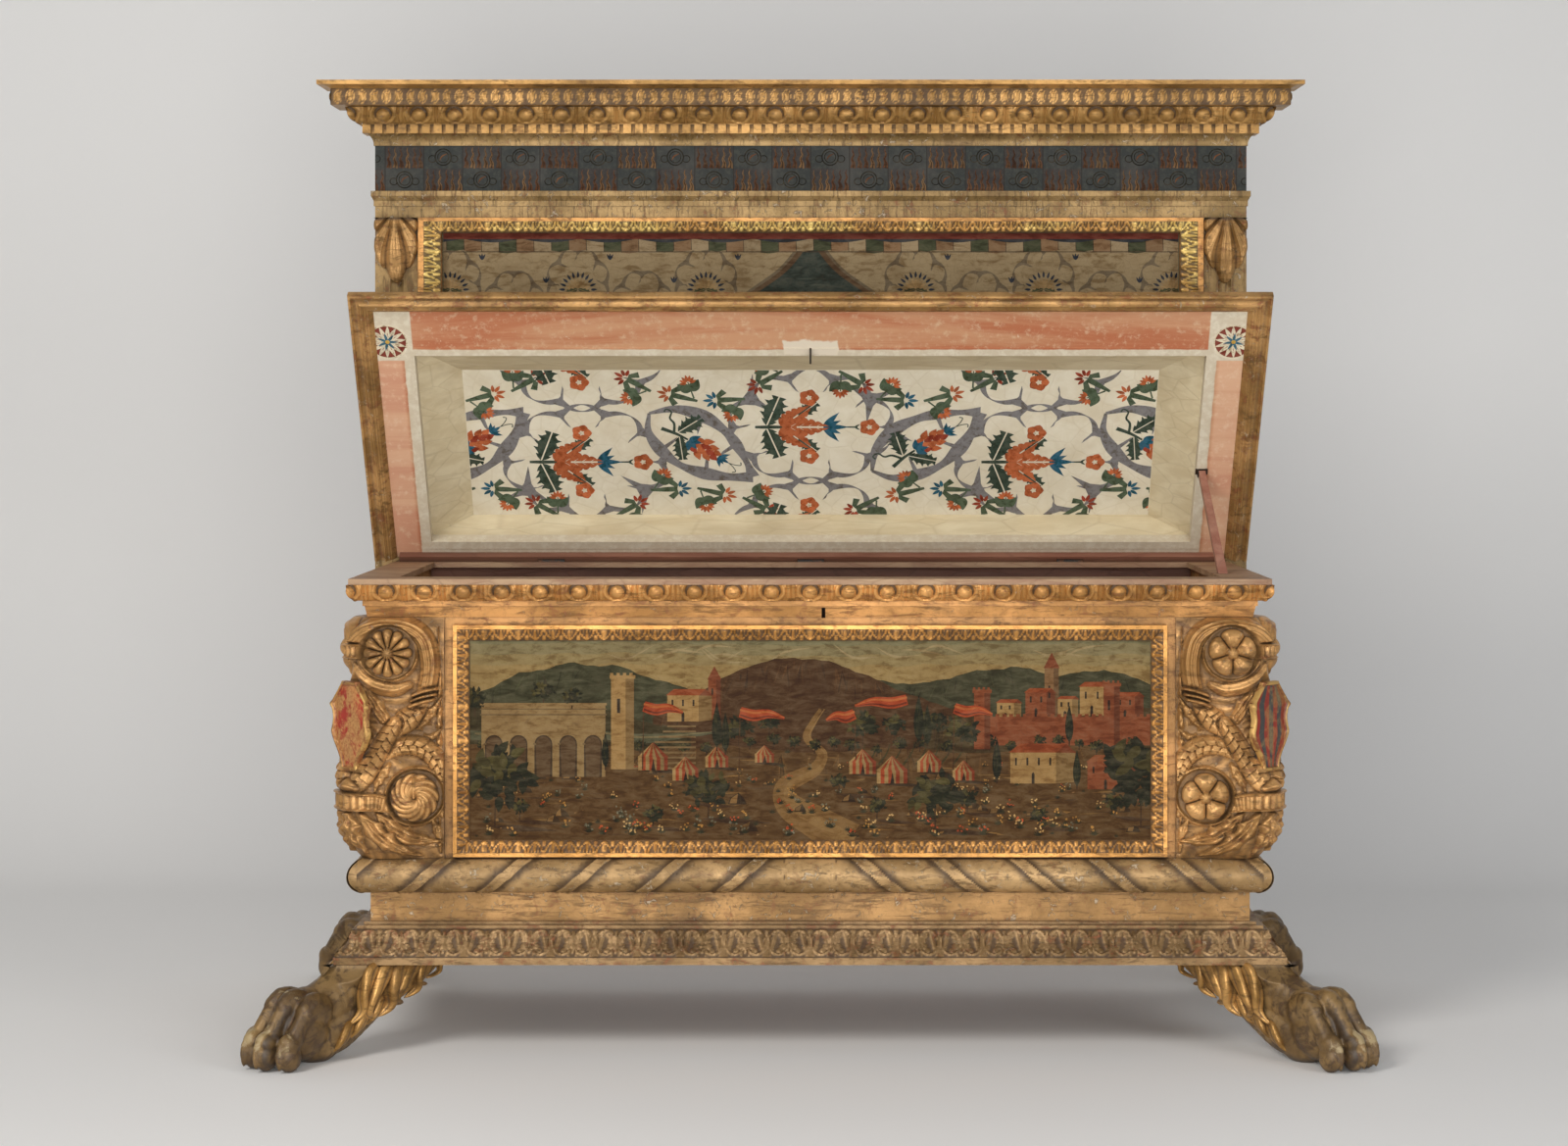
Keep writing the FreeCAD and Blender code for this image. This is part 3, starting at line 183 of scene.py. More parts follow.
# Shader arithmetic

class Level:
    """A number that varies over a surface. Arithmetic on it adds Math nodes to its finish."""

    def __init__(self, finish, socket):
        self.finish = finish
        self.socket = socket

    def math(self, operation, other=0.0, swapped=False):
        pair = {0: other, 1: self} if swapped else {0: self, 1: other}
        return self.finish.node("ShaderNodeMath", {"operation": operation}, pair)

    def __add__(self, other):
        return self.math("ADD", other)

    def __sub__(self, other):
        return self.math("SUBTRACT", other)

    def __rsub__(self, other):
        return self.math("SUBTRACT", other, True)

    def __mul__(self, other):
        return self.math("MULTIPLY", other)

    def __truediv__(self, other):
        return self.math("DIVIDE", other)

    __radd__ = __add__
    __rmul__ = __mul__


class Finish:
    """One material, built node by node on the piece's own coordinates."""

    def __init__(self, name):
        self.material = bpy.data.materials.new(name)
        self.material.use_nodes = True
        self.tree = self.material.node_tree
        self.tree.nodes.clear()
        self.place = self.node("ShaderNodeTexCoord", {}, {}, "Object")

    def node(self, kind, settings, feeds, output=0):
        """Add a node: its settings first, then the values or links of its sockets."""
        made = self.tree.nodes.new(kind)
        for name, value in settings.items():
            if name == "stops":
                ramp = made.color_ramp
                while len(ramp.elements) < len(value):
                    ramp.elements.new(1.0)
                for element, (position, colour) in zip(ramp.elements, value):
                    element.position = position
                    element.color = (*colour, 1)
            else:
                setattr(made, name, value)
        for key, value in feeds.items():
            if isinstance(value, Level):
                self.tree.links.new(value.socket, made.inputs[key])
            else:
                made.inputs[key].default_value = value
        return Level(self, made.outputs[output]) if made.outputs else None

    def moved(self, scale):
        """Coordinates stretched along the axes, for marks that have a direction."""
        return self.node("ShaderNodeMapping", {}, {"Vector": self.place, "Scale": scale})

    def noise(self, per_metre, detail=4.0, rough=0.55, place=None, warp=0.0):
        return self.node("ShaderNodeTexNoise", {}, {"Vector": place or self.place, "Scale": per_metre,
                         "Detail": detail, "Roughness": rough, "Distortion": warp})

    def cracks(self, per_metre, place=None):
        """Distance to the nearest crack of a dried paint film."""
        return self.node("ShaderNodeTexVoronoi", {"feature": "DISTANCE_TO_EDGE"},
                         {"Vector": place or self.place, "Scale": per_metre})

    def between(self, level, low, high):
        """0 below low, 1 above high, and smooth in between."""
        return self.node("ShaderNodeMapRange", {"interpolation_type": "SMOOTHSTEP", "clamp": True},
                         {"Value": level, "From Min": low, "From Max": high})

    def mix(self, factor, first, second, blend="MIX"):
        colours = {}
        for key, value in ((6, first), (7, second)):
            colours[key] = value if isinstance(value, Level) else (*value, 1)
        return self.node("ShaderNodeMix", {"data_type": "RGBA", "blend_type": blend},
                         {0: factor, **colours}, 2)

    def along(self, direction, start=(0, 0, 0)):
        """Distance from a point along a direction."""
        offset = self.node("ShaderNodeVectorMath", {"operation": "SUBTRACT"}, {0: self.place, 1: start})
        return self.node("ShaderNodeVectorMath", {"operation": "DOT_PRODUCT"},
                         {0: offset, 1: direction}, "Value")

    def mark(self, name):
        """A value that the mesh carries at its points, such as the depth of its carving."""
        return self.node("ShaderNodeAttribute", {"attribute_name": name}, {}, "Fac")

    def hollows(self, reach):
        """Ambient occlusion: 1 in the open and less in the depths of the carving, used to paint shade into
        hollows.
        """
        return self.node("ShaderNodeAmbientOcclusion", {"samples": 6}, {"Distance": reach}, "AO")

    def done(self, colour, roughness, metallic, height, depth, gloss=0.5):
        """Close the finish. Its fine relief is height, from 0 to 1, times depth in metres."""
        normal = self.node("ShaderNodeBump", {}, {"Strength": 1.0, "Distance": depth, "Height": height})
        shader = self.node("ShaderNodeBsdfPrincipled", {},
                           {"Base Color": colour, "Roughness": roughness, "Metallic": metallic,
                            "Specular IOR Level": gloss, "Normal": normal})
        self.node("ShaderNodeOutputMaterial", {}, {"Surface": shader})
        return self.material


# Colours of the old surfaces
RED_BOLE = (0.300, 0.095, 0.038)
GESSO = (0.640, 0.520, 0.370)
# Dark brown of dirt and cracks, and of the painted shade laid into hollows
DARK_DIRT_AND_SHADE = (0.060, 0.034, 0.018)
DARK_WOOD = (0.085, 0.044, 0.022)
PALE_WOOD = (0.185, 0.105, 0.056)
# Y of the backboard's flat back, less a millimetre
BACK_PLANE = 0.4325


def behind(finish):
    """1 on the flat back of the backboard and 0 ahead of it."""
    return finish.between(finish.along((0, 1, 0)), BACK_PLANE, BACK_PLANE + 0.0005)


def bare_back(finish, colour):
    """Old wood on the backs of painted and gilded boards."""
    rings = finish.noise(60, 7, 0.62, finish.moved((0.06, 1, 1)), 1.2)
    wood = finish.mix(finish.between(rings, 0.36, 0.64), DARK_WOOD, PALE_WOOD)
    return finish.mix(behind(finish), colour, wood)


def gilding(name, gold, rub=0.5, tarnish=0.5, bare=0.35, shine=0.42, hollow=0.012, grain=(0.3, 0.3, 1)):
    """Water gilding rubbed to the red clay and the gesso below it, with dirt and painted shade in its
    hollows.
    """
    finish = Finish(name)
    broad = finish.noise(7, 5, 0.6)
    leaf = finish.noise(34, 6, 0.65, warp=0.6)
    fine = finish.noise(190, 5, 0.7)
    stain = finish.noise(5.5, 7, 0.70, warp=0.9)
    scrape = finish.noise(75, 7, 0.72, finish.moved(grain), 0.5)
    pale = tuple(min(1.0, part * 1.65 + 0.022) for part in gold)
    deep = tuple(part * 0.40 for part in gold)
    colour = finish.mix(finish.between(broad, 0.38, 0.64), gold, pale)
    colour = finish.mix(finish.between(scrape, 0.50, 0.62) * 0.72, colour, deep)
    colour = finish.mix(finish.between(leaf, 0.50, 0.70) * tarnish, colour, deep)
    clay = finish.between(leaf * 0.45 + fine * 0.30 + scrape * 0.25, 0.58 - 0.10 * rub, 0.68 - 0.08 * rub)
    colour = finish.mix(clay * rub, colour, RED_BOLE)
    chips = finish.noise(62, 8, 0.74, warp=0.9)
    chalk = finish.between(chips, 0.66 - 0.12 * bare, 0.71 - 0.10 * bare)
    colour = finish.mix(chalk * bare, colour, GESSO)
    colour = finish.mix(finish.between(stain, 0.52, 0.70) * 0.55, colour, (0.105, 0.058, 0.024))
    # Dirt and painted shade: darker where the carving is deep and where ambient occlusion finds hollows
    dirt_and_shade = finish.between(finish.mark("depth") + (leaf - 0.5) * 0.35, 0.34, 0.92)
    if hollow:
        dirt_and_shade = dirt_and_shade.math("MAXIMUM", finish.between(1 - finish.hollows(hollow), 0.22, 0.85))
    colour = finish.mix(dirt_and_shade * 0.88, colour, DARK_DIRT_AND_SHADE)
    specks = finish.between(finish.noise(420, 3, 0.6), 0.68, 0.75)
    colour = bare_back(finish, finish.mix(specks * 0.5, colour, DARK_DIRT_AND_SHADE))
    metal = (1 - clay * rub) * (1 - chalk * bare) * (1 - dirt_and_shade) * (1 - behind(finish)) * shine
    roughness = fine * 0.22 + (1 - metal) * 0.30 + scrape * 0.12 + 0.04
    height = fine * 0.35 + leaf * 0.5 - chalk * 0.5 + broad * 0.6 + scrape * 0.35
    return finish.done(colour, roughness, metal, height, 0.0013, 0.32)


def lid_outer(finish):
    """How far a point lies on the outside of the lid's sloping boards, top panel or flange."""
    up = finish.along((0, math.sin(lid_angle), math.cos(lid_angle)), tuple(hinge))
    reach = finish.along((0, -math.cos(lid_angle), math.sin(lid_angle)), tuple(hinge))
    rise = (up - 0.044).math("MAXIMUM", 0.0)
    side = finish.along((1, 0, 0)).math("ABSOLUTE") + rise * 1.685 - 0.877
    front = reach + rise * 1.704 - 0.561
    back = rise * 0.333 + 0.045 - reach
    beyond = side.math("MAXIMUM", front).math("MAXIMUM", back)
    outer = finish.between(beyond, 0.008, 0.009) * finish.between(up, 0.041, 0.042)
    return outer.math("MAXIMUM", finish.between(up, 0.102, 0.103))


def old_outside(finish, colour, outer, streak):
    """Worn gilding over the outside of the lid."""
    worn = finish.mix(finish.between(streak, 0.40, 0.60), (0.205, 0.110, 0.041), (0.300, 0.165, 0.055))
    return finish.mix(outer, colour, worn)


def stone_paint(name, base, pale, dark, line_scale=(1, 1, 1), crackle=42.0, on_lid=False):
    """Thin aged paint with craquelure, rubbed pale where hands and cloths have passed, with dirt and painted
    shade in its hollows.
    """
    finish = Finish(name)
    place = finish.moved(line_scale)
    broad = finish.noise(5, 5, 0.6, place)
    streak = finish.noise(26, 6, 0.62, place, 0.4)
    fine = finish.noise(260, 4, 0.65)
    colour = finish.mix(finish.between(streak, 0.38, 0.66), base, pale)
    colour = finish.mix(finish.between(broad, 0.50, 0.72) * 0.6, colour, dark)
    crack = 1 - finish.between(finish.cracks(crackle, place), 0.0, 0.045)
    colour = finish.mix(crack * 0.28, colour, dark)
    # Dirt and painted shade: darker in hollows found by ambient occlusion
    dirt_and_shade = finish.between(1 - finish.hollows(0.02), 0.30, 0.95)
    if on_lid:
        colour = old_outside(finish, colour, lid_outer(finish), streak)
    colour = finish.mix(dirt_and_shade * 0.7, colour, DARK_DIRT_AND_SHADE)
    height = fine * 0.3 + streak * 0.3 - crack * 0.5
    return finish.done(colour, fine * 0.2 + 0.44, 0.0, height, 0.0006)


def old_iron(name):
    finish = Finish(name)
    rust = finish.noise(90, 7, 0.7)
    pits = finish.noise(520, 4, 0.6)
    colour = finish.mix(finish.between(rust, 0.48, 0.66), (0.045, 0.040, 0.037), (0.120, 0.052, 0.026))
    return finish.done(colour, pits * 0.3 + 0.4, 0.75, pits * 0.6 + rust * 0.4, 0.0004)


# Gold of each run of carving: its colour, then how far it is rubbed, tarnished and bared, its shine,
# the reach of the dirt and painted shade in its hollows and the lie of its scratches
GILDINGS = {
    "pale": ("pale_gilding", (0.385, 0.186, 0.052), 0.60, 0.45, 0.45, 0.30, 0.012, (0.15, 0.5, 1)),
    "board": ("board_gilding", (0.335, 0.168, 0.050), 0.55, 0.45, 0.40, 0.28),
    "plinth": ("plinth_gilding", (0.300, 0.162, 0.052), 0.60, 0.45, 0.70, 0.26, 0.014, (0.12, 0.4, 1)),
    "torus": ("torus_gilding", (0.325, 0.200, 0.082), 0.50, 0.50, 0.70, 0.26),
    "leaf": ("base_leaf_gilding", (0.220, 0.132, 0.054), 0.70, 0.60, 0.45, 0.42),
    "egg": ("egg_gilding", (0.440, 0.215, 0.060), 0.62, 0.45, 0.40, 0.42, 0),
    "frame": ("frame_gilding", (0.470, 0.225, 0.055), 0.50, 0.40, 0.30, 0.48, 0),
    "bright": ("bright_gilding", (0.790, 0.425, 0.128), 0.20, 0.22, 0.15, 0.30, 0),
    "console": ("console_gilding", (0.420, 0.225, 0.076), 0.60, 0.55, 0.50, 0.48, 0.026),
    "post": ("post_gilding", (0.250, 0.158, 0.058), 0.55, 0.50, 0.75, 0.30, 0.012, (1.5, 1.5, 0.14)),
    "cornice": ("cornice_gilding", (0.400, 0.220, 0.065), 0.45, 0.40, 0.40, 0.36),
    "bracket": ("bracket_gilding", (0.315, 0.172, 0.056), 0.60, 0.50, 0.50, 0.46, 0.010),
    "lid": ("lid_gilding", (0.340, 0.188, 0.062), 0.80, 0.55, 0.60, 0.36, 0.012, (0.2, 0.5, 0.5)),
}


def lid_margin_paint():
    """Salmon pink rubbed to cream on the lid's margins, cream borders and round medals in its corners, with
    painted light on the side margins and painted shade in hollows.
    """
    finish = Finish("lid_margin_paint")
    reach = finish.along((0, -math.cos(lid_angle), math.sin(lid_angle)), tuple(hinge))
    x = finish.along((1, 0, 0))
    side = x.math("ABSOLUTE")
    waver = (finish.noise(30, 4) - 0.5) * 0.006
    band = finish.between(reach + waver, 0.576, 0.579).math(
        "MAXIMUM", finish.between(side + waver, 0.899, 0.902))
    corner = finish.between(side, 0.878, 0.881) * finish.between(reach, 0.546, 0.549)
    wiped = finish.moved((0.10, 1, 1))
    streak = finish.noise(9, 8, 0.66, wiped, 0.7)
    scuff = finish.noise(55, 8, 0.72)
    chips = finish.noise(24, 9, 0.76, warp=1.2)
    pink = finish.mix(finish.between(streak, 0.38, 0.60), (0.455, 0.150, 0.066), (0.570, 0.300, 0.160))
    pink = finish.mix(finish.between(scuff, 0.50, 0.68) * 0.6, pink, (0.660, 0.480, 0.310))
    # Painted light: the side margins, which the lip shades, are painted lighter
    pink = finish.mix(finish.between(side, 0.90, 0.91) * 0.26, pink, (1.0, 0.700, 0.500))
    cream = finish.mix(finish.between(scuff, 0.42, 0.64), (0.610, 0.520, 0.380), (0.700, 0.630, 0.490))
    colour = finish.mix(band * (1 - corner), cream, pink)
    patch = finish.between(0.062 + waver * 4 - side, 0.0, 0.004)
    patch = patch * finish.between(reach + waver * 3, 0.561, 0.565)
    patch = patch * finish.between(0.603 + waver * 4 - reach, 0.0, 0.006)
    colour = finish.mix(patch, colour, (0.730, 0.640, 0.500))
    far = side - 0.934
    up = reach - 0.597
    radius = (far * far + up * up).math("SQRT")
    disc = finish.between(0.046 - radius, 0.0, 0.001)
    ring = disc * finish.between(radius, 0.0375, 0.0385)
    colour = finish.mix(disc, colour, (0.560, 0.560, 0.500))
    colour = finish.mix(ring, colour, (0.760, 0.690, 0.540))
    colour = finish.mix(finish.between(chips, 0.655, 0.690) * 0.8, colour, (0.720, 0.600, 0.430))
    colour = old_outside(finish, colour, lid_outer(finish), streak)
    # Painted shade: the margins darken in hollows found by ambient occlusion
    edge = finish.between(1 - finish.hollows(0.03), 0.35, 0.95)
    colour = finish.mix(edge * 0.6, colour, (0.180, 0.100, 0.055))
    height = streak * 0.4 + scuff * 0.4 - finish.between(chips, 0.66, 0.69) * 0.5
    return finish.done(colour, scuff * 0.2 + 0.42, 0.0, height, 0.0006)


def frieze_squares():
    """Two rows of square fields, dark green ones and dark brown ones by turns."""
    finish = Finish("frieze_squares")
    column = 0.0905
    row = (frieze_high.z - frieze_low.z) / 2
    x = finish.along((1, 0, 0))
    z = finish.along((0, 0, 1), (0, 0, frieze_low.z))
    which_column = (x / column + 40.0).math("FLOOR")
    which_row = (z / row).math("FLOOR")
    parity = ((which_column + which_row) / 2).math("FRACT")
    green = finish.between(parity, 0.2, 0.3)
    rub = finish.noise(80, 7, 0.7)
    blot = finish.noise(9, 5, 0.6)
    leaf = finish.mix(finish.between(rub, 0.42, 0.66), (0.028, 0.032, 0.030), (0.050, 0.052, 0.044))
    fire = finish.mix(finish.between(rub, 0.42, 0.66), (0.030, 0.027, 0.025), (0.054, 0.044, 0.037))
    colour = finish.mix(green, fire, leaf)
    colour = finish.mix(finish.between(blot, 0.46, 0.70) * 0.6, colour, (0.075, 0.070, 0.062))
    across = (x / column + 40.0).math("FRACT")
    seam = finish.between((across - 0.5).math("ABSOLUTE"), 0.480, 0.495)
    colour = finish.mix(seam * 0.7, colour, (0.022, 0.018, 0.014))
    colour = bare_back(finish, colour)
    return finish.done(colour, rub * 0.25 + 0.50, 0.0, rub * 0.5 - seam * 0.5, 0.0008, 0.2)


def tempera(name, crackle=55.0, age=0.35, veil=0.0, strokes=(1, 1, 1)):
    """Egg paint in the colour of each painted shape, aged, with fine cracks and a brown varnish."""
    finish = Finish(name)
    own = finish.node("ShaderNodeVertexColor", {"layer_name": "paint"}, {})
    broad = finish.noise(11, 6, 0.65, warp=0.5)
    brush = finish.noise(70, 6, 0.68, finish.moved(strokes), 0.5)
    fine = finish.noise(600, 3, 0.6)
    own = finish.mix(veil, own, finish.mix(1.0, own, (0.54, 0.365, 0.155), "MULTIPLY"))
    light = finish.mix(0.10, own, (0.80, 0.62, 0.38), "SCREEN")
    dark = finish.mix(1.0, own, (0.60, 0.52, 0.42), "MULTIPLY")
    colour = finish.mix(finish.between(brush, 0.42, 0.70) * 0.5, own, light)
    colour = finish.mix(finish.between(brush, 0.34, 0.52), dark, colour)
    colour = finish.mix(finish.between(broad, 0.46, 0.72) * age, colour, dark)
    crack = 1 - finish.between(finish.cracks(crackle), 0.0, 0.035)
    colour = finish.mix(crack * 0.22, colour, DARK_DIRT_AND_SHADE)
    height = brush * 0.4 + fine * 0.3 - crack * 0.4
    return finish.done(colour, fine * 0.2 + 0.50, 0.0, height, 0.0003, 0.14)


def panel_ground(name, low_z, high_z, stops):
    """A painted ground that changes colour from the foot of a panel to its head."""
    finish = Finish(name)
    rise = finish.along((0, 0, 1), (0, 0, low_z)) / (high_z - low_z)
    waver = (finish.noise(9, 5, 0.6) - 0.5) * 0.10
    ramp = finish.node("ShaderNodeValToRGB", {"stops": stops}, {"Fac": rise + waver})
    blot = finish.noise(40, 7, 0.68)
    dark = finish.mix(1.0, ramp, (0.60, 0.52, 0.44), "MULTIPLY")
    colour = finish.mix(finish.between(blot, 0.46, 0.66) * 0.45, ramp, dark)
    crack = 1 - finish.between(finish.cracks(60.0), 0.0, 0.03)
    colour = bare_back(finish, finish.mix(crack * 0.2, colour, DARK_DIRT_AND_SHADE))
    return finish.done(colour, blot * 0.2 + 0.50, 0.0, blot * 0.5 - crack * 0.4, 0.0004, 0.15)


def dress(names, material):
    """Give the solids' pieces one finish all over. Their names stand in one string."""
    for name in names.split():
        slots = nodes[name].data.materials
        if not slots:
            slots.append(material)
        for index in range(len(slots)):
            slots[index] = material


gold = {run: gilding(*row) for run, row in GILDINGS.items()}
tempera_paint = tempera("tempera")
panel_tempera = tempera("panel_tempera", 60.0, 0.42, 0.86, (0.35, 1, 1))
cloth_tempera = tempera("cloth_tempera", 60.0, 0.40, 0.12, (0.35, 1, 1))
inside_paint = stone_paint("inside_red", (0.215, 0.088, 0.052), (0.290, 0.130, 0.080), (0.110, 0.045, 0.028),
                           (0.2, 1, 1))
rim_paint = stone_paint("rim_red", (0.300, 0.160, 0.085), (0.420, 0.270, 0.150), (0.150, 0.070, 0.038),
                        (0.25, 1, 1))
batten_paint = stone_paint("batten_red", (0.240, 0.090, 0.055), (0.330, 0.150, 0.095), (0.120, 0.050, 0.030),
                           (0.12, 1, 1))
prop_paint = stone_paint("prop_pink", (0.330, 0.130, 0.085), (0.430, 0.210, 0.145), (0.180, 0.070, 0.045),
                         (1, 1, 0.15))
tray_paint = stone_paint("tray_cream", (0.640, 0.530, 0.330), (0.740, 0.640, 0.430), (0.440, 0.340, 0.200),
                         (0.25, 1, 1), 24.0, True)
lid_floor_paint = stone_paint("lid_floor_cream", (0.800, 0.720, 0.540), (0.860, 0.790, 0.620),
                              (0.680, 0.580, 0.400), (1, 1, 1), 18.0, True)
end_paint = panel_ground("end_panel_paint", panel_low.z, panel_high.z,
                         [(0.0, (0.110, 0.062, 0.026)), (0.45, (0.075, 0.050, 0.024)),
                          (0.75, (0.060, 0.062, 0.034)), (1.0, (0.105, 0.105, 0.066))])

dress("plinth_boards", gold["plinth"])
dress("torus_moulding", gold["torus"])
dress("base_moulding", gold["leaf"])
dress("architrave_moulding", gold["pale"])
dress("egg_moulding backboard_panel_frame", gold["egg"])
dress("front_panel_frame end_panel_frames", gold["frame"])
dress("front_board end_board_left end_board_right", gold["board"])
dress("console_front_left console_front_right console_rear_left console_rear_right rosettes", gold["console"])
dress("backboard_post_left backboard_post_right backboard_top_rail backboard_architrave cornice_bed",
      gold["post"])
dress("cornice_dentils cornice_eggs cornice_crown leaf_brackets", gold["cornice"])
dress("lid_lip_mouldings", gold["lid"])
dress("foot_front_left foot_front_right foot_rear_left foot_rear_right", gold["leaf"])
dress("shield_left shield_right", gold["bright"])
dress("rim_front rim_left rim_right rim_back", rim_paint)
dress("bottom_board back_board backboard_bottom_rail base_back_rail", inside_paint)
dress("lid_flange_boards lid_inner_fillet", lid_margin_paint())
dress("lid_coffer_boards", tray_paint)
dress("lid_top_panel", lid_floor_paint)
dress("lid_back_batten", batten_paint)
dress("prop_stick", prop_paint)
dress("front_painted_panel end_panels backboard_panel", end_paint)
dress("frieze_board", frieze_squares())
dress("lock_case lock_bolt lock_staple hinge_lower_leaves hinge_upper_leaves hinge_pins hinge_screws_rim "
      "hinge_screws_lid prop_bracket backboard_screws", old_iron("old_iron"))


# Carving: every carved run starts as a flat grid whose points are then moved onto the moulding

def edit_active(*steps):
    """Run mesh operators on the whole of the active object."""
    bpy.ops.object.mode_set(mode="EDIT")
    bpy.ops.mesh.select_all(action="SELECT")
    for step in steps:
        step()
    bpy.ops.object.mode_set(mode="OBJECT")


def weld():
    """Merge points that coincide to within a fiftieth of a millimetre."""
    bpy.ops.mesh.remove_doubles(threshold=0.02 * MM)


def own_piece(name, body, material, smooth_angle=50):
    """Name the active object, give it its finish and let it ride on its body."""
    piece = bpy.context.object
    piece.name = name
    piece.data.name = name
    piece.data.materials.clear()
    piece.data.materials.append(material)
    edit_active(weld)
    bpy.ops.object.transform_apply(location=True, rotation=True, scale=True)
    bpy.ops.object.shade_smooth_by_angle(angle=math.radians(smooth_angle))
    piece.select_set(False)
    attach(piece, body)
    return piece


def add_sheet(columns, rows, place):
    """A grid whose two directions run from 0 to 1, moved point by point.

    place(u, v) gives the point and its depth: 0 on the crests of the carving and 1 in its hollows.
    """
    bpy.ops.object.select_all(action="DESELECT")
    bpy.ops.mesh.primitive_grid_add(x_subdivisions=columns, y_subdivisions=rows, size=1)
    sheet = bpy.context.object
    depths = sheet.data.attributes.new("depth", "FLOAT", "POINT")
    for vertex, depth in zip(sheet.data.vertices, depths.data):
        vertex.co, depth.value = place(vertex.co.x + 0.5, vertex.co.y + 0.5)
    return sheet


def join_pieces(pieces):
    """Join loose sheets into one object, which becomes the active one."""
    bpy.ops.object.select_all(action="DESELECT")
    for piece in pieces:
        piece.select_set(True)
    bpy.context.view_layer.objects.active = pieces[0]
    if len(pieces) > 1:
        bpy.ops.object.join()
    return bpy.context.object


def smooth_step(value, low, high):
    share = min(1.0, max(0.0, (value - low) / (high - low)))
    return share * share * (3 - 2 * share)


def ridge(distance, width):
    """A rounded ridge: 1 on its crest and 0 from its width outwards."""
    share = abs(distance) / width
    return 0.0 if share >= 1 else math.cos(share * math.pi / 2) ** 1.3


def dome(share):
    return math.sqrt(1 - share * share) if share < 1 else 0.0


def wrapped_angle(angle):
    return (angle + math.pi) % (2 * math.pi) - math.pi


def arc_contour(first, middle, last):
    """Points and outward directions of the arc through three (half width, z) points."""
    (ax, ay), (bx, by), (cx, cy) = first, middle, last
    across = 2 * (ax * (by - cy) + bx * (cy - ay) + cx * (ay - by))
    ux = ((ax * ax + ay * ay) * (by - cy) + (bx * bx + by * by) * (cy - ay)
          + (cx * cx + cy * cy) * (ay - by)) / across
    uy = ((ax * ax + ay * ay) * (cx - bx) + (bx * bx + by * by) * (ax - cx)
          + (cx * cx + cy * cy) * (bx - ax)) / across
    radius = math.hypot(ax - ux, ay - uy)
    start = math.atan2(ay - uy, ax - ux)
    halfway = math.atan2(by - uy, bx - ux)
    finish_angle = math.atan2(cy - uy, cx - ux)
    turn = wrapped_angle(halfway - start) + wrapped_angle(finish_angle - halfway)
    outward = 1 if turn > 0 else -1

    def at(share):
        angle = start + turn * share
        out = (math.cos(angle) * outward, math.sin(angle) * outward)
        return ux + radius * math.cos(angle), uy + radius * math.sin(angle), out

    at.length = abs(turn) * radius
    return at


def line_contour(first, last):
    length = math.hypot(last[0] - first[0], last[1] - first[1])
    out = ((last[1] - first[1]) / length, -(last[0] - first[0]) / length)

    def at(share):
        return first[0] + (last[0] - first[0]) * share, first[1] + (last[1] - first[1]) * share, out

    at.length = length
    return at


rim_half = rim_high.x
rim_front = rim_low.y
wall_y = post_low.y
wall_back_y = post_high.y
# Carving stands this far off its solid, and its end runs start this far ahead of the corner
skin = 0.3 * MM
corner_lap = 0.03


def chest_front(half_width):
    return rim_front + rim_half - half_width


def cornice_front(half_width):
    return wall_y + post_high.x - half_width


def carved_moulding(name, contour, relief, crest, step, rows, material, front_of, rear_y, corner_width):
    """Carve a moulding's front and both ends. relief(s, t) is in millimetres: s along, t across.

    crest is the height that stays clean of dirt and painted shade, step and rows the size of its facets,
    front_of the front face at a half width, rear_y the moulding's back end and corner_width its half width.
    """
    def surface(s, share):
        half_width, z, out = contour(share)
        height = relief(s / MM, share * contour.length / MM)
        lift = height * MM + skin
        return half_width + out[0] * lift, z + out[1] * lift, 1 - min(1.0, height / crest)

    reach = 1.01 * max(contour(0)[0], contour(1)[0]) + 8 * MM
    corner_y = front_of(corner_width)
    end_run = rear_y - corner_y + corner_lap

    def on_front(u, v):
        s = (2 * u - 1) * reach
        half_width, z, depth = surface(s, v)
        return Vector((max(-half_width, min(half_width, s)), front_of(half_width), z)), depth

    def on_right(u, v):
        y = corner_y - corner_lap + u * end_run
        half_width, z, depth = surface(y - corner_y, v)
        return Vector((half_width, max(y, front_of(half_width)), z)), depth

    def on_left(u, v):
        right, depth = on_right(1 - u, v)
        return Vector((-right.x, right.y, right.z)), depth

    side_columns = int(end_run / step)
    join_pieces([add_sheet(int(2 * reach / step), rows, on_front), add_sheet(side_columns, rows, on_right),
                 add_sheet(side_columns, rows, on_left)])
    own_piece(name, "chest", material)


def from_unit(s, pitch):
    """Signed distance from the middle of the nearest repeat."""
    return (s + pitch / 2) % pitch - pitch / 2


def egg_relief(pitch, egg_half, rise_middle, rise_half, proud, height):
    """Eggs in their shells with three-ribbed darts between them."""
    def relief(s, t):
        side = abs(from_unit(s, pitch))
        ratio = math.hypot(side / egg_half, (t - rise_middle) / rise_half)
        egg = proud * dome(ratio)
        shell_ratio = math.hypot(side / (egg_half * 1.62),
                                 (t - rise_middle - 0.12 * height) / (rise_half * 1.42))
        shell = 0.72 * proud * ridge(shell_ratio - 1.0, 0.30)
        flank = 0.40 * proud * smooth_step(shell_ratio, 0.98, 1.25)
        dart = pitch / 2 - side
        ribs = 0.30 * proud * (ridge(dart, 3.0) + ridge(dart - 7.0, 2.6))
        foot = smooth_step(t, 0.0, 0.10 * height)
        return max(egg, shell, flank + ribs * smooth_step(shell_ratio, 1.05, 1.3)) * (0.35 + 0.65 * foot)
    return relief


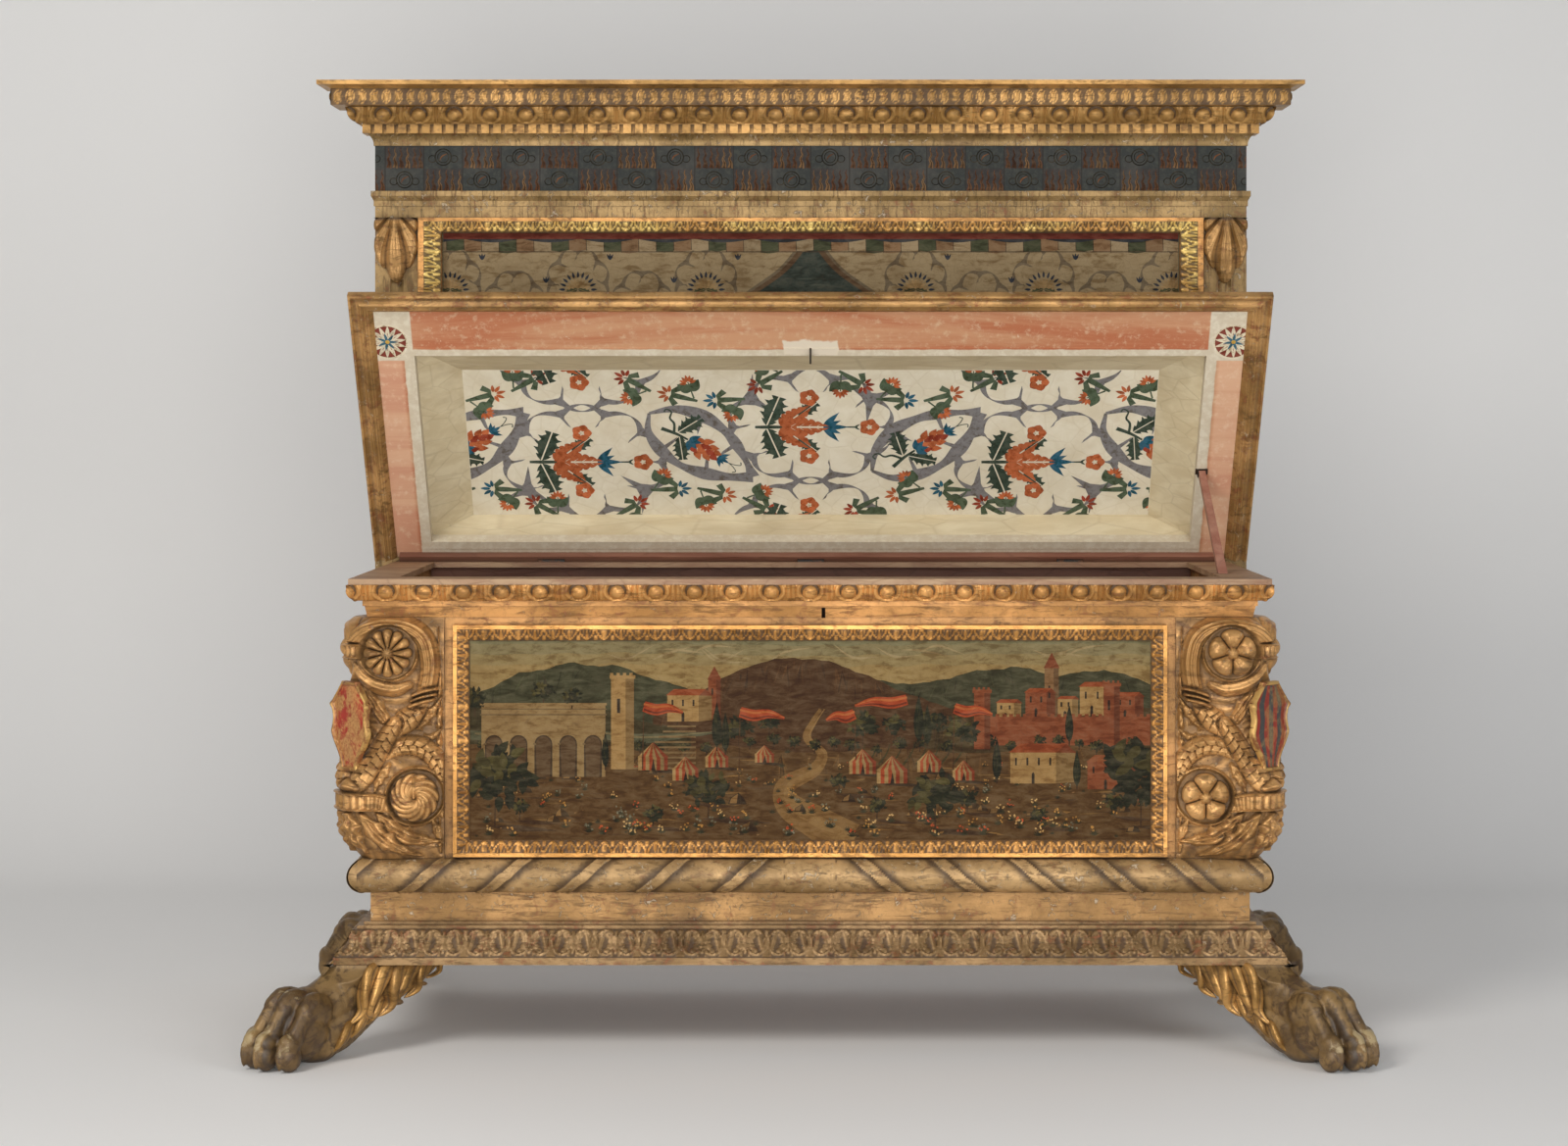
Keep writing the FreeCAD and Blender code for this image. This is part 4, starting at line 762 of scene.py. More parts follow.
def base_leaf_relief(s, t):
    """Pairs of curled leaves that spring from a stem, with a round-headed rib between the pairs."""
    pitch, height = 90.0, 64.0
    side = abs(from_unit(s, pitch))
    stem_half = 4.5 + 7.5 * (1 - smooth_step(t, 0, 0.55 * height))
    stem_half += 2.0 * smooth_step(t, 0.75 * height, height)
    stem = 4.2 * ridge(side, stem_half) - 1.6 * ridge(side, 1.6)
    ratio = math.hypot((side - 23.0) / 21.0, (t - 0.53 * height) / (0.47 * height))
    hoop = 4.6 * ridge(ratio - 0.93, 0.13)
    lobes = 0.0
    for across, up, size in ((31, 0.80, 8.5), (35.5, 0.60, 8.0), (33, 0.40, 7.5), (26, 0.24, 6.5)):
        near = math.hypot(side - across, t - up * height) / size
        lobes = max(lobes, 4.6 * dome(near) * (0.72 + 0.28 * math.cos(9 * near)))
    blade = 3.2 * ridge((side - 13.0) - 0.20 * (t - 0.5 * height), 6.5) * smooth_step(t, 6, 18)
    vein = 1.5 * ridge((side - 19.0) - 0.28 * (t - 0.5 * height), 1.8)
    inner = max(lobes, blade - vein) if ratio < 1 else 0.0
    rib = 5.0 * ridge(pitch / 2 - side, 4.2) * smooth_step(t, 6, 14) * (1 - smooth_step(t, 56, 62))
    cheek = 2.4 * ridge(pitch / 2 - side - 8.0, 3.4) * smooth_step(0.80 * height - t, 0, 10)
    fade = smooth_step(t, 0.0, 2.5) * smooth_step(height - t, 0.0, 3.0)
    return (1.0 + max(stem, hoop, inner, rib, cheek)) * fade


def ribbon_relief(s, t):
    """A ribbon wound round the torus from a scalloped clasp in the middle."""
    side = abs(s)
    arc = 110.0
    lean = 100.0 * (1 - smooth_step(t, -10, arc + 10))
    pitch, first = 165.0, 96.0
    off = from_unit(side - first - lean, pitch)
    band = 0.0
    if side > 58:
        edges = 2.6 * (ridge(off - 11.5, 4.2) + ridge(off + 11.5, 4.2))
        band = edges + 1.3 * ridge(off, 4.0)
        band += 1.0 * smooth_step(15.5 - abs(off), 0, 3)
        between = abs(off) - 16
        if between > 0:
            band = 1.6 * math.sin(min(math.pi, math.pi * between / (pitch / 2 - 16) / 2))
    edge = 57.0 - 3.5 * abs(math.sin(3 * math.pi * t / arc))
    cuff = 0.0
    if side < edge + 4:
        cuff = 3.0 * smooth_step(edge - side, -1.0, 2.0) - 1.2 * ridge(side - 0.5 * edge - 8, 12) * 0.6
        collar = 3.6 * (ridge(side - 7.0, 3.4) + ridge(side, 3.0))
        cuff = max(cuff, collar) if side > 11 or collar > 0 else collar
        cuff = max(cuff - 1.6 * ridge(side - 12.5, 2.2), 0.0)
    fade = smooth_step(t, 0.0, 9.0) * smooth_step(arc - t, 0.0, 9.0)
    return max(band, cuff) * fade


def oval_relief(s, t):
    """Small upright ovals, each in a shallow ring."""
    side = abs(from_unit(s, 28.0))
    ratio = math.hypot(side / 5.6, (t - 19.0) / 10.6)
    ring = math.hypot(side / 9.0, (t - 19.0) / 14.0)
    return 0.2 + max(3.2 * dome(ratio), 0.7 * ridge(ring - 1.0, 0.14))


def lambs_tongue(pitch, height, proud):
    """Pointed leaves side by side with their tips at the inner edge and buds between the tips."""
    def relief(s, t):
        side = abs(from_unit(s, pitch))
        rise = t / height
        half = 0.50 * pitch * (1 - 0.96 * rise ** 2.0)
        inside = half - side
        if inside > 0:
            border = ridge(inside - 0.07 * pitch, 0.085 * pitch)
            rib = 0.95 * ridge(side, 0.085 * pitch) * smooth_step(rise, 0.02, 0.16)
            lobe = 0.55 * ridge(side - 0.20 * pitch * (1 - 0.8 * rise), 0.07 * pitch) * (1 - rise)
            lift = max(0.92 * border, rib, lobe)
        else:
            lift = 0.75 * ridge(pitch / 2 - side, 0.15 * pitch) * smooth_step(rise, 0.42, 0.66)
        return proud * lift * (0.45 + 0.55 * smooth_step(rise, 0.0, 0.10)) * smooth_step(1 - rise, 0.0, 0.05)
    return relief


def chest_mouldings():
    leaf_foot, leaf_middle, leaf_head = (0.989, 0.205), (0.967, 0.2315), (0.953, 0.258)
    carved_moulding("base_leaves", arc_contour(leaf_foot, leaf_middle, leaf_head), base_leaf_relief,
                    5.0, 2.7 * MM, 26, gold["leaf"], chest_front, wall_y, 0.971)
    radius = (torus_high.z - torus_low.z) / 2
    middle_z = (torus_high.z + torus_low.z) / 2
    core = torus_high.x - radius
    torus = arc_contour((core, torus_low.z), (torus_high.x, middle_z), (core, torus_high.z))
    carved_moulding("torus_ribbon", torus, ribbon_relief, 1.7, 4.0 * MM, 28, gold["torus"], chest_front,
                    wall_y, 0.965)
    egg = arc_contour((0.946, egg_low.z), (0.95775, (egg_low.z + egg_high.z) / 2), (egg_high.x, egg_high.z))
    eggs = egg_relief(pitch=80.7, egg_half=16.0, rise_middle=20.5, rise_half=15.5, proud=10.5, height=37.0)
    carved_moulding("rim_eggs", egg, eggs, 6.5, 2.6 * MM, 16, gold["egg"], chest_front, wall_y, 0.9677)


def cornice_mouldings():
    egg = arc_contour((1.046, cornice_egg_low.z), (1.0622, cornice_egg_low.z + 0.0144),
                      (cornice_egg_high.x, cornice_egg_high.z))
    eggs = egg_relief(pitch=82.8, egg_half=17.0, rise_middle=24.0, rise_half=17.0, proud=10.0, height=45.0)
    carved_moulding("cornice_egg_carving", egg, eggs, 6.0, 3.0 * MM, 15, gold["cornice"], cornice_front,
                    wall_back_y, 1.076)
    corona_half = crown_high.x - 29 * MM
    corona = line_contour((corona_half, crown_low.z), (corona_half, crown_low.z + 38 * MM))
    carved_moulding("corona_ovals", corona, oval_relief, 1.0, 3.0 * MM, 9, gold["cornice"], cornice_front,
                    wall_back_y, corona_half)


def frame_runs(outer, inner, depth_at, relief, wall):
    """Relief on the four mitred runs of a picture frame. wall(x, z, out) places a point."""
    x0, x1, z0, z1 = outer
    ix0, ix1, iz0, iz1 = inner
    side, rise = ix0 - x0, iz0 - z0

    def run(start, end, mitre, edge, other_edge, level, turned):
        """One run; its long way is x when it lies level and z when it stands."""
        def place(u, v):
            s = start + (1 - u if turned else u) * (end - start)
            s = max(start + v * mitre, min(end - v * mitre, s))
            across = edge + v * (other_edge - edge)
            height = relief((s - (start + end) / 2) / MM, v * rise / MM)
            out = depth_at(v) + height * MM + skin
            return wall(*((s, across) if level else (across, s)), out), 1 - min(1.0, height / leaf_crest)

        return add_sheet(int((end - start) / leaf_step), leaf_rows, place)

    return [run(x0, x1, side, z0, iz0, True, False), run(x0, x1, side, z1, iz1, True, True),
            run(z0, z1, rise, x0, ix0, False, True), run(z0, z1, rise, x1, ix1, False, False)]


def frame_depth(proud, inner_proud):
    """How far the plain frame stands out, from its outer edge (0) to the panel (1)."""
    return lambda share: proud + (inner_proud - proud) * share


def inset(low, high, across, up):
    """The edges of a field that lies inside two (across, up) corners."""
    return low[0] + across, high[0] - across, low[1] + up, high[1] - up


# Height at which a frame's leaves are clean of dirt and painted shade, the size of their facets and their
# rows
leaf_crest, leaf_step, leaf_rows = 4.6, 3.4 * MM, 10
fillet_share = 0.25
frame_width = 33 * MM
back_frame_side = 53 * MM


def panel_frames():
    """Leaf carving on the frames of the front panel, the end panels and the backboard."""
    fillet = frame_width * fillet_share
    depth = frame_depth(22 * MM, 9 * MM)
    tongue = lambs_tongue(36.0, (frame_width - fillet) / MM, 5.0)

    def on_front(x, z, out):
        return Vector((x, board_low.y - out, z))

    join_pieces(frame_runs(inset(panel_frame_low.xz, panel_frame_high.xz, fillet, fillet),
                           inset(panel_low.xz, panel_high.xz, 0, 0), depth, tongue, on_front))
    own_piece("front_frame_leaves", "chest", gold["frame"])

    end_low, end_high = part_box("end_panels")
    end_frame_low, end_frame_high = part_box("end_panel_frames")
    outer = inset(end_frame_low.yz, end_frame_high.yz, fillet, fillet)
    inner = inset(end_low.yz, end_high.yz, 0, 0)

    def on_right(y, z, out):
        return Vector((board_high.x + out, y, z))

    def on_left(y, z, out):
        return Vector((-board_high.x - out, end_low.y + end_high.y - y, z))

    join_pieces(frame_runs(outer, inner, depth, tongue, on_right)
                + frame_runs(outer, inner, depth, tongue, on_left))
    own_piece("end_frame_leaves", "chest", gold["frame"])

    outer = inset(back_frame_low.xz, back_frame_high.xz, back_frame_side * fillet_share, fillet)
    inner = inset(back_frame_low.xz, back_frame_high.xz, back_frame_side, frame_width)
    tongue = lambs_tongue(36.0, (frame_width - fillet) / MM, 5.5)

    def on_backboard(x, z, out):
        return Vector((x, wall_y - out, z))

    join_pieces(frame_runs(outer, inner, frame_depth(14 * MM, 5 * MM), tongue, on_backboard))
    own_piece("backboard_frame_leaves", "chest", gold["bright"])


chest_mouldings()
cornice_mouldings()
panel_frames()


# Corner consoles: a rolled tube, leaves and a fluted collar carved on an S-shaped block

def points_of(piece):
    flat = np.zeros(len(piece.data.vertices) * 3)
    piece.data.vertices.foreach_get("co", flat)
    return flat.reshape(-1, 3)


def move_points(piece, x, y, z):
    piece.data.vertices.foreach_set("co", np.stack([x, y, z], 1).ravel())


def add_array_sheet(columns, rows, surface, flipped=False):
    """A grid moved all at once: surface(u, v) takes arrays and gives x, y, z and depth arrays."""
    bpy.ops.object.select_all(action="DESELECT")
    bpy.ops.mesh.primitive_grid_add(x_subdivisions=columns, y_subdivisions=rows, size=1)
    sheet = bpy.context.object
    u, v, _ = points_of(sheet).T
    x, y, z, depth = surface(u + 0.5, v + 0.5)
    move_points(sheet, x, y, z)
    add_field(sheet, "depth", depth)
    if flipped:
        edit_active(bpy.ops.mesh.flip_normals)
    return sheet


def add_field(piece, name, values):
    """Keep a value from 0 to 1 at every point of a piece, for its finish to read."""
    field = piece.data.attributes.new(name, "FLOAT", "POINT")
    field.data.foreach_set("value", np.clip(values, 0, 1))


def smooth(value, low, high):
    share = np.clip((value - low) / (high - low), 0, 1)
    return share * share * (3 - 2 * share)


def crest(distance, width):
    return np.cos(np.clip(np.abs(distance) / width, 0, 1) * math.pi / 2) ** 1.3


def round_top(share):
    return np.sqrt(np.clip(1 - share * share, 0, 1))


def smooth_path(points, steps=14):
    """A soft line through the given points, with everything that each point carries."""
    rows = [np.array(point, float) for point in points]
    rows = [2 * rows[0] - rows[1]] + rows + [2 * rows[-1] - rows[-2]]
    line = []
    for index in range(1, len(rows) - 2):
        a, b, c, d = rows[index - 1:index + 3]
        for step in range(steps):
            t = step / steps
            line.append(0.5 * (2 * b + (c - a) * t + (2 * a - 5 * b + 4 * c - d) * t * t
                               + (3 * b - a - 3 * c + d) * t ** 3))
    line.append(rows[-2])
    return np.array(line)


class Stroke:
    """A carved stroke: how far along it and how far from its middle each point of the surface lies."""

    def __init__(self, a, z, points):
        line = smooth_path(points)
        self.away = np.full(a.shape, 1e9)
        self.share = np.zeros(a.shape)
        self.side = np.zeros(a.shape)
        self.half = np.ones(a.shape)
        self.high = np.zeros(a.shape)
        steps = np.hypot(*(line[1:, :2] - line[:-1, :2]).T)
        self.length = float(steps.sum())
        run = 0.0
        for first, second, step in zip(line[:-1], line[1:], steps):
            along = (second[:2] - first[:2]) / max(step, 1e-6)
            du, dz = a - first[0], z - first[1]
            t = np.clip((du * along[0] + dz * along[1]) / max(step, 1e-6), 0, 1)
            gap = np.hypot(du - along[0] * t * step, dz - along[1] * t * step)
            near = gap < self.away
            self.away = np.where(near, gap, self.away)
            self.share = np.where(near, (run + t * step) / self.length, self.share)
            self.side = np.where(near, np.sign(du * along[1] - dz * along[0]), self.side)
            self.half = np.where(near, first[2] + (second[2] - first[2]) * t, self.half)
            self.high = np.where(near, first[3] + (second[3] - first[3]) * t, self.high)
            run += step

    def tube(self, flutes=0):
        across = self.away / self.half
        self.reach = self.half
        lift = self.high * round_top(across)
        if flutes:
            lift -= 0.09 * self.high * (1 - np.cos(2 * math.pi * flutes * across)) * (across < 0.96)
        return lift

    def leaf(self, teeth=7, cut=0.34):
        """A lobed leaf with a midrib and veins that run out to its teeth."""
        along = self.share * teeth
        reach = 1 - cut * np.abs(np.sin(math.pi * along)) ** 0.7
        taper = np.clip(1.25 * np.clip(1 - self.share, 0, 1) ** 0.5, 0, 1)
        taper = taper * np.clip(0.45 + 3 * self.share, 0, 1)
        self.reach = np.maximum(self.half * reach * taper, 0.5)
        across = self.away / self.reach
        blade = self.high * round_top(across) * (0.70 + 0.30 * crest(across - 0.62, 0.45))
        veins = 0.20 * self.high * np.cos(2 * math.pi * (along - 0.55 * across))
        midrib = 0.20 * self.high * crest(self.away, 3.2) - 0.16 * self.high * crest(self.away - 4.6, 2.4)
        return np.where(across < 1, blade + (veins + midrib) * smooth(1 - across, 0, 0.25), 0)

    def garland(self, rows):
        """Small leaves laid over each other in pairs, their tips along the stroke."""
        self.reach = self.half
        across = self.away / self.half
        phase = self.share * rows + 0.25 * self.side - 0.55 * across
        tip = phase - np.floor(phase)
        rib = 0.14 * crest(across - 0.48, 0.16) * (1 - tip)
        return self.high * np.maximum(round_top(across), 0) ** 0.8 * (0.56 + 0.44 * tip ** 0.7 + rib)

    def collar(self, flutes):
        """A band across the console with upright flutes between two fillets."""
        self.reach = self.half
        across = self.away / self.half
        lips = crest(across - 0.88, 0.16)
        wells = 0.5 + 0.5 * np.cos(2 * math.pi * flutes * self.share)
        lift = self.high * (0.74 + 0.26 * lips - 0.30 * wells * (across < 0.74))
        return np.where(across < 1, lift, 0)


wing_edge = 768.0
corner_x, corner_y = 905.0, -301.5
corner_inset = 21.0
console_low, console_high = 403.0, 908.5
console_reach = 64.0
console_height_shares = [0.0, 0.07, 0.22, 0.36, 0.50, 0.62, 0.74, 0.86, 0.96, 1.0]
console_reach_shares = [0.30, 0.72, 1.0, 0.90, 0.40, 0.28, 0.52, 0.82, 0.62, 0.34]
upper_rosette = (881.0, 837.0)
lower_rosette = (824.0, 537.0)
upper_seat_y, lower_seat_y = -378.0, -384.0


def console_bulge(z):
    line = smooth_path(list(zip(console_height_shares, console_reach_shares)), 10)
    share = (z - console_low) / (console_high - console_low)
    return np.interp(share, line[:, 0], line[:, 1]) * console_reach


def laid(lift, stroke, part, over=0.8):
    """Cut the older carving back under a stroke and round it, then add the stroke."""
    under = smooth(6 - (stroke.away - stroke.reach), 0, 6)
    return np.maximum(lift * (1 - over * under), part * 1.16)


def flower_relief(a, z, centre):
    """A five-petalled flower carved in the wood of an end wing."""
    radius = np.hypot(a - centre[0], z - centre[1])
    wave = np.abs(np.cos(2.5 * np.arctan2(a - centre[0], z - centre[1]))) ** 0.42
    share = radius / (49 * (0.80 + 0.20 * wave))
    petals = 3 + 12 * np.sin(math.pi * np.clip((share - 0.22) / 0.78, 0, 1)) ** 0.7 * wave
    boss = 6 + 11 * round_top(radius / 13)
    return np.where(radius < 13, boss, np.where(share < 1, petals, 0))


def console_carving(a, z, on_end):
    """Height of the carving, and the depth of its hollows, at side a (front view) and height z."""
    bulge = console_bulge(z)
    inner = 0.26 + 0.74 * smooth(a, wing_edge - 4, wing_edge + 128)
    base = bulge * inner - 3.0
    sweep = np.arctan2(z - 700, 1012 - a)
    gouges = np.cos(40 * sweep + 0.05 * (1012 - a) + 1.5 * np.sin(a / 19.0) + 1.2 * np.sin(z / 23.0))
    lift = 1.4 + 1.0 * gouges
    ring = np.hypot(a - lower_rosette[0], z - lower_rosette[1])
    upper_ring = np.hypot(a - upper_rosette[0], z - upper_rosette[1])
    for points, teeth, cut in (
            ([(776, 470, 6, 5), (779, 600, 9, 8), (778, 720, 10, 9), (778, 800, 9, 8),
              (780, 890, 6, 5)], 12, 0.40),
            ([(790, 486, 10, 8), (778, 450, 13, 9), (775, 414, 9, 6)], 3, 0.40),
            ([(846, 652, 12, 8), (818, 650, 19, 12), (790, 660, 15, 10), (772, 678, 6, 4)], 4, 0.42),
            ([(840, 672, 14, 9), (812, 694, 21, 13), (790, 716, 17, 11), (773, 744, 7, 5)], 5, 0.42),
            ([(948, 772, 10, 8), (926, 742, 20, 12), (902, 712, 24, 13), (884, 684, 18, 11),
              (880, 664, 8, 7)], 4, 0.25),
            ([(878, 604, 12, 8), (898, 572, 16, 10), (906, 548, 8, 7)], 3, 0.38),
            ([(900, 506, 14, 10), (874, 474, 25, 17), (836, 450, 27, 17), (796, 442, 19, 11),
              (770, 440, 7, 5)], 4, 0.30),
            ([(928, 502, 16, 10), (898, 458, 27, 16), (856, 426, 23, 13), (812, 408, 10, 6)], 4, 0.32),
            ([(985, 500, 16, 10), (992, 455, 27, 16), (982, 412, 15, 9)], 3, 0.32),
            ([(956, 506, 18, 12), (952, 462, 29, 18), (930, 418, 18, 11)], 3, 0.32)):
        blade = Stroke(a, z, points)
        lift = laid(lift, blade, blade.leaf(teeth, cut))
    for points, pairs in (
            ([(900, 620, 13, 10), (862, 640, 19, 14), (820, 640, 21, 16), (786, 614, 20, 16),
              (770, 572, 16, 14), (766, 530, 12, 10), (770, 496, 7, 7)], 13),
            ([(814, 734, 14, 15), (826, 714, 20, 18), (848, 692, 25, 18), (874, 674, 19, 12)], 5),
            ([(868, 688, 15, 12), (892, 650, 21, 18), (914, 612, 24, 19), (934, 570, 21, 16),
              (946, 544, 12, 10)], 9)):
        laurel = Stroke(a, z, points)
        lift = laid(lift, laurel, laurel.garland(pairs))
    lift = np.maximum(lift, 12.0 * crest(ring - 58.5, 6.5))
    lift = np.maximum(lift, 9.0 * crest(upper_ring - 58, 7.0))
    roll = Stroke(a, z, [(966, 834, 17, 15), (954, 866, 18, 17), (930, 888, 18, 17), (885, 898, 18, 19),
                         (838, 890, 19, 20), (808, 866, 20, 21), (797, 828, 20, 21), (798, 788, 19, 20),
                         (806, 756, 18, 18), (816, 736, 15, 14)])
    lift = laid(lift, roll, roll.tube(2))
    curl = Stroke(a, z, [(962, 806, 12, 9), (942, 782, 14, 12), (905, 764, 15, 14), (868, 758, 14, 13),
                         (840, 768, 9, 9)])
    lift = laid(lift, curl, curl.tube(1))
    for across, down in ((0, 0), (3, 12), (7, 23)):
        ringed = Stroke(a, z, [(784 + across, 760 - down, 4.5, 20), (808 + across, 755 - down, 5.0, 24),
                               (832 + across, 746 - down, 4.5, 18)])
        lift = laid(lift, ringed, ringed.tube(), 0.4)
    collar = Stroke(a, z, [(868, 520, 15, 12), (900, 527, 18, 14), (945, 527, 19, 15), (990, 524, 19, 15)])
    lift = laid(lift, collar, collar.collar(9))
    knob = Stroke(a, z, [(985, 566, 14, 24), (958, 562, 14, 21), (940, 556, 8, 12)])
    lift = laid(lift, knob, knob.tube(1))
    clasp = Stroke(a, z, [(918, 836, 12, 14), (945, 840, 15, 17), (985, 840, 15, 17)])
    lift = laid(lift, clasp, clasp.collar(5))
    # Painted shade: the round hollows behind the front rosettes are marked deep, so they are painted dark
    shade_behind_rosettes = np.maximum(crest(ring, 60) ** 0.3 * (ring < 56), crest(upper_ring, 58) ** 0.3 * (upper_ring < 54))
    shade_behind_rosettes = shade_behind_rosettes * (1 - on_end)
    flower = np.maximum(flower_relief(a, z, lower_rosette), flower_relief(a, z, upper_rosette))
    by_lower, by_upper = smooth(60 - ring, 0, 8), smooth(60 - upper_ring, 0, 8)
    lift = np.maximum(lift * (1 - np.maximum(by_lower, by_upper) * on_end), flower * on_end)
    near_lower, near_upper = by_lower * (1 - on_end), by_upper * (1 - on_end)
    lift = lift * (1 - near_lower) * (1 - near_upper)
    lower_floor = console_bulge(np.full(a.shape, lower_rosette[1])) - 22.0
    upper_floor = console_bulge(np.full(a.shape, upper_rosette[1])) - 18.0
    total = base + lift
    total = total * (1 - near_lower) + np.maximum(np.minimum(total, lower_floor), 8) * near_lower
    total = total * (1 - near_upper) + np.minimum(base, upper_floor) * near_upper
    depth = 1 - np.clip(lift / 8.5, 0, 1)
    depth = np.maximum(depth * 0.74, shade_behind_rosettes * 0.9)
    return total, depth


def front_console_sheet(side):
    """One front corner: a wing on the front, the rounded corner and a wing on the end."""
    wing = corner_x - wing_edge
    half_turn = 52.0
    length = 2 * (wing + half_turn)

    def surface(u, v):
        s = np.clip((u * 1.02 - 0.01), 0, 1) * length
        z = console_low + np.clip(v * 1.02 - 0.01, 0, 1) * (console_high - console_low)
        mirrored = np.minimum(s, length - s)
        a = wing_edge + mirrored
        out, depth = console_carving(a, z, (s > length / 2) * 1.0)
        out = np.maximum(out, 2.0)
        tucked = (u < 0.005) | (u > 0.995) | (v < 0.005) | (v > 0.995)
        out = np.where(tucked, -2.0, out)
        turn = np.clip((s - wing) / (2 * half_turn), 0, 1) * math.pi / 2
        on_front = s < wing
        on_end = s > length - wing
        radius = corner_inset + out
        x = np.where(on_front, wing_edge + s, corner_x + radius * np.sin(turn))
        y = np.where(on_front, corner_y - radius, corner_y - radius * np.cos(turn))
        x = np.where(on_end, corner_x + radius, x)
        y = np.where(on_end, corner_y + s - (length - wing), y)
        return side * x * MM, y * MM, z * MM, depth

    return add_array_sheet(250, 340, surface, side < 0)


def rear_console_sheet(side):
    """A rear console is an end wing alone: upright leaves over an S-shaped block."""
    low_y, high_y = 228.5, 388.5

    def surface(u, v):
        s = np.clip(u * 1.03 - 0.015, 0, 1) * (high_y - low_y)
        z = console_low + np.clip(v * 1.02 - 0.01, 0, 1) * (console_high - console_low)
        bulge = console_bulge(z)
        middle = 80.0
        lift = 1.4 + 1.0 * np.cos(30 * np.arctan2(s - middle, z - 330))
        for foot, top, half in ((640, 896, 30), (404, 598, 28)):
            for lean in (-1, 1, 0):
                blade = Stroke(s, z, [(middle + lean * 14, foot, half * 0.8, 10),
                                      (middle + lean * 42, (foot + top) / 2 - 10, half, 15),
                                      (middle + lean * 62, top - 20 * abs(lean), half * 0.5, 9)])
                lift = laid(lift, blade, blade.leaf(5, 0.32))
        band = Stroke(s, z, [(-10, 622, 13, 12), (80, 618, 13, 12), (170, 622, 13, 12)])
        lift = laid(lift, band, band.collar(9))
        out = np.maximum(bulge - 3.0 + lift * 0.8, 2.0)
        tucked = (u < 0.01) | (u > 0.99) | (v < 0.005) | (v > 0.995)
        out = np.where(tucked, -2.0, out)
        x = corner_x + corner_inset + out
        return side * x * MM, (low_y + s) * MM, z * MM, 0.78 * (1 - np.clip(lift / 8.5, 0, 1))

    return add_array_sheet(84, 260, surface, side < 0)


def flower_sheet(centre, face_y, side, petals, style):
    """A carved flower facing the front: its petals, the leaf tips between them and its boss."""
    radius = 51.0
    rise = 17.0

    def surface(u, v):
        turn = u * 2 * math.pi
        if style == "fruit":
            swirl = turn + 2.3 * v
            wave = np.abs(np.cos(petals / 2 * swirl)) ** 0.7
            edge = radius * (0.95 + 0.05 * wave)
            height = rise * (0.35 + 0.95 * np.sin(math.pi * np.clip(v, 0, 1) ** 0.8)) - 8.5 * (1 - wave) * v
            stem = crest((turn - math.pi / 2) * v * radius, 9) * (v < 0.86)
            height = np.maximum(height, stem * rise * 1.35)
        else:
            wave = np.abs(np.cos(petals / 2 * (turn - math.pi / 2)))
            full = wave ** 0.42
            edge = radius * (0.80 + 0.20 * full)
            cup = np.sin(math.pi * np.clip((v - 0.22) / 0.78, 0, 1)) ** 0.7
            height = 3 + rise * 0.75 * cup * full + 4.0 * v * full
            fold = crest(wave - 1.0, 0.22) * (v > 0.35)
            height = height - (2.6 if petals > 7 else 1.6) * fold * cup
            boss = np.clip(v / 0.27, 0, 1)
            height = np.where(v < 0.27, rise * 0.45 + 11.0 * round_top(boss), height)
        height = np.where(v > 0.985, -8.0, height)
        depth = 1 - np.clip(height / (rise * 0.8), 0, 1)
        x = centre[0] + v * edge * np.cos(turn) * side
        z = centre[1] + v * edge * np.sin(turn)
        return side * x * MM, (face_y + rise * 0.55 - height) * MM, z * MM, depth

    return add_array_sheet(120, 30, surface)


def make_consoles():
    for sheet, place in ((front_console_sheet, "front"), (rear_console_sheet, "rear")):
        for side, hand in ((1, "right"), (-1, "left")):
            join_pieces([sheet(side)])
            piece = own_piece(f"console_carving_{place}_{hand}", "chest", gold["console"], 70)
            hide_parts(f"console_{place}_{hand}")
    flowers = [flower_sheet(upper_rosette, upper_seat_y, 1, 5, "flower"),
               flower_sheet(lower_rosette, lower_seat_y, 1, 5, "flower"),
               flower_sheet(upper_rosette, upper_seat_y, -1, 12, "flower"),
               flower_sheet(lower_rosette, lower_seat_y, -1, 11, "fruit")]
    for flower in flowers:
        join_pieces([flower])
        edit_active(weld, bpy.ops.mesh.normals_make_consistent)
        if flower.data.polygons[len(flower.data.polygons) // 2].normal.y > 0:
            edit_active(bpy.ops.mesh.flip_normals)
    join_pieces(flowers)
    piece = own_piece("rosette_flowers", "chest", gold["console"], 60)
    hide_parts("rosettes")


make_consoles()


# Shields, paw feet and the leaf brackets of the backboard

def shield_finish(name, field, second, bars, rubbed):
    """A worn painted field inside a gilt rim, darkened with dirt and painted shade where it is marked deep.
    """
    finish = Finish(name)
    broad = finish.noise(9, 5, 0.6, warp=0.5)
    scuffs = finish.noise(26, 6, 0.7, warp=0.8)
    fine = finish.noise(170, 5, 0.7)
    rim, depth, bar = finish.mark("rim"), finish.mark("depth"), finish.mark("bar")
    colour = finish.mix(finish.between(broad, 0.35, 0.65), field, tuple(part * 0.55 for part in field))
    colour = finish.mix(finish.between(bar, 0.45, 0.55) * bars, colour, second)
    worn = finish.between(scuffs * 0.7 + broad * 0.3, 0.44, 0.53)
    gilt = finish.mix(finish.between(fine, 0.42, 0.62), (0.880, 0.580, 0.200), (0.560, 0.320, 0.100))
    colour = finish.mix(worn * rubbed, colour, gilt)
    colour = finish.mix(rim, colour, finish.mix(finish.between(scuffs, 0.44, 0.62), (0.620, 0.380, 0.120),
                                                (0.280, 0.110, 0.040)))
    # Dirt and painted shade: darker where the plate is marked deep
    dirt_and_shade = finish.between(depth + (fine - 0.5) * 0.4, 0.40, 1.0)
    colour = finish.mix(dirt_and_shade * 0.65, colour, DARK_DIRT_AND_SHADE)
    metal = (worn * rubbed * 0.7).math("MAXIMUM", rim * 0.6) * (1 - dirt_and_shade)
    return finish.done(colour, fine * 0.2 + 0.36, metal, fine * 0.4 + scuffs * 0.6, 0.0009)


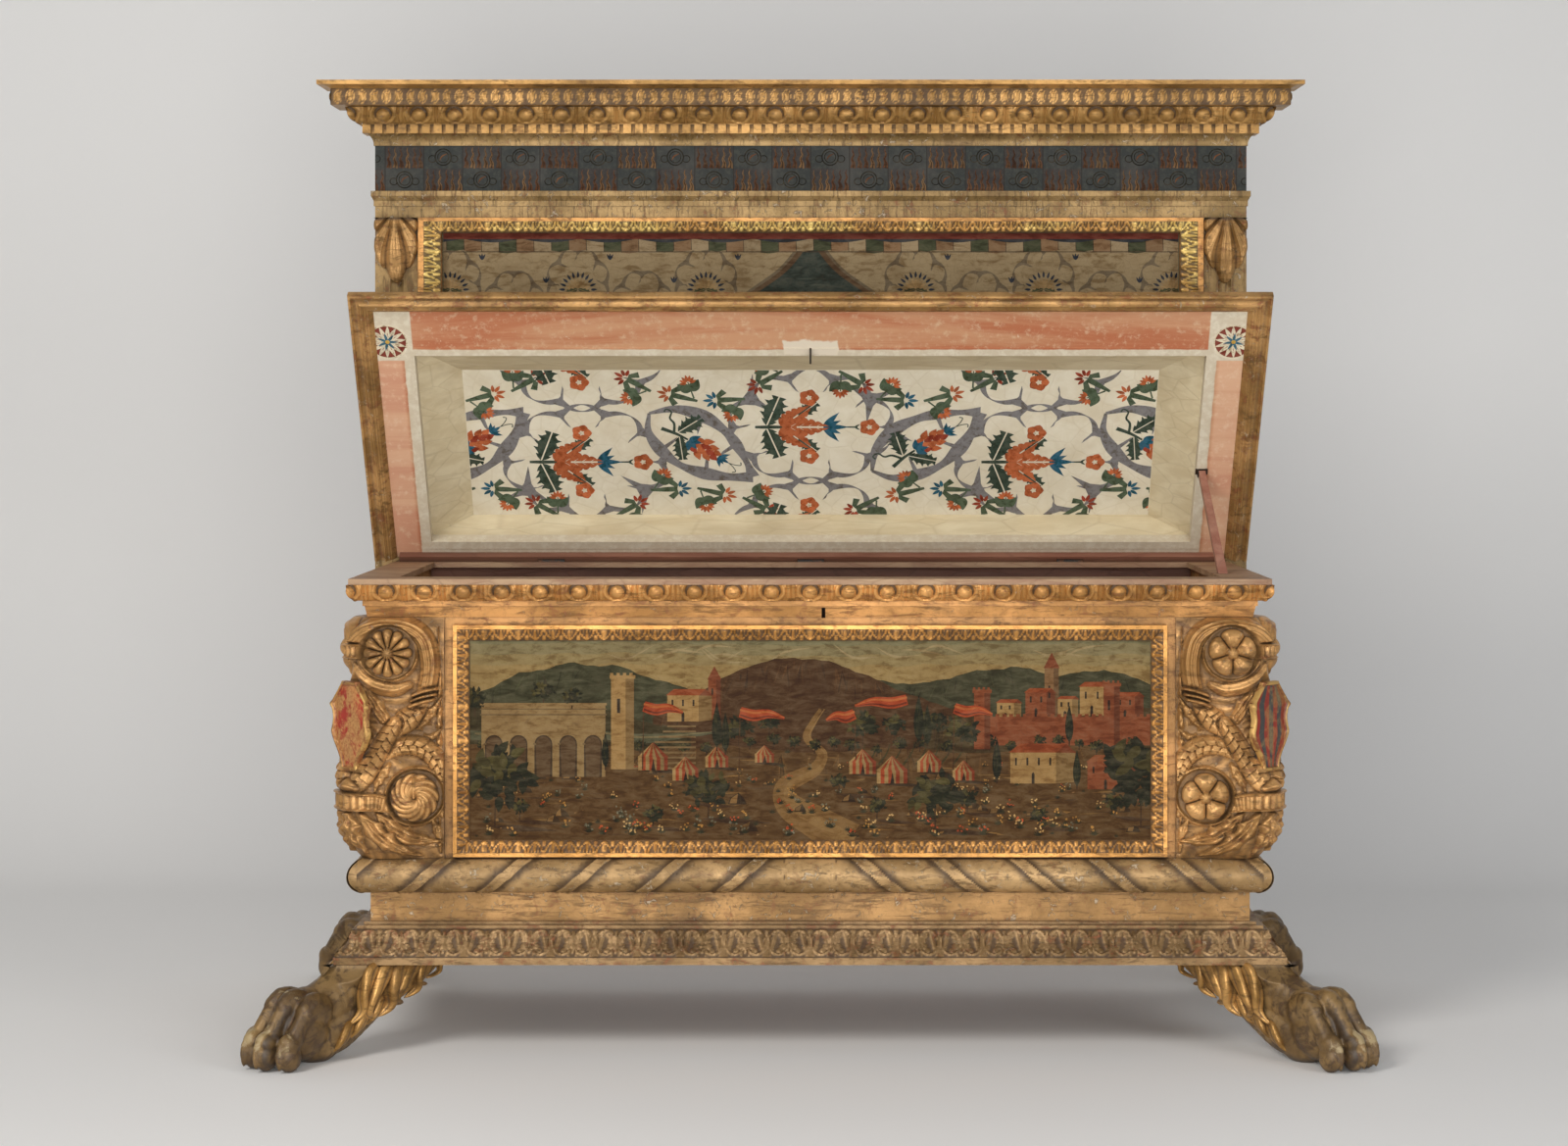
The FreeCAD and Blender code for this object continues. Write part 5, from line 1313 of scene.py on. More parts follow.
shield_rise, shield_half = 93.0, 62.0
shield_middle_z = 684.1
shield_stand_off = 72.0
shield_shares = [(-1.0, 0.52), (-0.93, 0.44), (-0.80, 0.47), (-0.62, 0.60), (-0.40, 0.83), (-0.17, 1.0),
                 (-0.02, 0.95), (0.18, 0.90), (0.40, 0.98), (0.48, 1.0), (0.62, 0.86), (0.80, 0.62),
                 (0.95, 0.44), (1.0, 0.42)]


def shield_sheet(side, bars):
    """The front and the edge of a waisted plate across the corner; a flat sheet closes its back."""
    share_line = smooth_path(shield_shares, 8)
    across = Vector((side, 1, 0)).normalized()
    outward = Vector((side, -1, 0)).normalized()
    marks = {}

    def half_at(t):
        return np.interp(t, share_line[:, 0], share_line[:, 1]) * shield_half

    def placed(out, reach, t, depth):
        x = side * corner_x + outward.x * (shield_stand_off + out) + across.x * reach
        y = corner_y + outward.y * (shield_stand_off + out) + across.y * reach
        return x * MM, y * MM, (shield_middle_z + t * shield_rise) * MM, depth

    def surface(u, v):
        t = (np.clip(v * 1.04 - 0.02, 0, 1) - 0.5) * 2
        half = half_at(t)
        across_share = np.clip(u * 1.04 - 0.02, 0, 1) * 2 - 1
        edge = np.minimum(half * (1 - np.abs(across_share)), (1 - np.abs(t)) * shield_rise)
        rim = smooth(7.5 - edge, 0, 1.6)
        bulge = 7.0 * (1 - across_share ** 2)
        out = 9.0 + bulge * 0.6 + 3.2 * rim - 3.0 * smooth(edge, 7, 9) - 2.2 * smooth(2.0 - edge, 0, 2)
        out = out + 4.0 * crest(t - 0.46, 0.10) * smooth(np.abs(across_share), 0.72, 1.0)
        outer = (u < 0.012) | (u > 0.988) | (v < 0.012) | (v > 0.988)
        marks["rim"] = rim
        marks["bar"] = 0.5 + 0.5 * np.cos(bars * math.pi * across_share)
        # Painted shade: the groove inside the rim is marked deep, so it is painted dark
        depth = crest(edge - 8.2, 2.4) * 0.85
        return placed(np.where(outer, 0.0, out), half * across_share, t, depth)

    def back(u, v):
        t = (v - 0.5) * 2
        marks["rim"] = marks["bar"] = np.zeros(u.shape)
        # Painted shade: the back is marked fairly deep, so it is painted darker
        return placed(0.0, half_at(t) * (1 - 2 * u), t, np.full(u.shape, 0.6))

    sheets = []
    for columns, form in ((64, surface), (16, back)):
        sheet = add_array_sheet(columns, 96, form, side < 0)
        for name, values in marks.items():
            add_field(sheet, name, values)
        sheets.append(sheet)
    join_pieces(sheets)


def make_shields():
    red, dark_red, grey = (0.420, 0.030, 0.014), (0.290, 0.030, 0.014), (0.042, 0.052, 0.048)
    plain = shield_finish("shield_red", red, red, 0.0, 0.50)
    barred = shield_finish("shield_barred", dark_red, grey, 0.95, 0.22)
    for side, hand, bars, finish in ((-1, "left", 0, plain), (1, "right", 4, barred)):
        shield_sheet(side, bars)
        piece = own_piece(f"shield_plate_{hand}", "chest", finish, 40)
        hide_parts(f"shield_{hand}")


def foot_finish(name):
    """Bare brown gilding with worn pale toes, and dirt and painted shade between the toes, near the floor and
    in hollows.
    """
    finish = Finish(name)
    broad = finish.noise(11, 5, 0.6, warp=0.4)
    patch = finish.noise(38, 7, 0.68, warp=0.7)
    fine = finish.noise(240, 5, 0.7)
    wear, depth = finish.mark("wear"), finish.mark("depth")
    colour = finish.mix(finish.between(broad, 0.34, 0.66), (0.125, 0.072, 0.026), (0.275, 0.168, 0.062))
    glint = finish.between(patch * 0.5 + broad * 0.5, 0.56, 0.62)
    colour = finish.mix(glint * 0.6, colour, (0.520, 0.340, 0.130))
    colour = finish.mix(finish.between(patch, 0.46, 0.60) * 0.80, colour, (0.062, 0.036, 0.018))
    red = finish.between(patch * 0.4 + fine * 0.6, 0.56, 0.66)
    colour = finish.mix(red * 0.55, colour, (0.235, 0.085, 0.036))
    rubbed = finish.between(wear + (patch - 0.5) * 2.4, 0.58, 0.92)
    colour = finish.mix(rubbed * 0.75, colour, (0.460, 0.350, 0.180))
    # Dirt and painted shade: darker where the foot is marked deep and in hollows found by ambient occlusion
    dirt_and_shade = finish.between(depth + (patch - 0.5) * 0.4, 0.35, 0.95)
    dirt_and_shade = dirt_and_shade.math("MAXIMUM", finish.between(1 - finish.hollows(0.03), 0.30, 0.95))
    colour = finish.mix(dirt_and_shade * 0.78, colour, (0.035, 0.021, 0.012))
    metal = (1 - dirt_and_shade) * (1 - rubbed) * (glint * 0.4 + 0.22)
    return finish.done(colour, fine * 0.2 + 0.34, metal, fine * 0.35 + patch * 0.65, 0.0013)


def ball(place, radii, turn=0.0):
    bpy.ops.mesh.primitive_uv_sphere_add(segments=28, ring_count=18, radius=1,
                                         location=tuple(part * MM for part in place),
                                         rotation=(0, turn, 0),
                                         scale=tuple(part * MM for part in radii))
    return bpy.context.object


def limb(points, steps=10):
    """Balls strung along a path: x, y, z and the three radii of each."""
    return [ball(row[:3], row[3:6]) for row in smooth_path(points, steps)[::3]]


def cut_level(height, keep_above):
    """Cut the active object off level at a height and close the cut."""
    edit_active(lambda: bpy.ops.mesh.bisect(plane_co=(0, 0, height * MM), plane_no=(0, 0, 1), use_fill=True,
                                            clear_inner=keep_above, clear_outer=not keep_above))


def sculpt_foot():
    """A lion's foot along +X: haunch under the base, ankle, knuckles, toes and claws."""
    bpy.ops.object.select_all(action="DESELECT")
    balls = limb([(-268, 0, 186, 30, 34, 16), (-205, 0, 172, 34, 42, 34), (-140, 0, 158, 38, 47, 50),
                  (-70, 0, 142, 40, 50, 62), (-10, 0, 128, 38, 48, 62), (40, 0, 108, 38, 50, 52),
                  (80, 0, 88, 40, 58, 66)])
    balls += limb([(-170, 0, 146, 34, 36, 34), (-112, 0, 122, 38, 42, 44), (-58, 0, 92, 42, 46, 50),
                   (-6, 0, 66, 46, 50, 56), (40, 0, 50, 54, 52, 48)])
    balls += [ball((46, 0, 42), (60, 52, 48)), ball((92, 0, 70), (66, 68, 64)),
              ball((112, 0, 84), (40, 44, 44)), ball((-24, 0, 184), (58, 60, 60))]
    for spread, back, size in ((20, 0, 1.0), (-20, 0, 1.0), (57, 30, 0.94), (-57, 30, 0.94)):
        sign = 1 if spread > 0 else -1
        balls += limb([(84 - back * 0.7, spread * 0.66, 116 * size, 32, 24, 35),
                       (114 - back, spread * 0.80, 128 * size, 25, 23, 31),
                       (138 - back, spread * 0.93, 117 * size, 20, 19.5, 25)], 8)
        balls += limb([(138 - back, spread * 0.95, 112 * size, 19, 17, 24),
                       (157 - back, spread, 88 * size, 17, 16.5, 20),
                       (168 - back, spread, 66 * size, 21, 18.5, 22)], 8)
        balls += [ball((180 - back, spread * 1.02, 58 * size), (25, 20.5, 24)),
                  ball((180 - back, spread * 1.02, 32 * size), (26, 21.5, 31)),
                  ball((203 - back, spread * 1.02 + sign, 50 * size), (9, 7, 14), -0.25),
                  ball((208 - back, spread * 1.02 + sign, 28 * size), (5.5, 5, 22), 0.12)]
    join_pieces(balls)
    foot = bpy.context.object
    bpy.ops.object.transform_apply(location=True, rotation=True, scale=True)
    shell = foot.modifiers.new("shell", "REMESH")
    shell.mode = "VOXEL"
    shell.voxel_size = 0.0030
    bpy.ops.object.modifier_apply(modifier="shell")
    soften = foot.modifiers.new("soften", "SMOOTH")
    soften.factor = 0.5
    soften.iterations = 5
    bpy.ops.object.modifier_apply(modifier="soften")
    x, y, z = points_of(foot).T / MM
    reach = 5 + 0.32 * np.maximum(190 - z, 0) ** 1.45
    excess = np.maximum(x + np.abs(y) - reach, 0) * smooth(72 - x, 0, 26) / 2
    move_points(foot, (x - excess) * MM, (y - np.sign(y) * excess) * MM, z * MM)
    cut_level(189.9, False)
    cut_level(0.0, True)
    return foot


def foot_marks(foot):
    """Wear on the toes, and dirt and painted shade between them and towards the floor, as attributes of the
    sculpted foot.
    """
    x, y, z = points_of(foot).T / MM
    toes = smooth(x, 118, 176)
    gap = np.minimum(np.minimum(np.abs(y), np.abs(y - 37)), np.abs(y + 37))
    between = crest(gap, 7.5) * smooth(x, 74, 132) * smooth(150 - z, 0, 40)
    pads = toes * (0.36 + 0.45 * crest(z - 66, 34)) * smooth(z, 14, 40)
    pads += 0.55 * crest(x - 118, 36) * crest(z - 150, 30)
    add_field(foot, "wear", pads * (1 - between))
    # Painted shade: the lowest part of the foot, near the floor, is marked deep so that it is painted dark
    under = smooth(26 - z, 0, 26) * 0.35
    add_field(foot, "depth", np.maximum(between * 0.95, under))


def strand(points):
    """A tapered carved lock of hair along a path of x, y, z and radius."""
    line = smooth_path(points, 12)
    steps = np.linspace(0, 1, len(line))
    twist = 2.2

    def surface(u, v):
        place = [np.interp(v, steps, line[:, index]) for index in range(4)]
        ahead = [np.interp(np.clip(v + 0.02, 0, 1), steps, line[:, i])
                 - np.interp(np.clip(v - 0.02, 0, 1), steps, line[:, i]) for i in range(3)]
        length = np.sqrt(ahead[0] ** 2 + ahead[1] ** 2 + ahead[2] ** 2) + 1e-6
        dx, dy, dz = ahead[0] / length, ahead[1] / length, ahead[2] / length
        flat = np.hypot(dx, dz) + 1e-6
        ax, ay, az = dz / flat, np.zeros(u.shape), -dx / flat
        bx, by, bz = dy * az - dz * ay, dz * ax - dx * az, dx * ay - dy * ax
        turn = u * 2 * math.pi
        grooves = np.cos(3 * turn + twist * v * math.pi)
        radius = place[3] * (1 - 0.16 * grooves) * np.clip(np.minimum(v, 1 - v) * 14, 0, 1) ** 0.5
        c, s = np.cos(turn) * radius, np.sin(turn) * radius
        depth = 0.75 * smooth(grooves, 0.2, 1.0)
        return ((place[0] + c * ax + s * bx) * MM, (place[1] + c * ay + s * by) * MM,
                (place[2] + c * az + s * bz) * MM, depth)

    return add_array_sheet(32, 44, surface)


def foot_locks():
    """Gilt locks of hair in S curves down both flanks and the underside of the leg."""
    paths = []
    for side in (-1, 1):
        for index in range(7):
            start = -296 + index * 37
            wide = (26, 38, 47, 52, 54, 55, 55)[index]
            fat = (8, 11, 14, 17, 19, 17, 14)[index]
            fall = (14, 26, 40, 54, 66, 74, 72)[index]
            curl, tip, drop = ((-4, 74, 1.10), (7, 30, 0.98))[index % 2]
            paths.append([(start, wide * side, 188, fat * 0.6),
                          (start + 26, (wide + 5) * side, 181 - fall * 0.10, fat),
                          (start + 44 + curl, (wide + 6) * side, 170 - fall * 0.50, fat * 0.95),
                          (start + 50 + curl * 2, (wide + 1) * side, 158 - fall * 0.86, fat * 0.66),
                          (start + tip + curl, (wide - 7) * side, 150 - fall * drop, 2.5)])
        for index in range(5):
            x = -200 + index * 42
            z = 142 - index * 22
            paths.append([(x, 30 * side, z + 26, 5), (x + 26, 44 * side, z + 14, 12),
                          (x + 44, 46 * side, z - 8, 13), (x + 58, 38 * side, z - 26, 9),
                          (x + 84, 30 * side, z - 38, 2.5)])
            paths.append([(x + 6, 10 * side, z + 6, 5), (x + 30, 22 * side, z - 8, 12),
                          (x + 52, 22 * side, z - 26, 12), (x + 74, 14 * side, z - 42, 3)])
    return join_pieces([strand(path) for path in paths])


def corner_copy(source, side, ahead):
    """Turn a piece sculpted along +X to its corner; ahead is -1 at the front and 1 at the back."""
    bpy.ops.object.select_all(action="DESELECT")
    piece = source.copy()
    piece.data = source.data.copy()
    bpy.context.scene.collection.objects.link(piece)
    bpy.context.view_layer.objects.active = piece
    piece.select_set(True)
    along, across, up = points_of(piece).T
    slope = math.sqrt(0.5)
    edge_y = base_low.y if ahead < 0 else base_high.y
    move_points(piece, side * (base_high.x + (along - across) * slope),
                edge_y + ahead * (along + across) * slope, up)
    if side * ahead < 0:
        edit_active(bpy.ops.mesh.normals_make_consistent)
    return piece


def make_feet():
    skin_finish = foot_finish("foot_finish")
    lock_finish = gilding("lock_gilding", (0.360, 0.195, 0.055), 0.45, 0.5, 0.2, 0.55, 0.02)
    foot = sculpt_foot()
    foot_marks(foot)
    locks = foot_locks()
    for side, ahead, name in ((1, -1, "front_right"), (-1, -1, "front_left"), (1, 1, "rear_right"),
                              (-1, 1, "rear_left")):
        corner_copy(foot, side, ahead)
        piece = own_piece("paw_" + name, "chest", skin_finish, 60)
        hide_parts("foot_" + name)
        corner_copy(locks, side, ahead)
        own_piece("paw_locks_" + name, "chest", lock_finish, 60)
    for source in (foot, locks):
        bpy.data.objects.remove(source, do_unlink=True)


post_face_y = 388.5


def bracket_sheet(side):
    """A hanging acanthus leaf: lobes fan out from its head over a thick scroll."""
    centre_x = side * (post_low.x + post_high.x) / 2 / MM
    top_z, low_z, half = 1790.5, 1647.0, 50.0
    head = top_z + 18.0

    def surface(u, v):
        lean = (u - 0.5) * 2 * math.radians(96)
        lobes = 7
        phase = (u - 0.5) * lobes
        lobe = np.abs(np.cos(math.pi * phase)) ** 0.6
        sine, cosine = np.sin(lean), np.cos(lean)
        down = head - (low_z + 42.0)
        side_reach = half / np.maximum(np.abs(sine), 1e-3)
        arc_reach = down * cosine + np.sqrt(np.maximum(half ** 2 - (down * sine) ** 2, 0))
        arc_reach = np.where(half ** 2 - (down * sine) ** 2 > 0, arc_reach, 1e6)
        reach = np.minimum(side_reach, arc_reach)
        reach = np.where(cosine > 0.02, reach, half)
        radius = np.clip(v * 1.02, 0, 1) * reach * (0.86 + 0.14 * lobe)
        x = np.clip(radius * sine, -half, half)
        z = np.minimum(head - radius * cosine, top_z - 0.5)
        fall = (top_z - z) / (top_z - low_z)
        x = x * (1 - 0.40 * smooth(fall, 0.45, 1.0))
        body = 14 + 27 * np.cos(np.clip(fall * 1.05 - 0.10, 0, 1) * math.pi / 2) ** 0.8
        body = body * (1 - 0.30 * (np.abs(x) / half) ** 2.2)
        groove = (1 - lobe) * smooth(v, 0.10, 0.5)
        flute = 0.5 + 0.5 * np.cos(2 * math.pi * phase)
        rib = crest(np.abs(phase - np.round(phase)) - 0.27, 0.10) * smooth(v, 0.04, 0.3)
        tips = crest(v - 0.90, 0.12) * lobe
        out = body - 9.0 * groove - 2.2 * (1 - flute) * smooth(v, 0.2, 0.6) + 3.2 * tips + 2.6 * rib
        out = out - 1.6 * crest(phase - np.round(phase), 0.09) * smooth(v, 0.05, 0.4)
        out = np.where(v > 0.992, -1.0, np.maximum(out, 3.0))
        depth = np.clip(groove * 0.9 + 0.25 * (1 - flute), 0, 1) * 0.72
        # Painted shade: the head of the leaf, under the moulding above it, is marked deep so that it is
        # painted dark
        depth = np.maximum(depth, smooth(z, top_z - 14, top_z - 2) * 0.9)
        return (centre_x + x) * MM, (post_face_y - out) * MM, z * MM, depth

    return add_array_sheet(180, 64, surface, True)


def make_brackets():
    join_pieces([bracket_sheet(-1), bracket_sheet(1)])
    piece = own_piece("bracket_leaves", "chest", gold["bracket"], 70)
    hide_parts("leaf_brackets")


make_shields()
make_feet()
make_brackets()


# Lid moulding: its outer half width and reach, then its profile as distance inwards and height

lip_half, lip_ahead = 1010.0, 727.0
lip_profile = [(36, 43.9), (23, 44.0), (12, 33.0), (0.6, 20.5), (0, 18), (0, 3), (0.9, 0.9), (3, 0),
               (5.5, 0.2), (6.2, 2.2), (8, 4.4), (11, 6.2), (14, 7.0), (17, 6.6), (20, 5.2), (22.5, 3.2),
               (24, 1.6), (24.8, 0.4), (26.2, 0.0), (27.6, 0.4), (28.4, 2.0), (30.6, 2.4), (31.4, 4.2),
               (33, 4.8), (36, 4.8), (37, 6.6), (41, 7.2), (42, 8.6), (45, 11.2), (48, 14.0), (51, 17.9)]


def lid_lip():
    """The lid's moulding: a soft edge, a hollow, a bead and a slope down to the painted margin."""
    places = np.array(lip_profile)
    count = len(places) - 1
    columns = 50
    ends = 1 / columns

    def surface(u, v):
        run = np.clip((u - ends) / (1 - 2 * ends), 0, 1)
        cap = (u < ends / 2) | (u > 1 - ends / 2)
        steps = np.linspace(0, 1, count + 1)
        inward = np.where(cap, 24.0, np.interp(v, steps, places[:, 0]))
        up = np.where(cap, 18.0, np.interp(v, steps, places[:, 1]))
        x = (lip_half - inward) * np.interp(run, (0, 1 / 3, 2 / 3, 1), (-1, -1, 1, 1))
        along = np.interp(run, (0, 1 / 3, 2 / 3, 1), (0, 1, 1, 0)) * (lip_ahead - inward)
        y = hinge.y / MM - along * math.cos(lid_angle) + up * math.sin(lid_angle)
        z = hinge.z / MM + along * math.sin(lid_angle) + up * math.cos(lid_angle)
        hollow = np.maximum(crest(inward - 14, 9) * (up < 20), crest(inward - 30, 2.4) * (up < 20))
        hollow = np.maximum(hollow, crest(inward - 37.5, 2.6) * (up < 20) * 0.9)
        return x * MM, y * MM, z * MM, hollow * 0.62

    add_array_sheet(columns, count, surface, True)
    piece = own_piece("lid_moulding", "lid", gold["lid"], 35)
    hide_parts("lid_lip_mouldings")


lid_lip()


# Painted patterns: thin flat shapes that carry their own colour, laid on the boards in layers

class Painting:
    """Flat shapes in two directions, in millimetres, clipped to a field and stacked like coats of paint."""

    def __init__(self, low, high):
        self.low = low
        self.high = high
        self.shapes = []

    def clipped(self, polygon):
        for axis in (0, 1):
            for sign, limit in ((1, self.low[axis]), (-1, -self.high[axis])):
                kept = []
                for index, point in enumerate(polygon):
                    before = polygon[index - 1]
                    inside = sign * point[axis] >= limit
                    if inside != (sign * before[axis] >= limit):
                        share = (limit * sign - before[axis]) / (point[axis] - before[axis])
                        kept.append((before[0] + (point[0] - before[0]) * share,
                                     before[1] + (point[1] - before[1]) * share))
                    if inside:
                        kept.append(point)
                polygon = kept
                if len(polygon) < 3:
                    return []
        return polygon

    def cut(self, outline):
        """The triangles of an outline, wound alike and cut along the field's edge."""
        inside = all(self.low[axis] <= point[axis] <= self.high[axis]
                     for point in outline for axis in (0, 1))
        corners = [Vector((point[0], point[1], 0)) for point in outline]
        for triangle in tessellate_polygon([corners]):
            polygon = [(corners[index].x, corners[index].y) for index in triangle]
            area = sum(polygon[i - 1][0] * polygon[i][1] - polygon[i][0] * polygon[i - 1][1]
                       for i in range(3))
            if area < 0:
                polygon.reverse()
            if not inside:
                polygon = self.clipped(polygon)
            if abs(area) > 1e-6 and len(polygon) > 2:
                yield polygon

    def fill(self, outline, colour, level):
        self.keep(list(self.cut(outline)), colour, level)

    def block(self, x, y, wide, tall, colour, level):
        """An upright oblong from its lower corner."""
        self.fill([(x, y), (x + wide, y), (x + wide, y + tall), (x, y + tall)], colour, level)

    def keep(self, polygons, colour, level):
        if polygons:
            spots = np.array([point for polygon in polygons for point in polygon])
            self.shapes.append((level, len(self.shapes), polygons, colour, (*spots.min(0), *spots.max(0))))

    def spray(self, place, shapes, colour, level):
        """The same outlines placed by a turn, a size and a position."""
        x, y, turn, size = place
        c, s = math.cos(turn) * size, math.sin(turn) * size
        for shape in shapes:
            self.fill([(x + c * a - s * b, y + s * a + c * b) for a, b in shape], colour, level)

    def band(self, points, colour, level, steps=8):
        """A stroke of varying width: each point is x, y and half a width."""
        line = smooth_path(points, steps)
        ahead = np.gradient(line[:, :2], axis=0)
        ahead /= np.maximum(np.hypot(ahead[:, 0], ahead[:, 1])[:, None], 1e-6)
        left = line[:, :2] + np.stack([-ahead[:, 1], ahead[:, 0]], 1) * line[:, 2:3]
        right = line[:, :2] - np.stack([-ahead[:, 1], ahead[:, 0]], 1) * line[:, 2:3]
        quads = []
        for i in range(len(line) - 1):
            quads += self.cut([tuple(right[i]), tuple(right[i + 1]), tuple(left[i + 1]), tuple(left[i])])
        self.keep(quads, colour, level)

    def made(self, name, place, body, slot_name, material):
        """Lay every shape just above all the earlier shapes whose surroundings it touches."""
        coat = 0.016
        shapes = sorted(self.shapes, key=lambda shape: shape[:2])
        boxes = np.array([shape[4] for shape in shapes])
        coats = np.zeros(len(shapes))
        corners, faces, colours = [], [], []
        for order, (_, _, polygons, colour, box) in enumerate(shapes):
            under = boxes[:order]
            meets = ((under[:, 0] < box[2]) & (under[:, 2] > box[0])
                     & (under[:, 1] < box[3]) & (under[:, 3] > box[1]))
            coats[order] = coats[:order][meets].max() + 1 if meets.any() else 0
            for index, polygon in enumerate(polygons):
                lift = 0.10 + coat * (coats[order] + 0.3 * (index % 3))
                faces.append(list(range(len(corners), len(corners) + len(polygon))))
                corners += [place(x, y, lift) for x, y in polygon]
                colours += [(*colour, 1.0)] * len(polygon)
        mesh = bpy.data.meshes.new(name)
        mesh.from_pydata(corners, [], faces)
        paint = mesh.attributes.new("paint", "FLOAT_COLOR", "POINT")
        paint.data.foreach_set("color", np.array(colours).ravel())
        mesh.materials.append(material)
        piece = bpy.data.objects.new(name, mesh)
        bpy.context.scene.collection.objects.link(piece)
        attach(piece, body)
        return piece


def tinted(colour, amount=0.12):
    """The colour as mixed anew by hand: a little lighter or darker each time."""
    share = 1 + (chance.random() - 0.5) * 2 * amount
    return tuple(min(1.0, part * share) for part in colour)


def petal_shape(length, width, point=0.0, start=0.0):
    """A petal along +X from its start, rounded or pointed at its end."""
    upper = []
    for index in range(9):
        t = index / 8
        bulge = math.sin(math.pi * t ** 0.8) ** 0.75
        upper.append((start + length * t, width / 2 * bulge * (1 - point * t ** 3)))
    return upper[:-1] + [(start + length, 0)] + [(x, -y) for x, y in reversed(upper[1:-1])]


def toothed_leaf(length, width, teeth):
    """Half outlines of a leaf with forward-pointing teeth, one on each side of its vein."""
    upper = [(0, 0)]
    for index in range(teeth):
        t = (index + 0.35) / teeth
        reach = width / 2 * math.sin(math.pi * min(1, t * 0.82 + 0.12)) ** 0.9
        upper.append((length * (t + 0.08 / teeth), reach * 0.62))
        upper.append((length * (t + 0.62 / teeth), reach))
        upper.append((length * (t + 0.66 / teeth), reach * 0.66))
    upper.append((length, 0))
    gap = width * 0.026
    above = [(x, max(gap, y)) for x, y in upper]
    below = [(x, -max(gap, y)) for x, y in reversed(upper)]
    return [above, below]


def lobed_leaf(length, width, lobes):
    """A soft-lobed leaf as two halves with a pale vein between them."""
    upper = []
    count = lobes * 5
    for index in range(count + 1):
        t = index / count
        hull = width / 2 * math.sin(math.pi * (0.06 + 0.94 * t) ** 0.72) ** 0.8
        upper.append((length * t, hull * (0.74 + 0.26 * abs(math.sin(math.pi * lobes * t)) ** 0.6)))
    gap = width * 0.040
    above = [(0, gap)] + [(x, max(gap, y)) for x, y in upper] + [(length, gap)]
    below = [(x, -y) for x, y in reversed(above)]
    return [above, below]


INK_GREEN = (0.045, 0.072, 0.052)
LEAF_GREEN = (0.085, 0.125, 0.075)
RUST = (0.520, 0.135, 0.048)
RED_BROWN = (0.330, 0.052, 0.026)
BLUE = (0.020, 0.115, 0.180)
BAND_GREY = (0.225, 0.215, 0.215)
CREAM = (0.770, 0.690, 0.520)


def place_after(place, x, y, turn=0.0, size=1.0):
    """A place given within another one."""
    c, s = math.cos(place[2]) * place[3], math.sin(place[2]) * place[3]
    return (place[0] + c * x - s * y, place[1] + s * x + c * y, place[2] + turn, place[3] * size)


def five_petals(picture, place, colour, radius=11.0):
    for index in range(5):
        turned = place_after(place, 0, 0, index * 2 * math.pi / 5)
        picture.spray(turned, [petal_shape(radius * 0.80, radius * 0.98, 0, radius * 0.20)],
                      tinted(colour, 0.25), 3)
    ring = [(radius * 0.20 * math.cos(a), radius * 0.20 * math.sin(a))
            for a in (k * math.pi / 5 for k in range(10))]
    picture.spray(place, [ring], CREAM, 4)


def half_flower(picture, place, colour, count=7, spread=1.25, radius=17.0):
    for index in range(count):
        lean = (index / (count - 1) - 0.5) * 2 * spread
        petal = place_after(place, 0, 0, lean)
        length = radius * (1 - 0.12 * abs(lean))
        picture.spray(petal, [petal_shape(length * 0.82, radius * 0.30, 0, length * 0.24)],
                      tinted(colour, 0.30), 3)


def cup(picture, place, colour, length, width):
    """A pointed calyx: five tips that spread like a thistle's."""
    for index in range(5):
        lean = (index / 4 - 0.5) * 1.7
        reach = length * (1.0 if index % 2 == 0 else 0.78) * (1 - 0.10 * abs(lean))
        picture.spray(place_after(place, 0, 0, lean), [petal_shape(reach, width * 0.34, 0.75)],
                      tinted(colour, 0.10), 3)


def tendril(picture, place, points, colour, level=2):
    rows = []
    for x, y, half in points:
        moved = place_after(place, x, y)
        rows.append((moved[0], moved[1], half * place[3]))
    picture.band(rows, colour, level, 6)


def bloom(picture, place):
    """A spray: a stem with toothed leaves, a rust bloom in veined layers, a blue cup and side flowers."""
    tendril(picture, place, [(-62, 0, 2.2), (-40, 0, 3.0), (-14, 0, 2.2)], INK_GREEN)
    for side in (-1, 1):
        lower = place_after(place, -44, side * 3, side * 1.22)
        picture.spray(lower, toothed_leaf(56, 44, 5), tinted(INK_GREEN), 3)
        upper = place_after(place, 4, side * 20, side * 0.72)
        picture.spray(upper, toothed_leaf(38, 27, 4), tinted(INK_GREEN), 2)
        tendril(picture, place, [(-10, side * 14, 1.4), (8, side * 30, 1.2), (16, side * 44, 0.8)], INK_GREEN)
        five_petals(picture, place_after(place, 20, side * 54), RUST, 16)
        wing = place_after(place, -22, side * 2, side * 0.68)
        picture.spray(wing, lobed_leaf(58, 34, 6), tinted(RUST, 0.12), 4)
    picture.spray(place_after(place, -24, 0), lobed_leaf(76, 38, 7), tinted(RUST, 0.10), 5)
    for index in range(4):
        for side in (-1, 1):
            vein = place_after(place, -8 + index * 13, side * 0.6, side * 0.62)
            picture.spray(vein, [petal_shape(11 - index, 0.9)], CREAM, 6)
    cup(picture, place_after(place, 42, 0), BLUE, 40, 30)
    tendril(picture, place, [(78, 0, 1.2), (94, 0, 1.6)], INK_GREEN)
    for side in (-1, 1):
        picture.spray(place_after(place, 90, 0, side * 0.6), [petal_shape(10, 3.2, 0.8)], INK_GREEN, 3)
    five_petals(picture, place_after(place, 112, 0), RUST, 16)


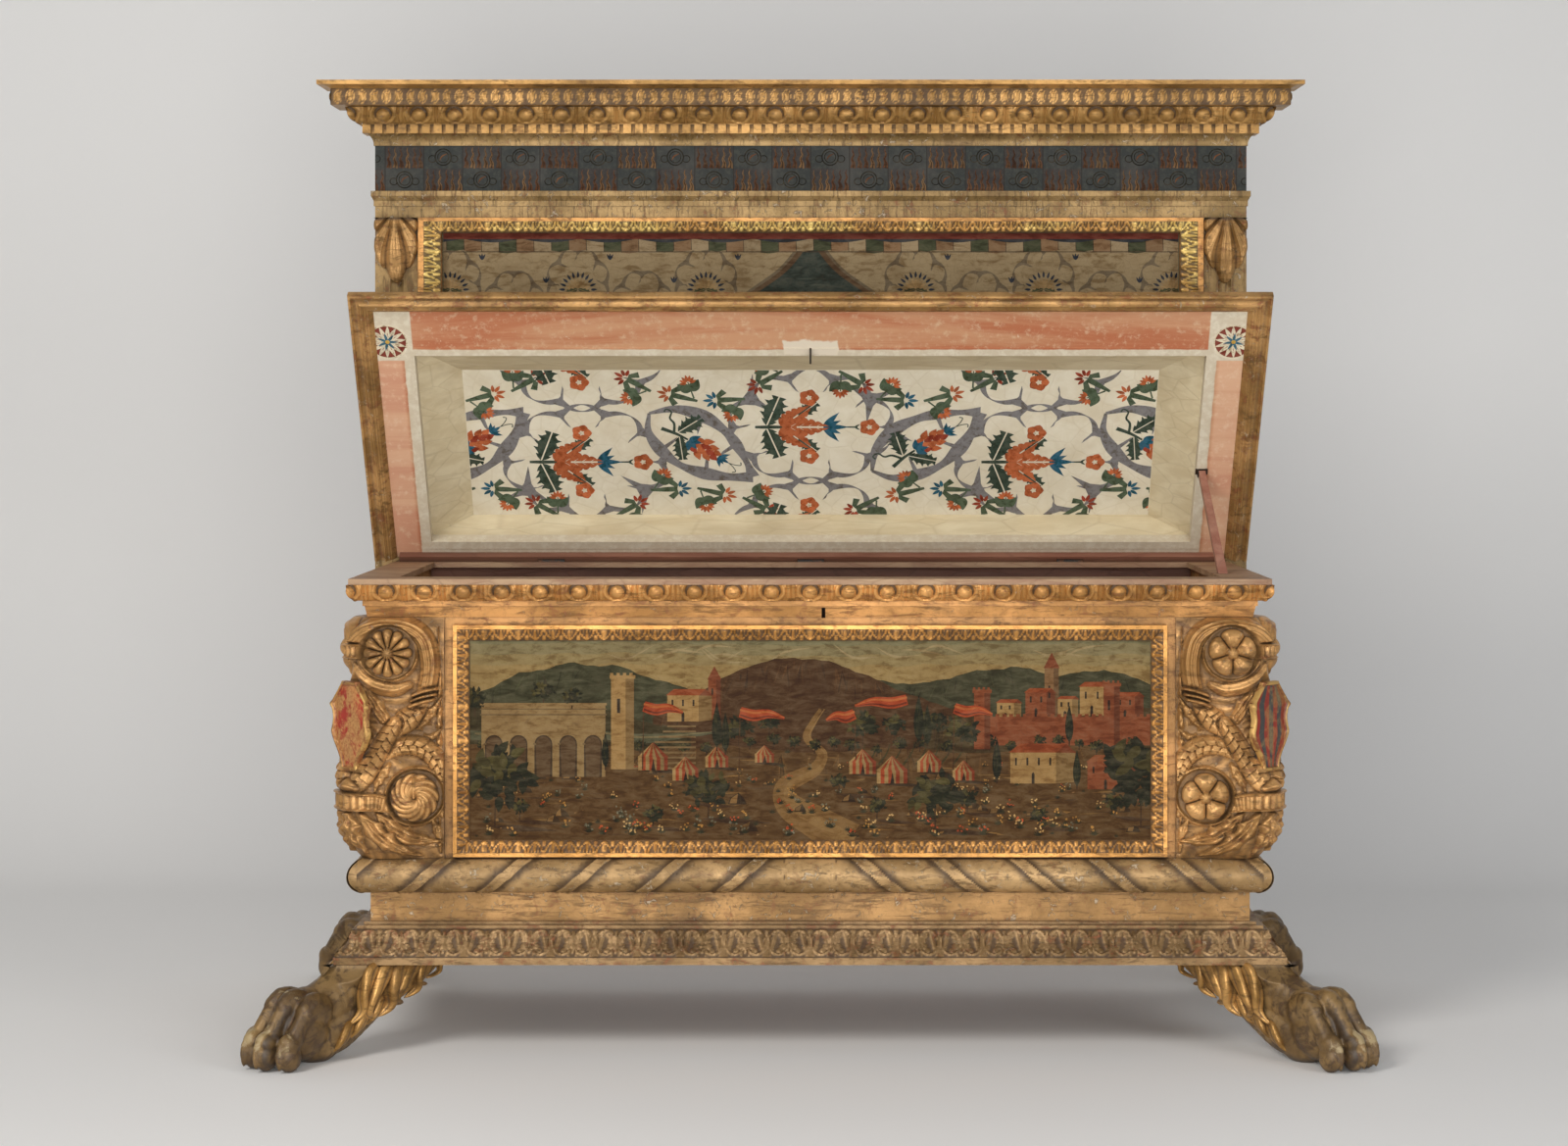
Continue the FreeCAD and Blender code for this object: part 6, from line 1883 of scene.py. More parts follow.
def cone(picture, place):
    """A scaled fruit between two blue cups, with leaves at its foot."""
    tendril(picture, place, [(-66, -8, 4.2), (-36, -2, 3.2), (-8, 0, 2.0)], INK_GREEN)
    picture.spray(place_after(place, -34, 4, 1.25), toothed_leaf(58, 44, 5), tinted(INK_GREEN), 3)
    picture.spray(place_after(place, -26, -4, -0.85), toothed_leaf(56, 38, 5), tinted(INK_GREEN), 3)
    rows = ((4, 3, 22), (18, 4, 26), (34, 3, 24), (48, 2, 20))
    for order, (start, count, length) in enumerate(rows):
        for index in range(count):
            lean = (index - (count - 1) / 2) * 0.42
            scale = place_after(place, start, math.sin(lean) * 20, lean)
            colour = RUST if (index + order) % 3 else RED_BROWN
            picture.spray(scale, [petal_shape(length, 15, 0.6)], tinted(colour, 0.16), 5 - order * 0.5)
            picture.spray(scale, [petal_shape(length * 0.96, 16.5, 0.6, -0.6)], CREAM, 4.7 - order * 0.5)
    cup(picture, place_after(place, 64, 0), BLUE, 28, 26)
    for lean in (-1.0, -0.35, 0.35, 1.0):
        picture.spray(place_after(place, -6, 0, lean), [petal_shape(26, 13, 0.5)], tinted(BLUE), 6)
    for side in (-1, 1):
        tendril(picture, place, [(90, 0, 0.8), (102, side * 3, 0.9), (112, side * 9, 0.9),
                                 (108, side * 15, 1.2)], INK_GREEN)
    tendril(picture, place, [(-40, -2, 2.6), (-52, 16, 2.4), (-66, 22, 2.0), (-72, 36, 1.6), (-84, 36, 1.4),
                             (-84, 28, 1.8)], INK_GREEN)


def branch(picture, points, flowers):
    """A garland: horn-shaped calyces threaded end to end, each with its flower and round leaves."""
    line = smooth_path(points, 12)
    steps = np.hypot(*(line[1:, :2] - line[:-1, :2]).T)
    along = np.concatenate([[0], np.cumsum(steps)])
    for order in range(flowers):
        at = along[-1] * (order + 0.5) / flowers
        x = float(np.interp(at, along, line[:, 0]))
        y = float(np.interp(at, along, line[:, 1]))
        ahead_x = float(np.interp(at + 6, along, line[:, 0])) - x
        ahead_y = float(np.interp(at + 6, along, line[:, 1])) - y
        turn = math.atan2(ahead_y, ahead_x)
        place = (x, y, turn, 1.55)
        side = 1 if order % 2 else -1
        horn = [(-36, 2.0), (-14, 4.2), (0, 4.6), (-10, 12), (-3, 19), (6, 8.5), (4, 0), (6, -8.5),
                (-3, -19), (-10, -12), (0, -4.6), (-14, -4.2), (-36, -2.0)]
        picture.spray(place_after(place, -4, 0), [horn], tinted(LEAF_GREEN), 3)
        colour = BLUE if order % 3 == 1 else (RUST if order % 3 else RED_BROWN)
        half_flower(picture, place_after(place, 3, 0), colour, 5, 1.35, 18)
        stem = place_after(place, -34, side * 3, side * 1.0)
        tendril(picture, stem, [(0, 0, 1.4), (16, 0, 1.0), (30, 0, 0.8)], LEAF_GREEN)
        for lean in (-0.75, 0.75):
            leaf = place_after(stem, 13, 0, lean)
            picture.spray(leaf, [petal_shape(24, 17, 0.35)], tinted(LEAF_GREEN), 3)
        half_flower(picture, place_after(stem, 27, 0), RUST, 7, 1.3, 15)


def lobed_medallion(picture, place, length, width, lobes, thickness=12.0, colour=BAND_GREY):
    """A pointed oval of grey band: rounded scallops inside it and a spike between each two."""
    count = lobes * 2
    corners = []
    for index in range(count + 1):
        share = index / count
        turn = 2 * math.pi * share
        point = abs(math.cos(turn)) ** 6 * 0.10
        corners.append((math.cos(turn) * (0.90 + point) * length / 2, math.sin(turn) * width / 2))
    for index in range(count):
        first, last = corners[index], corners[index + 1]
        middle = ((first[0] + last[0]) / 2, (first[1] + last[1]) / 2)
        chord = math.hypot(last[0] - first[0], last[1] - first[1])
        out_length = math.hypot(*middle) or 1.0
        bulge = chord * 0.30 / out_length
        rows = []
        for step in range(7):
            t = step / 6
            x = first[0] + (last[0] - first[0]) * t
            y = first[1] + (last[1] - first[1]) * t
            swell = math.sin(math.pi * t) ** 0.8
            moved = place_after(place, x + middle[0] * bulge * swell, y + middle[1] * bulge * swell)
            swing = abs(math.cos(math.pi * t)) ** 1.5
            rows.append((moved[0], moved[1], (1.3 + thickness * 0.42 * swing) * place[3]))
        picture.band(rows, colour, 1, 4)
        spike = place_after(place, first[0], first[1], math.atan2(-first[1], -first[0]))
        reach = chord * 0.42
        hook = 1 if index % 2 else -1
        thorn = [(-thickness * 0.9, -9), (0, -7.5), (reach * 0.35, -2.4), (reach * 0.8, hook * 2.6),
                 (reach, hook * 8), (reach * 0.62, hook * 5.4), (reach * 0.3, 3.0), (0, 7.5),
                 (-thickness * 0.9, 9)]
        picture.spray(spike, [thorn], colour, 1)


def junction(picture, place, size=30.0):
    """Where bands meet: a three-cornered grey patch with hollowed sides."""
    outline = []
    for index in range(3):
        turn = index * 2 * math.pi / 3
        later = turn + math.pi / 3
        outline.append((size * math.cos(turn), size * math.sin(turn)))
        outline.append((size * 0.30 * math.cos(turn + 0.42), size * 0.30 * math.sin(turn + 0.42)))
        outline.append((size * 0.30 * math.cos(later + 0.62), size * 0.30 * math.sin(later + 0.62)))
    picture.spray(place, [outline], BAND_GREY, 1)


def lid_place(height):
    """Places on the lid: sideways and along it from the hinge, on a board at this height."""
    return lambda x, y, lift: lid_point(x * MM, y * MM, (height - lift) * MM)


def lid_floor_pattern():
    """Pointed medallions with sprays by turns upright and leaning, and garlands between them."""
    half, near, far, height = 785.0, 64.0, 468.0, 98.0
    picture = Painting((-half, near), (half, far))
    step, middle_y = 520.0, 262.0
    for column in range(-2, 3):
        x = column * step
        rise = 1 if column % 2 == 0 else -1
        main_y = 263.0 + rise * 49.0
        for y in (main_y, main_y - rise * 302.0):
            lobed_medallion(picture, (x, y, 0.0, 1.0), 350, 276, 5, 15.0)
            bloom(picture, (x - 34, y, 0.0, 1.50))
        between = x + step / 2
        tilt = (between, middle_y, rise * 0.62, 1.16)
        wide = [(-120, 8, 2), (-84, 46, 6), (-30, 64, 10), (24, 60, 6), (62, 46, 8), (104, 22, 4),
                (134, 0, 9)]
        narrow = [(134, 0, 9), (98, -26, 6), (52, -48, 10), (0, -60, 5), (-52, -52, 9), (-96, -30, 5),
                  (-120, 8, 2)]
        hook = [(-4, -12), (10, -4), (30, 0), (44, 7), (28, 6), (10, 5), (-4, 12)]
        for rows in (wide, narrow):
            tendril(picture, tilt, [(a, b, half * 1.5) for a, b, half in rows], BAND_GREY, 1)
        for spot_x, spot_y, turn in ((-30, 62, -1.35), (62, 44, -2.0), (52, -46, 2.0), (-52, -50, 1.2)):
            picture.spray(place_after(tilt, spot_x, spot_y, turn), [hook], BAND_GREY, 1)
        cone(picture, place_after(tilt, -14, 0, 0, 1.0))
        junction(picture, (between - 124, middle_y + rise * 128, 0.4, 2.3))
        junction(picture, (between + 124, middle_y - rise * 128, 1.5, 2.3))
        for way in (1, -1):
            branch(picture, [(between + way * across, middle_y + way * rise * up, 0)
                             for across, up in ((-190, 198), (-60, 126), (90, 150), (200, 210))], 4)
    picture.made("lid_floor_pattern", lid_place(height), "lid", "painted_lid", tempera_paint)


def roundel_flowers():
    """A small blue flower with green leaves in each corner medal of the lid."""
    picture = Painting((-1000, 540), (1000, 660))
    disc = [(math.cos(k * math.pi / 16), math.sin(k * math.pi / 16)) for k in range(32)]
    for side in (-1, 1):
        centre = (side * 934.0, 597.0, 0.3 * side, 1.0)
        picture.spray(place_after(centre, 0, 0, 0, 45), [disc], (0.700, 0.610, 0.440), 0)
        picture.spray(place_after(centre, 0, 0, 0, 41), [disc], (0.210, 0.040, 0.026), 1)
        for index in range(14):
            turned = place_after(centre, 0, 0, index * math.pi / 7)
            picture.spray(turned, [petal_shape(40, 10.2, 0.1, 2)], tinted((0.660, 0.590, 0.430)), 2)
            picture.spray(turned, [petal_shape(9, 1.4, 0.2, 16)], (0.260, 0.045, 0.028), 3)
        for index in range(7):
            turned = place_after(centre, 0, 0, index * math.pi / 3.5 + 0.3)
            picture.spray(turned, [petal_shape(24, 6.5, 0.4)], tinted((0.040, 0.125, 0.175)), 4)
        picture.spray(place_after(centre, 0, 0, 0, 5), [disc], (0.560, 0.340, 0.060), 5)
    flange_height = 18.0
    picture.made("lid_corner_flowers", lid_place(flange_height), "lid", "painted_lid", tempera_paint)


lid_floor_pattern()
roundel_flowers()


# Painted boards: a plain landscape with buildings, a hanging cloth, and the frieze of flames and scrolls

INK = (0.030, 0.022, 0.016)


def board_place(face_y):
    """Places on an upright board with its painted face at face_y."""
    return lambda x, y, lift: Vector((x * MM, face_y - lift * MM, y * MM))


def hill(picture, left, right, foot, tops, colour, level, strokes=0):
    """A slope through the given heights, with brush strokes that run down it."""
    rise = np.interp(np.linspace(0, 1, 49), np.linspace(0, 1, len(tops)), tops)
    xs = np.linspace(left, right, 49)
    rise = rise + 2.2 * np.sin(xs / 17.0) + 1.3 * np.sin(xs / 6.1 + 1)
    picture.fill([(left, foot)] + [(right, foot)] + list(zip(xs[::-1], rise[::-1])), colour, level)
    for _ in range(strokes):
        index = chance.randrange(2, 46)
        x, top = xs[index], rise[index] - chance.uniform(2, 10)
        lean = chance.uniform(-14, 14) + (index - 24) * 0.6
        length = min(chance.uniform(14, 60), max(6.0, top - foot - 4))
        shade = tinted(colour, 0.55)
        picture.band([(x, top, 0.3), (x + lean * 0.5, top - length * 0.5, chance.uniform(0.8, 2.2)),
                      (x + lean, top - length, 0.2)], shade, level + 0.4, 4)


def house(picture, x, foot, wide, tall, wall, roof, level, windows=2):
    """A plain house: a lit front, a shaded end, a low tiled roof, a door and windows."""
    far, end = x + wide, wide * 0.42
    eave = foot + tall
    top = eave + end * 0.44
    picture.block(x, foot, wide, tall, wall, level)
    picture.fill([(far, foot), (far + end, foot + 3), (far + end, eave - 1),
                  (far + end / 2, eave + end * 0.40), (far, eave)],
                 tuple(part * 0.62 for part in wall), level)
    picture.fill([(x - 3, eave - 1), (far + 1, eave - 1), (far + end / 2 + 1, top), (x + end / 2, top)],
                 roof, level + 0.3)
    picture.fill([(far + 1, eave - 1), (far + end + 3, eave - 2), (far + end / 2 + 1, top)],
                 tuple(part * 0.6 for part in roof), level + 0.2)
    for index in range(windows):
        middle = x + wide * (index + 0.5) / windows
        picture.block(middle - 2, foot + tall * 0.58, 4, tall * 0.24, INK, level + 0.3)
    door = x + wide * 0.5
    picture.fill([(door - 3, foot), (door + 3, foot), (door + 3, foot + tall * 0.30),
                  (door, foot + tall * 0.37), (door - 3, foot + tall * 0.30)], INK, level + 0.3)


def tower(picture, x, foot, wide, tall, wall, level, pointed=False):
    """A square tower with a jutting battlement, or with a pointed roof."""
    lit, head = wide * 0.64, foot + tall
    picture.block(x, foot, lit, tall, wall, level)
    picture.block(x + lit, foot, wide - lit, tall, tuple(part * 0.60 for part in wall), level)
    if pointed:
        picture.fill([(x - 2, head), (x + wide + 2, head), (x + wide / 2, head + wide * 1.1)],
                     (0.250, 0.085, 0.045), level + 0.2)
    else:
        picture.block(x - 3, head, wide + 6, 7, wall, level + 0.2)
        for index in range(4):
            picture.block(x - 2 + (wide + 6) * index / 4, head + 7, wide / 7, 5, wall, level + 0.2)
    picture.block(x + wide * 0.26, foot + tall * 0.62, wide * 0.14, tall * 0.16, INK, level + 0.3)


def arcade(picture, x, foot, bays, bay, tall, level):
    """A pale open loggia: round arches on slim piers below a cornice."""
    stone, shade, deep = (0.330, 0.270, 0.165), (0.200, 0.165, 0.105), (0.060, 0.044, 0.030)
    wide = bays * bay
    spring, half = foot + tall * 0.46, bay * 0.36
    picture.block(x, foot, wide, tall, stone, level)
    for index in range(bays):
        middle = x + (index + 0.5) * bay
        left, right = middle - half, middle + half
        arch = [(middle + half * math.cos(math.pi * k / 10), spring + half * math.sin(math.pi * k / 10))
                for k in range(11)]
        picture.fill([(left, foot), (right, foot)] + arch, deep, level + 0.2)
        inner = [(px * 0.86 + middle * 0.14, pz - 3) for px, pz in arch]
        picture.fill([(left + 5, foot), (right - 5, foot)] + inner, (0.120, 0.085, 0.052), level + 0.3)
        picture.block(left - 3, spring - 2, 6, 4, shade, level + 0.4)
    for rise, high, colour in ((0.86, 3, shade), (0.94, 2.4, shade), (1.0, 5, stone)):
        picture.block(x - 3, foot + tall * rise, wide + 6, high, colour, level + 0.4)


def tree(picture, x, foot, size, level, tall=False):
    """A clipped evergreen, or a broad tree built of dark leaves with lit edges."""
    picture.band([(x, foot, 1.6), (x + 1, foot + size * 0.5, 1.1)], (0.060, 0.035, 0.018), level, 3)
    if tall:
        picture.spray((x, foot + size * 0.12, math.pi / 2, 1.0), [petal_shape(size * 1.6, size * 0.36, 0.55)],
                      tinted((0.018, 0.026, 0.014), 0.2), level + 0.2)
        for _ in range(10):
            spot = (x + chance.uniform(-0.12, 0.04) * size, foot + chance.uniform(0.3, 1.3) * size,
                    math.pi / 2, 1.0)
            picture.spray(spot, [petal_shape(size * 0.22, 1.6, 0.6)], (0.050, 0.062, 0.028), level + 0.4)
        return
    for index in range(70):
        turn = chance.uniform(0, 2 * math.pi)
        away = chance.random() ** 0.6 * size * 0.46
        spot = (x + away * math.cos(turn) * 1.15, foot + size * 0.84 + away * math.sin(turn) * 0.84,
                chance.uniform(0, 6.28), 1.0)
        lit = (0.075, 0.080, 0.030) if index > 44 and math.cos(turn + 0.8) < 0.1 else (0.018, 0.026, 0.012)
        picture.spray(spot, [petal_shape(size * 0.27, size * 0.15, 0.3)], tinted(lit, 0.35),
                      level + 0.2 + index * 0.004)


def tuft(picture, x, foot, size, level):
    for lean in (-1.1, -0.6, -0.2, 0.25, 0.7, 1.15):
        blade = petal_shape(size * (1 - 0.2 * abs(lean)), size * 0.17, 0.8)
        picture.spray((x, foot, math.pi / 2 + lean, 1.0), [blade], tinted((0.030, 0.036, 0.016), 0.3), level)


def painted_ground(picture, low, high, foot, head, count):
    """Trodden earth: long soft shadows, pebbles and small plants."""
    for _ in range(count):
        x, z = chance.uniform(low, high), chance.uniform(foot, head)
        long = chance.uniform(16, 90)
        kind = chance.random()
        if kind < 0.55:
            tone = (0.105, 0.062, 0.024) if kind < 0.35 else (0.235, 0.158, 0.064)
            picture.band([(x, z, 0.2), (x + long * 0.5, z + chance.uniform(-2, 2), chance.uniform(0.8, 2.6)),
                          (x + long, z + chance.uniform(-3, 3), 0.2)], tinted(tone, 0.3), 2, 4)
        elif kind < 0.85:
            tuft(picture, x, z, chance.uniform(6, 13), 2.6)
        else:
            picture.spray((x, z, 0.2, 1.0), [petal_shape(chance.uniform(3, 7), 2.6)],
                          (0.290, 0.200, 0.110), 2.5)


def tent(picture, x, foot, wide, tall):
    """A round tent in stripes, dark inside its door."""
    top, eave = foot + tall, foot + tall * 0.52
    stripes = 8
    for index in range(stripes):
        left = x - wide / 2 + index * wide / stripes
        right = left + wide / stripes
        colour = (0.430, 0.090, 0.035) if index % 2 else (0.450, 0.360, 0.210)
        shade = 1 - 0.5 * index / stripes
        colour = tuple(part * shade for part in colour)
        picture.block(left, foot, right - left, eave - foot, colour, 4.1)
        picture.fill([(left - 1.5, eave - 3), (right + 1.5, eave - 3), (x + 1, top), (x - 1, top)],
                     colour, 4.2)
    picture.fill([(x - 4, foot), (x + 5, foot), (x + 1, foot + tall * 0.42)], (0.030, 0.020, 0.012), 4.3)
    picture.band([(x - wide * 0.4, foot - 1, 0.5), (x + wide * 0.5, foot - 3, 3.4),
                  (x + wide * 1.1, foot - 5, 0.4)], (0.045, 0.028, 0.012), 2.4, 4)


def pennant(picture, x, foot, tall, way):
    """A plain red swallow-tailed flag on its pole."""
    top = foot + tall
    picture.band([(x, foot, 1.4), (x + way * 3, top + 4, 0.9)], (0.090, 0.050, 0.020), 5.0, 3)
    long = tall * 0.62
    cloth = [(x + way * (3 + long * share), top - fall, half)
             for share, fall, half in ((0, 0, 11), (0.3, 7, 12), (0.65, 4, 9), (1, 13, 2.5))]
    picture.band(cloth, (0.440, 0.085, 0.030), 5.1, 6)
    picture.band([(a, b + half * 0.45, half * 0.20) for a, b, half in cloth], (0.560, 0.190, 0.070), 5.3, 6)
    picture.band([(a, b - half * 0.55, half * 0.16) for a, b, half in cloth], (0.180, 0.035, 0.015), 5.3, 6)


def rock(picture, x, foot, size):
    """A boulder with a lit side and a dark side."""
    tilt = chance.uniform(-0.2, 0.2) * size
    top = foot + size * chance.uniform(0.5, 0.8)
    picture.fill([(x - size * 0.6, foot), (x + size * 0.6, foot), (x + size * 0.45, foot + size * 0.35),
                  (x + tilt, top), (x - size * 0.45, foot + size * 0.40)],
                 tinted((0.048, 0.032, 0.015), 0.3), 2.7)
    picture.fill([(x - size * 0.5, foot + 2), (x - size * 0.05, foot + 2), (x + tilt - 1, top - 2),
                  (x - size * 0.40, foot + size * 0.38)], tinted((0.230, 0.155, 0.070), 0.3), 2.85)


def blossom(picture, x, foot, size, tone):
    """A small plant in flower."""
    tuft(picture, x, foot, size, 2.9)
    for _ in range(5):
        spot = (x + chance.uniform(-0.6, 0.6) * size, foot + chance.uniform(0.4, 1.2) * size,
                chance.uniform(0, 6.28), 1.0)
        picture.spray(spot, [petal_shape(size * 0.34, size * 0.24, 0.5)], tinted(tone, 0.25), 3.05)


def front_landscape():
    """A plain view: hills, a walled town, a loggia, tents and trees on both sides of a winding road."""
    picture = Painting((-714.0, 442.0), (714.0, 859.0))
    sky = [(842, (0.235, 0.275, 0.220)), (822, (0.275, 0.290, 0.215)), (800, (0.330, 0.315, 0.205)),
           (778, (0.370, 0.325, 0.190))]
    for foot, colour in sky:
        hill(picture, -716, 716, foot - 40, [foot + rise for rise in (30, 34, 27, 32, 30)], colour, 0)
    for _ in range(16):
        x = chance.uniform(-680, 640)
        picture.band([(x, chance.uniform(812, 852), 0.3), (x + 40, chance.uniform(814, 850), 2.4),
                      (x + 96, chance.uniform(812, 852), 0.3)], (0.400, 0.390, 0.300), 0.4, 5)
    hill(picture, -716, -90, 640, [742, 790, 812, 806, 770, 744, 762], (0.060, 0.078, 0.052), 0.6, 30)
    hill(picture, 40, 716, 640, [756, 776, 768, 792, 806, 786, 800, 770], (0.055, 0.070, 0.046), 0.6, 30)
    hill(picture, -330, 350, 620, [700, 752, 806, 826, 812, 770, 730, 708], (0.085, 0.046, 0.018), 1, 90)
    hill(picture, -716, -250, 600, [716, 726, 706, 716, 690, 664], (0.050, 0.048, 0.020), 1.2, 46)
    hill(picture, 240, 716, 600, [672, 704, 690, 716, 706, 722], (0.068, 0.052, 0.020), 1.2, 46)
    hill(picture, -716, 716, 430, [640, 652, 630, 640, 624, 636, 622, 642, 634], (0.120, 0.074, 0.027),
         1.4, 120)
    painted_ground(picture, -714, 690, 446, 624, 230)
    river = [(-716, 662, 9), (-600, 656, 11), (-470, 664, 8), (-360, 654, 10), (-250, 662, 5), (-196, 668, 2)]
    picture.band(river, (0.105, 0.135, 0.110), 2.0, 8)
    picture.band([(x + 12, z + 3, half * 0.22) for x, z, half in river], (0.230, 0.240, 0.180), 2.1, 8)
    for index in range(9):
        x = 92 + index * 26
        picture.band([(x, 600, 2.2), (x + 16, 622, 1.6), (x + 24, 644, 0.8)], (0.052, 0.056, 0.022), 2.0, 4)
    road = [(80, 436, 44), (20, 474, 36), (-44, 514, 28), (-50, 556, 20), (10, 590, 14), (24, 624, 10),
            (-8, 656, 7), (4, 688, 5), (22, 716, 3.4)]
    picture.band(road, (0.250, 0.170, 0.075), 2.2, 10)
    picture.band([(x + 8, z, half * 0.35) for x, z, half in road], (0.300, 0.215, 0.105), 2.35, 10)
    brick, cream, tile = (0.270, 0.090, 0.042), (0.430, 0.330, 0.180), (0.330, 0.090, 0.032)
    wall_top = [(360, 640), (714, 640), (714, 700)]
    for index in range(25):
        x = 706 - index * 14.4
        wall_top += [(x + 8, 700), (x + 8, 706), (x, 706), (x, 700)]
    picture.fill(wall_top + [(360, 700)], brick, 3)
    for x, foot, wide, tall, colour in ((392, 696, 36, 34, cream), (452, 700, 44, 52, brick),
                                        (520, 698, 30, 40, cream), (566, 702, 50, 62, cream),
                                        (640, 698, 42, 46, brick)):
        house(picture, x, foot, wide, tall, colour, tile, 2.6)
    tower(picture, 344, 632, 34, 118, brick, 3.6)
    tower(picture, 492, 636, 30, 166, (0.260, 0.175, 0.105), 2.4, True)
    tower(picture, 616, 632, 34, 132, brick, 3.6)
    house(picture, 420, 560, 96, 66, cream, tile, 4.4, 4)
    house(picture, 582, 548, 76, 58, brick, (0.300, 0.110, 0.050), 4.6, 3)
    arcade(picture, -690, 574, 5, 52, 150, 4)
    tower(picture, -418, 590, 48, 190, cream, 3.8)
    for step in range(9):
        picture.block(-372 + step * 9, 590 + step * 11, 132 - step * 9, 4, (0.230, 0.185, 0.115), 3.9)
    house(picture, -300, 690, 66, 56, cream, tile, 3.2, 3)
    tower(picture, -214, 694, 26, 84, brick, 3.0, True)
    for x, foot, size in ((-560, 724, 40), (-500, 716, 34), (-150, 640, 46), (110, 640, 54), (176, 650, 40),
                          (260, 652, 48), (318, 626, 58), (-86, 660, 34), (690, 560, 60), (-704, 700, 44)):
        tree(picture, x, foot, size, 4)
    for x, foot, size in ((-196, 628, 60), (-178, 620, 52), (228, 640, 62), (246, 634, 54), (544, 640, 50),
                          (392, 560, 56), (560, 548, 48), (-430, 588, 46)):
        tree(picture, x, foot, size, 4.4, True)
    for x, foot in ((-610, 484), (-330, 470), (-240, 520), (140, 486), (330, 500), (480, 470), (640, 492),
                    (60, 540)):
        tree(picture, x, foot, chance.uniform(26, 40), 5)
        picture.band([(x - 6, foot - 2, 0.5), (x + 34, foot - 6, 4.5), (x + 80, foot - 9, 0.4)],
                     (0.070, 0.040, 0.018), 2.3, 5)
    for x, foot, wide, tall in ((-330, 588, 62, 58), (-262, 566, 54, 50), (-196, 594, 48, 44),
                                (110, 580, 56, 52), (172, 560, 64, 58), (250, 584, 50, 46),
                                (-96, 604, 40, 36), (322, 566, 46, 42)):
        tent(picture, x, foot, wide, tall)
    for x, foot, tall, way in ((-352, 590, 132, 1), (-150, 560, 150, 1), (206, 560, 176, -1),
                               (300, 590, 128, 1), (96, 610, 96, -1)):
        pennant(picture, x, foot, tall, way)
    for _ in range(34):
        rock(picture, chance.uniform(-700, 690), chance.uniform(448, 600), chance.uniform(12, 34))
    for index in range(30):
        tree(picture, -700 + index * 47 + chance.uniform(-16, 16), chance.uniform(616, 634),
             chance.uniform(17, 27), 2.8)
    for x, foot, size in ((-662, 470, 128), (694, 470, 140), (-214, 486, 74), (262, 462, 92)):
        tree(picture, x, foot, size, 6)
        picture.band([(x - 10, foot, 1.0), (x + 50, foot - 4, 6.5), (x + 130, foot - 9, 0.6)],
                     (0.064, 0.038, 0.018), 2.3, 5)
    tones = ((0.700, 0.560, 0.330), (0.520, 0.110, 0.040), (0.190, 0.230, 0.230), (0.520, 0.330, 0.110))
    for index in range(150):
        foot = 448 + chance.random() ** 1.3 * 150
        blossom(picture, chance.uniform(-700, 700), foot, 17 - (foot - 448) * 0.055, tones[index % 4])
    picture.made("front_painting", board_place(panel_low.y), "chest", "painted_panel", panel_tempera)


def end_landscapes():
    """Hills and trees on both ends of the chest."""
    face_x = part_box("end_panels")[1].x
    frame_low, frame_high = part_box("end_panel_frames")
    low = (frame_low.y / MM + 34, frame_low.z / MM + 34)
    high = (frame_high.y / MM - 34, frame_high.z / MM - 34)
    middle = (low[0] + high[0]) / 2
    for side, name in ((1, "end_painting_right"), (-1, "end_painting_left")):
        picture = Painting(low, high)
        hill(picture, low[0], high[0], 640, [742, 776, 800, 768, 748], (0.055, 0.070, 0.046), 0.6, 16)
        hill(picture, low[0], high[0], 600, [690, 716, 742, 700, 712], (0.105, 0.052, 0.020), 1, 40)
        hill(picture, low[0], high[0], 430, [640, 622, 636, 628, 640], (0.150, 0.092, 0.034), 1.4, 40)
        painted_ground(picture, low[0], high[0] - 30, 446, 616, 60)
        house(picture, middle - 30, 640, 60, 46, (0.290, 0.220, 0.130), (0.250, 0.085, 0.040), 2.6, 3)
        tower(picture, middle + 44, 630, 26, 90, (0.235, 0.100, 0.060), 2.4)
        for shift, foot, size in ((-90, 636, 50), (86, 620, 46), (-50, 560, 40), (20, 500, 38),
                                  (-100, 480, 34)):
            tree(picture, middle + shift, foot, size, 4, shift > 60)

        def place(x, y, lift):
            flat = x if side > 0 else 2 * middle - x
            return Vector((side * (face_x + lift * MM), flat * MM, y * MM))

        picture.made(name, place, "chest", "painted_panel", panel_tempera)


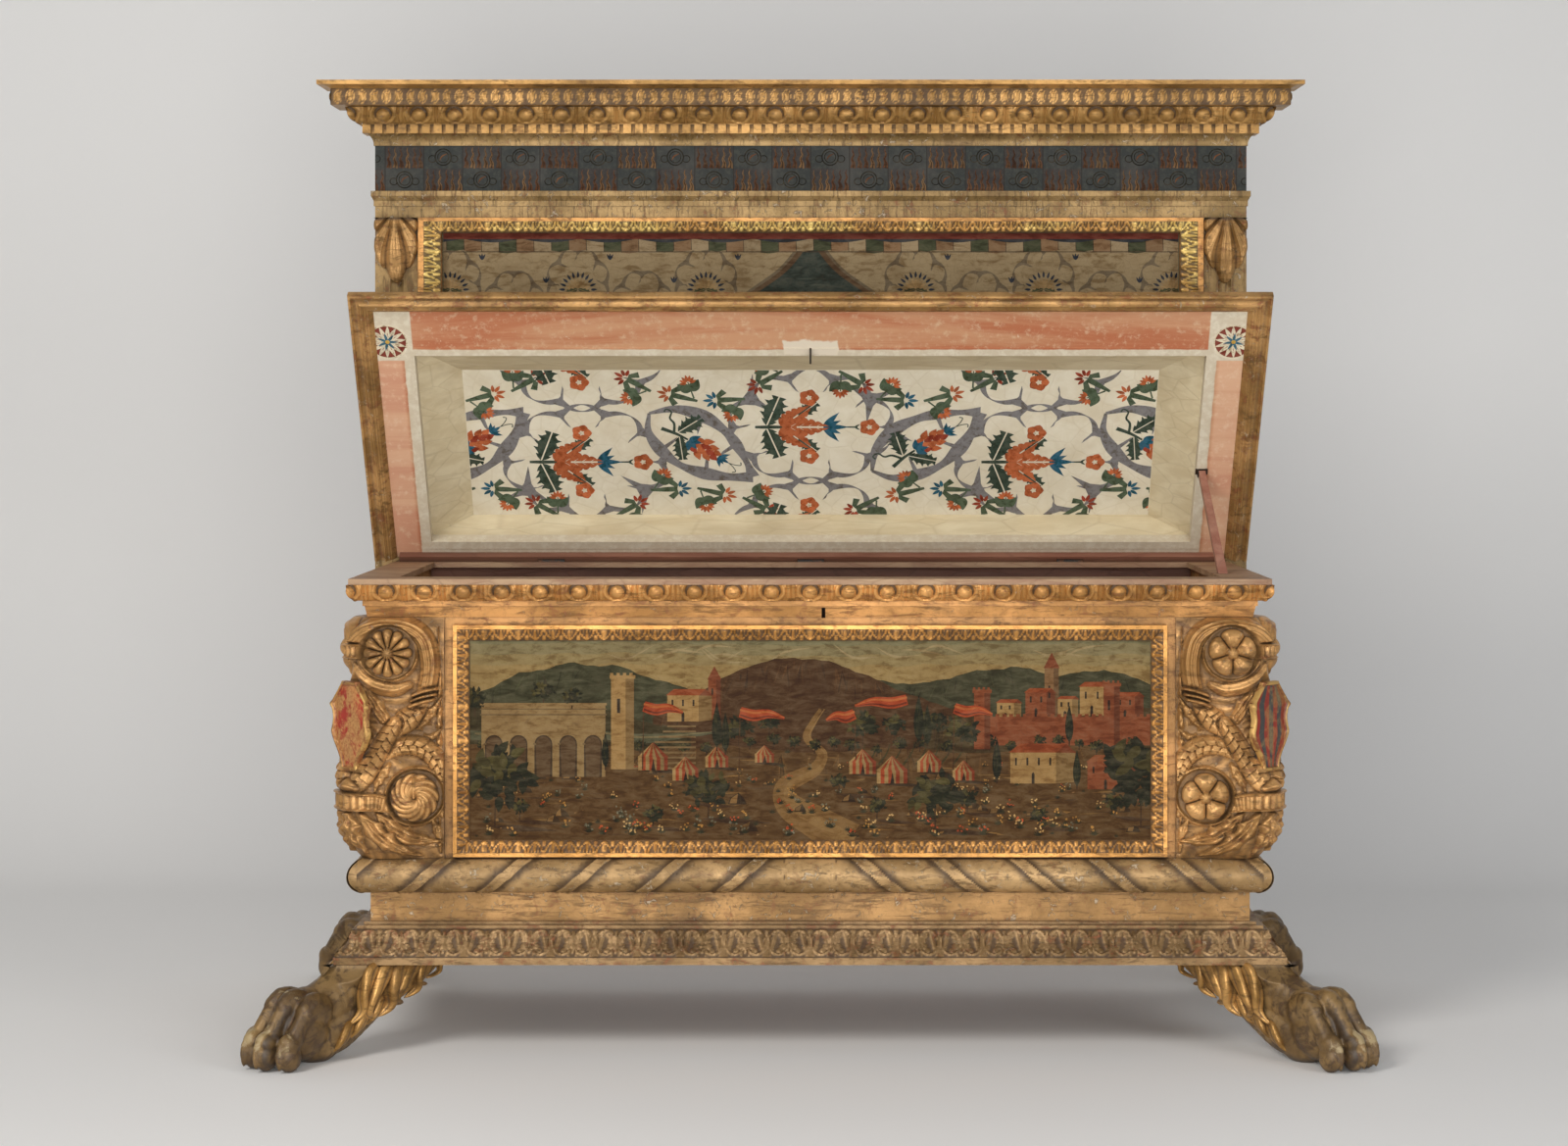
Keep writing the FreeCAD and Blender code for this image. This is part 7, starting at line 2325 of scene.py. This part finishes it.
def hanging_cloth():
    """A parted hanging with a valance of coloured blocks under a red band."""
    half = 862.0
    foot, head = back_frame_low.z / MM + 34, back_frame_high.z / MM - 34
    hem, rail = foot + 60, 1744
    picture = Painting((-half, foot), (half, head))
    cloth, ochre, brown = (0.300, 0.222, 0.118), (0.330, 0.215, 0.092), (0.150, 0.112, 0.066)
    navy, green, teal = (0.016, 0.024, 0.040), (0.050, 0.058, 0.026), (0.034, 0.046, 0.036)
    picture.block(-half, foot, 2 * half, head - foot, teal, 0)
    for _ in range(60):
        z = chance.uniform(foot, 1700)
        x = chance.uniform(-300, 260)
        picture.band([(x, z, 0.2), (x + 30, z + 1, 1.5), (x + 70, z, 0.2)],
                     tinted((0.050, 0.062, 0.046), 0.4), 0.3, 4)
    for side in (-1, 1):
        edge = [(side * x, z) for x, z in ((4, rail), (62, 1672), (168, 1590), (232, 1480), (262, 1340),
                                           (270, hem))]
        line = [tuple(row) for row in smooth_path(edge, 8)]
        picture.fill(line + [(side * half, hem), (side * half, rail)], cloth, 1)
        picture.band([(x, z, 7) for x, z in edge], (0.105, 0.060, 0.028), 4.6, 8)
        picture.band([(x + side * 11, z, 3.4) for x, z in edge], brown, 4.7, 8)
        picture.block(side * 268, hem, side * (half - 268), 14, brown, 4.6)
        for column in range(5):
            x = side * (246 + column * 150)
            for row in range(5):
                z = 1640 - row * 108 - (54 if column % 2 else 0)
                if z < foot + 110 or abs(x) < 180 + (rail - z) * 0.36:
                    continue
                centre = (x, z, math.pi / 2, 1.0)
                lobed_medallion(picture, centre, 150, 128, 4, 8.0, brown)
                for index in range(11):
                    petal = place_after(centre, -18, 0, (index - 5) * 0.30)
                    picture.spray(petal, [petal_shape(16, 6, 0.5, 30)], navy, 3)
                    picture.spray(petal, [petal_shape(27, 7, 0, 4)], tinted(ochre, 0.2), 3.2)
                for lean in (-1.9, 1.9):
                    picture.spray(place_after(centre, -14, 0, lean), toothed_leaf(34, 16, 4), green, 3.4)
                half_flower(picture, place_after(centre, -44, 0), ochre, 5, 1.2, 17)
                for lean in (-0.5, 0, 0.5):
                    between = (x + 75, z + 54, math.pi / 2 + lean, 1.0)
                    picture.spray(between, [petal_shape(16, 5, 0.3)], navy, 3)
    for index in range(-22, 22):
        x = index * 41.0 + 6
        colour = (green, (0.215, 0.125, 0.060), (0.290, 0.215, 0.120))[index % 3]
        drop = 1714 + 3 * math.cos(index * 0.9)
        picture.fill([(x, drop), (x + 20, drop - 2), (x + 41, drop + 1), (x + 41, rail + 2), (x, rail + 2)],
                     tinted(colour), 5)
        picture.band([(x, rail + 2, 0.6), (x + 1, drop, 0.8)], (0.040, 0.028, 0.016), 5.2, 3)
    picture.band([(x * 20.0, 1713, 1.0) for x in range(-44, 45)], (0.060, 0.040, 0.022), 5.3, 1)
    swag = 136.0
    sag = [(0, 4)] + [(swag * k / 10, -9 * math.sin(math.pi * k / 10)) for k in range(11)] + [(swag, 4)]
    for index in range(-7, 7):
        picture.spray((index * swag, rail, 0, 1.0), [sag], (0.026, 0.030, 0.036), 5.6)
    picture.block(-half, rail - 1, 2 * half, head - rail + 1, (0.165, 0.030, 0.016), 6)
    picture.made("backboard_painting", board_place(back_panel_low.y), "chest", "painted_panel", cloth_tempera)


def frieze_pattern():
    """Rows of flames and of small scrolls by turns, as the squares below them change."""
    low, high = frieze_low.xz / MM, frieze_high.xz / MM
    picture = Painting(low, high)
    column, row = 90.5, (high[1] - low[1]) / 2
    for across in range(-12, 12):
        for up in range(2):
            x, z = across * column, low[1] + up * row
            if (across + up) % 2 == 0:
                for index in range(6):
                    foot = x + 8 + index * 15 + chance.uniform(-1, 1)
                    flame = (0.130, 0.062, 0.032) if chance.random() < 0.6 else (0.230, 0.160, 0.100)
                    rows = [(foot, z + 1, 6.4), (foot + 1.5, z + 12, 4.0), (foot - 2, z + 22, 2.6),
                            (foot + 2, z + 32, 1.9), (foot - 1, z + 42, 1.3), (foot + 1, z + row - 3, 0.4)]
                    picture.band(rows, tinted(flame, 0.3), 1, 5)
                    picture.band([(a + 0.5, b, half * 0.30) for a, b, half in rows[:-1]],
                                 (0.060, 0.036, 0.022), 1.4, 4)
                continue
            cx, cz = x + column / 2, z + row / 2
            ink = (0.018, 0.021, 0.018)
            turns = [k * math.pi / 6 for k in range(13)]
            for radius, wide in ((19, 1.5), (13, 1.1)):
                picture.band([(cx + radius * math.cos(turn), cz + radius * math.sin(turn), wide)
                              for turn in turns], ink, 1, 3)
            for side in (-1, 1):
                curl = [(cx + side * (20 + 9 * math.cos(k) + 5), cz - 4 + 8 * math.sin(k), 1.2)
                        for k in (3.4, 4.4, 5.4, 6.4, 7.4, 8.4)]
                picture.band(curl, ink, 1, 4)
            stroke = (0.230, 0.105, 0.042)
            picture.band([(cx - 8, cz - 7, 0.5), (cx - 3, cz + 2, 1.5), (cx + 9, cz + 8, 0.5)],
                         tinted(stroke, 0.3), 1.4, 5)
    picture.made("frieze_painting", board_place(frieze_low.y), "chest", "painted_panel", panel_tempera)


front_landscape()
end_landscapes()
hanging_cloth()
frieze_pattern()
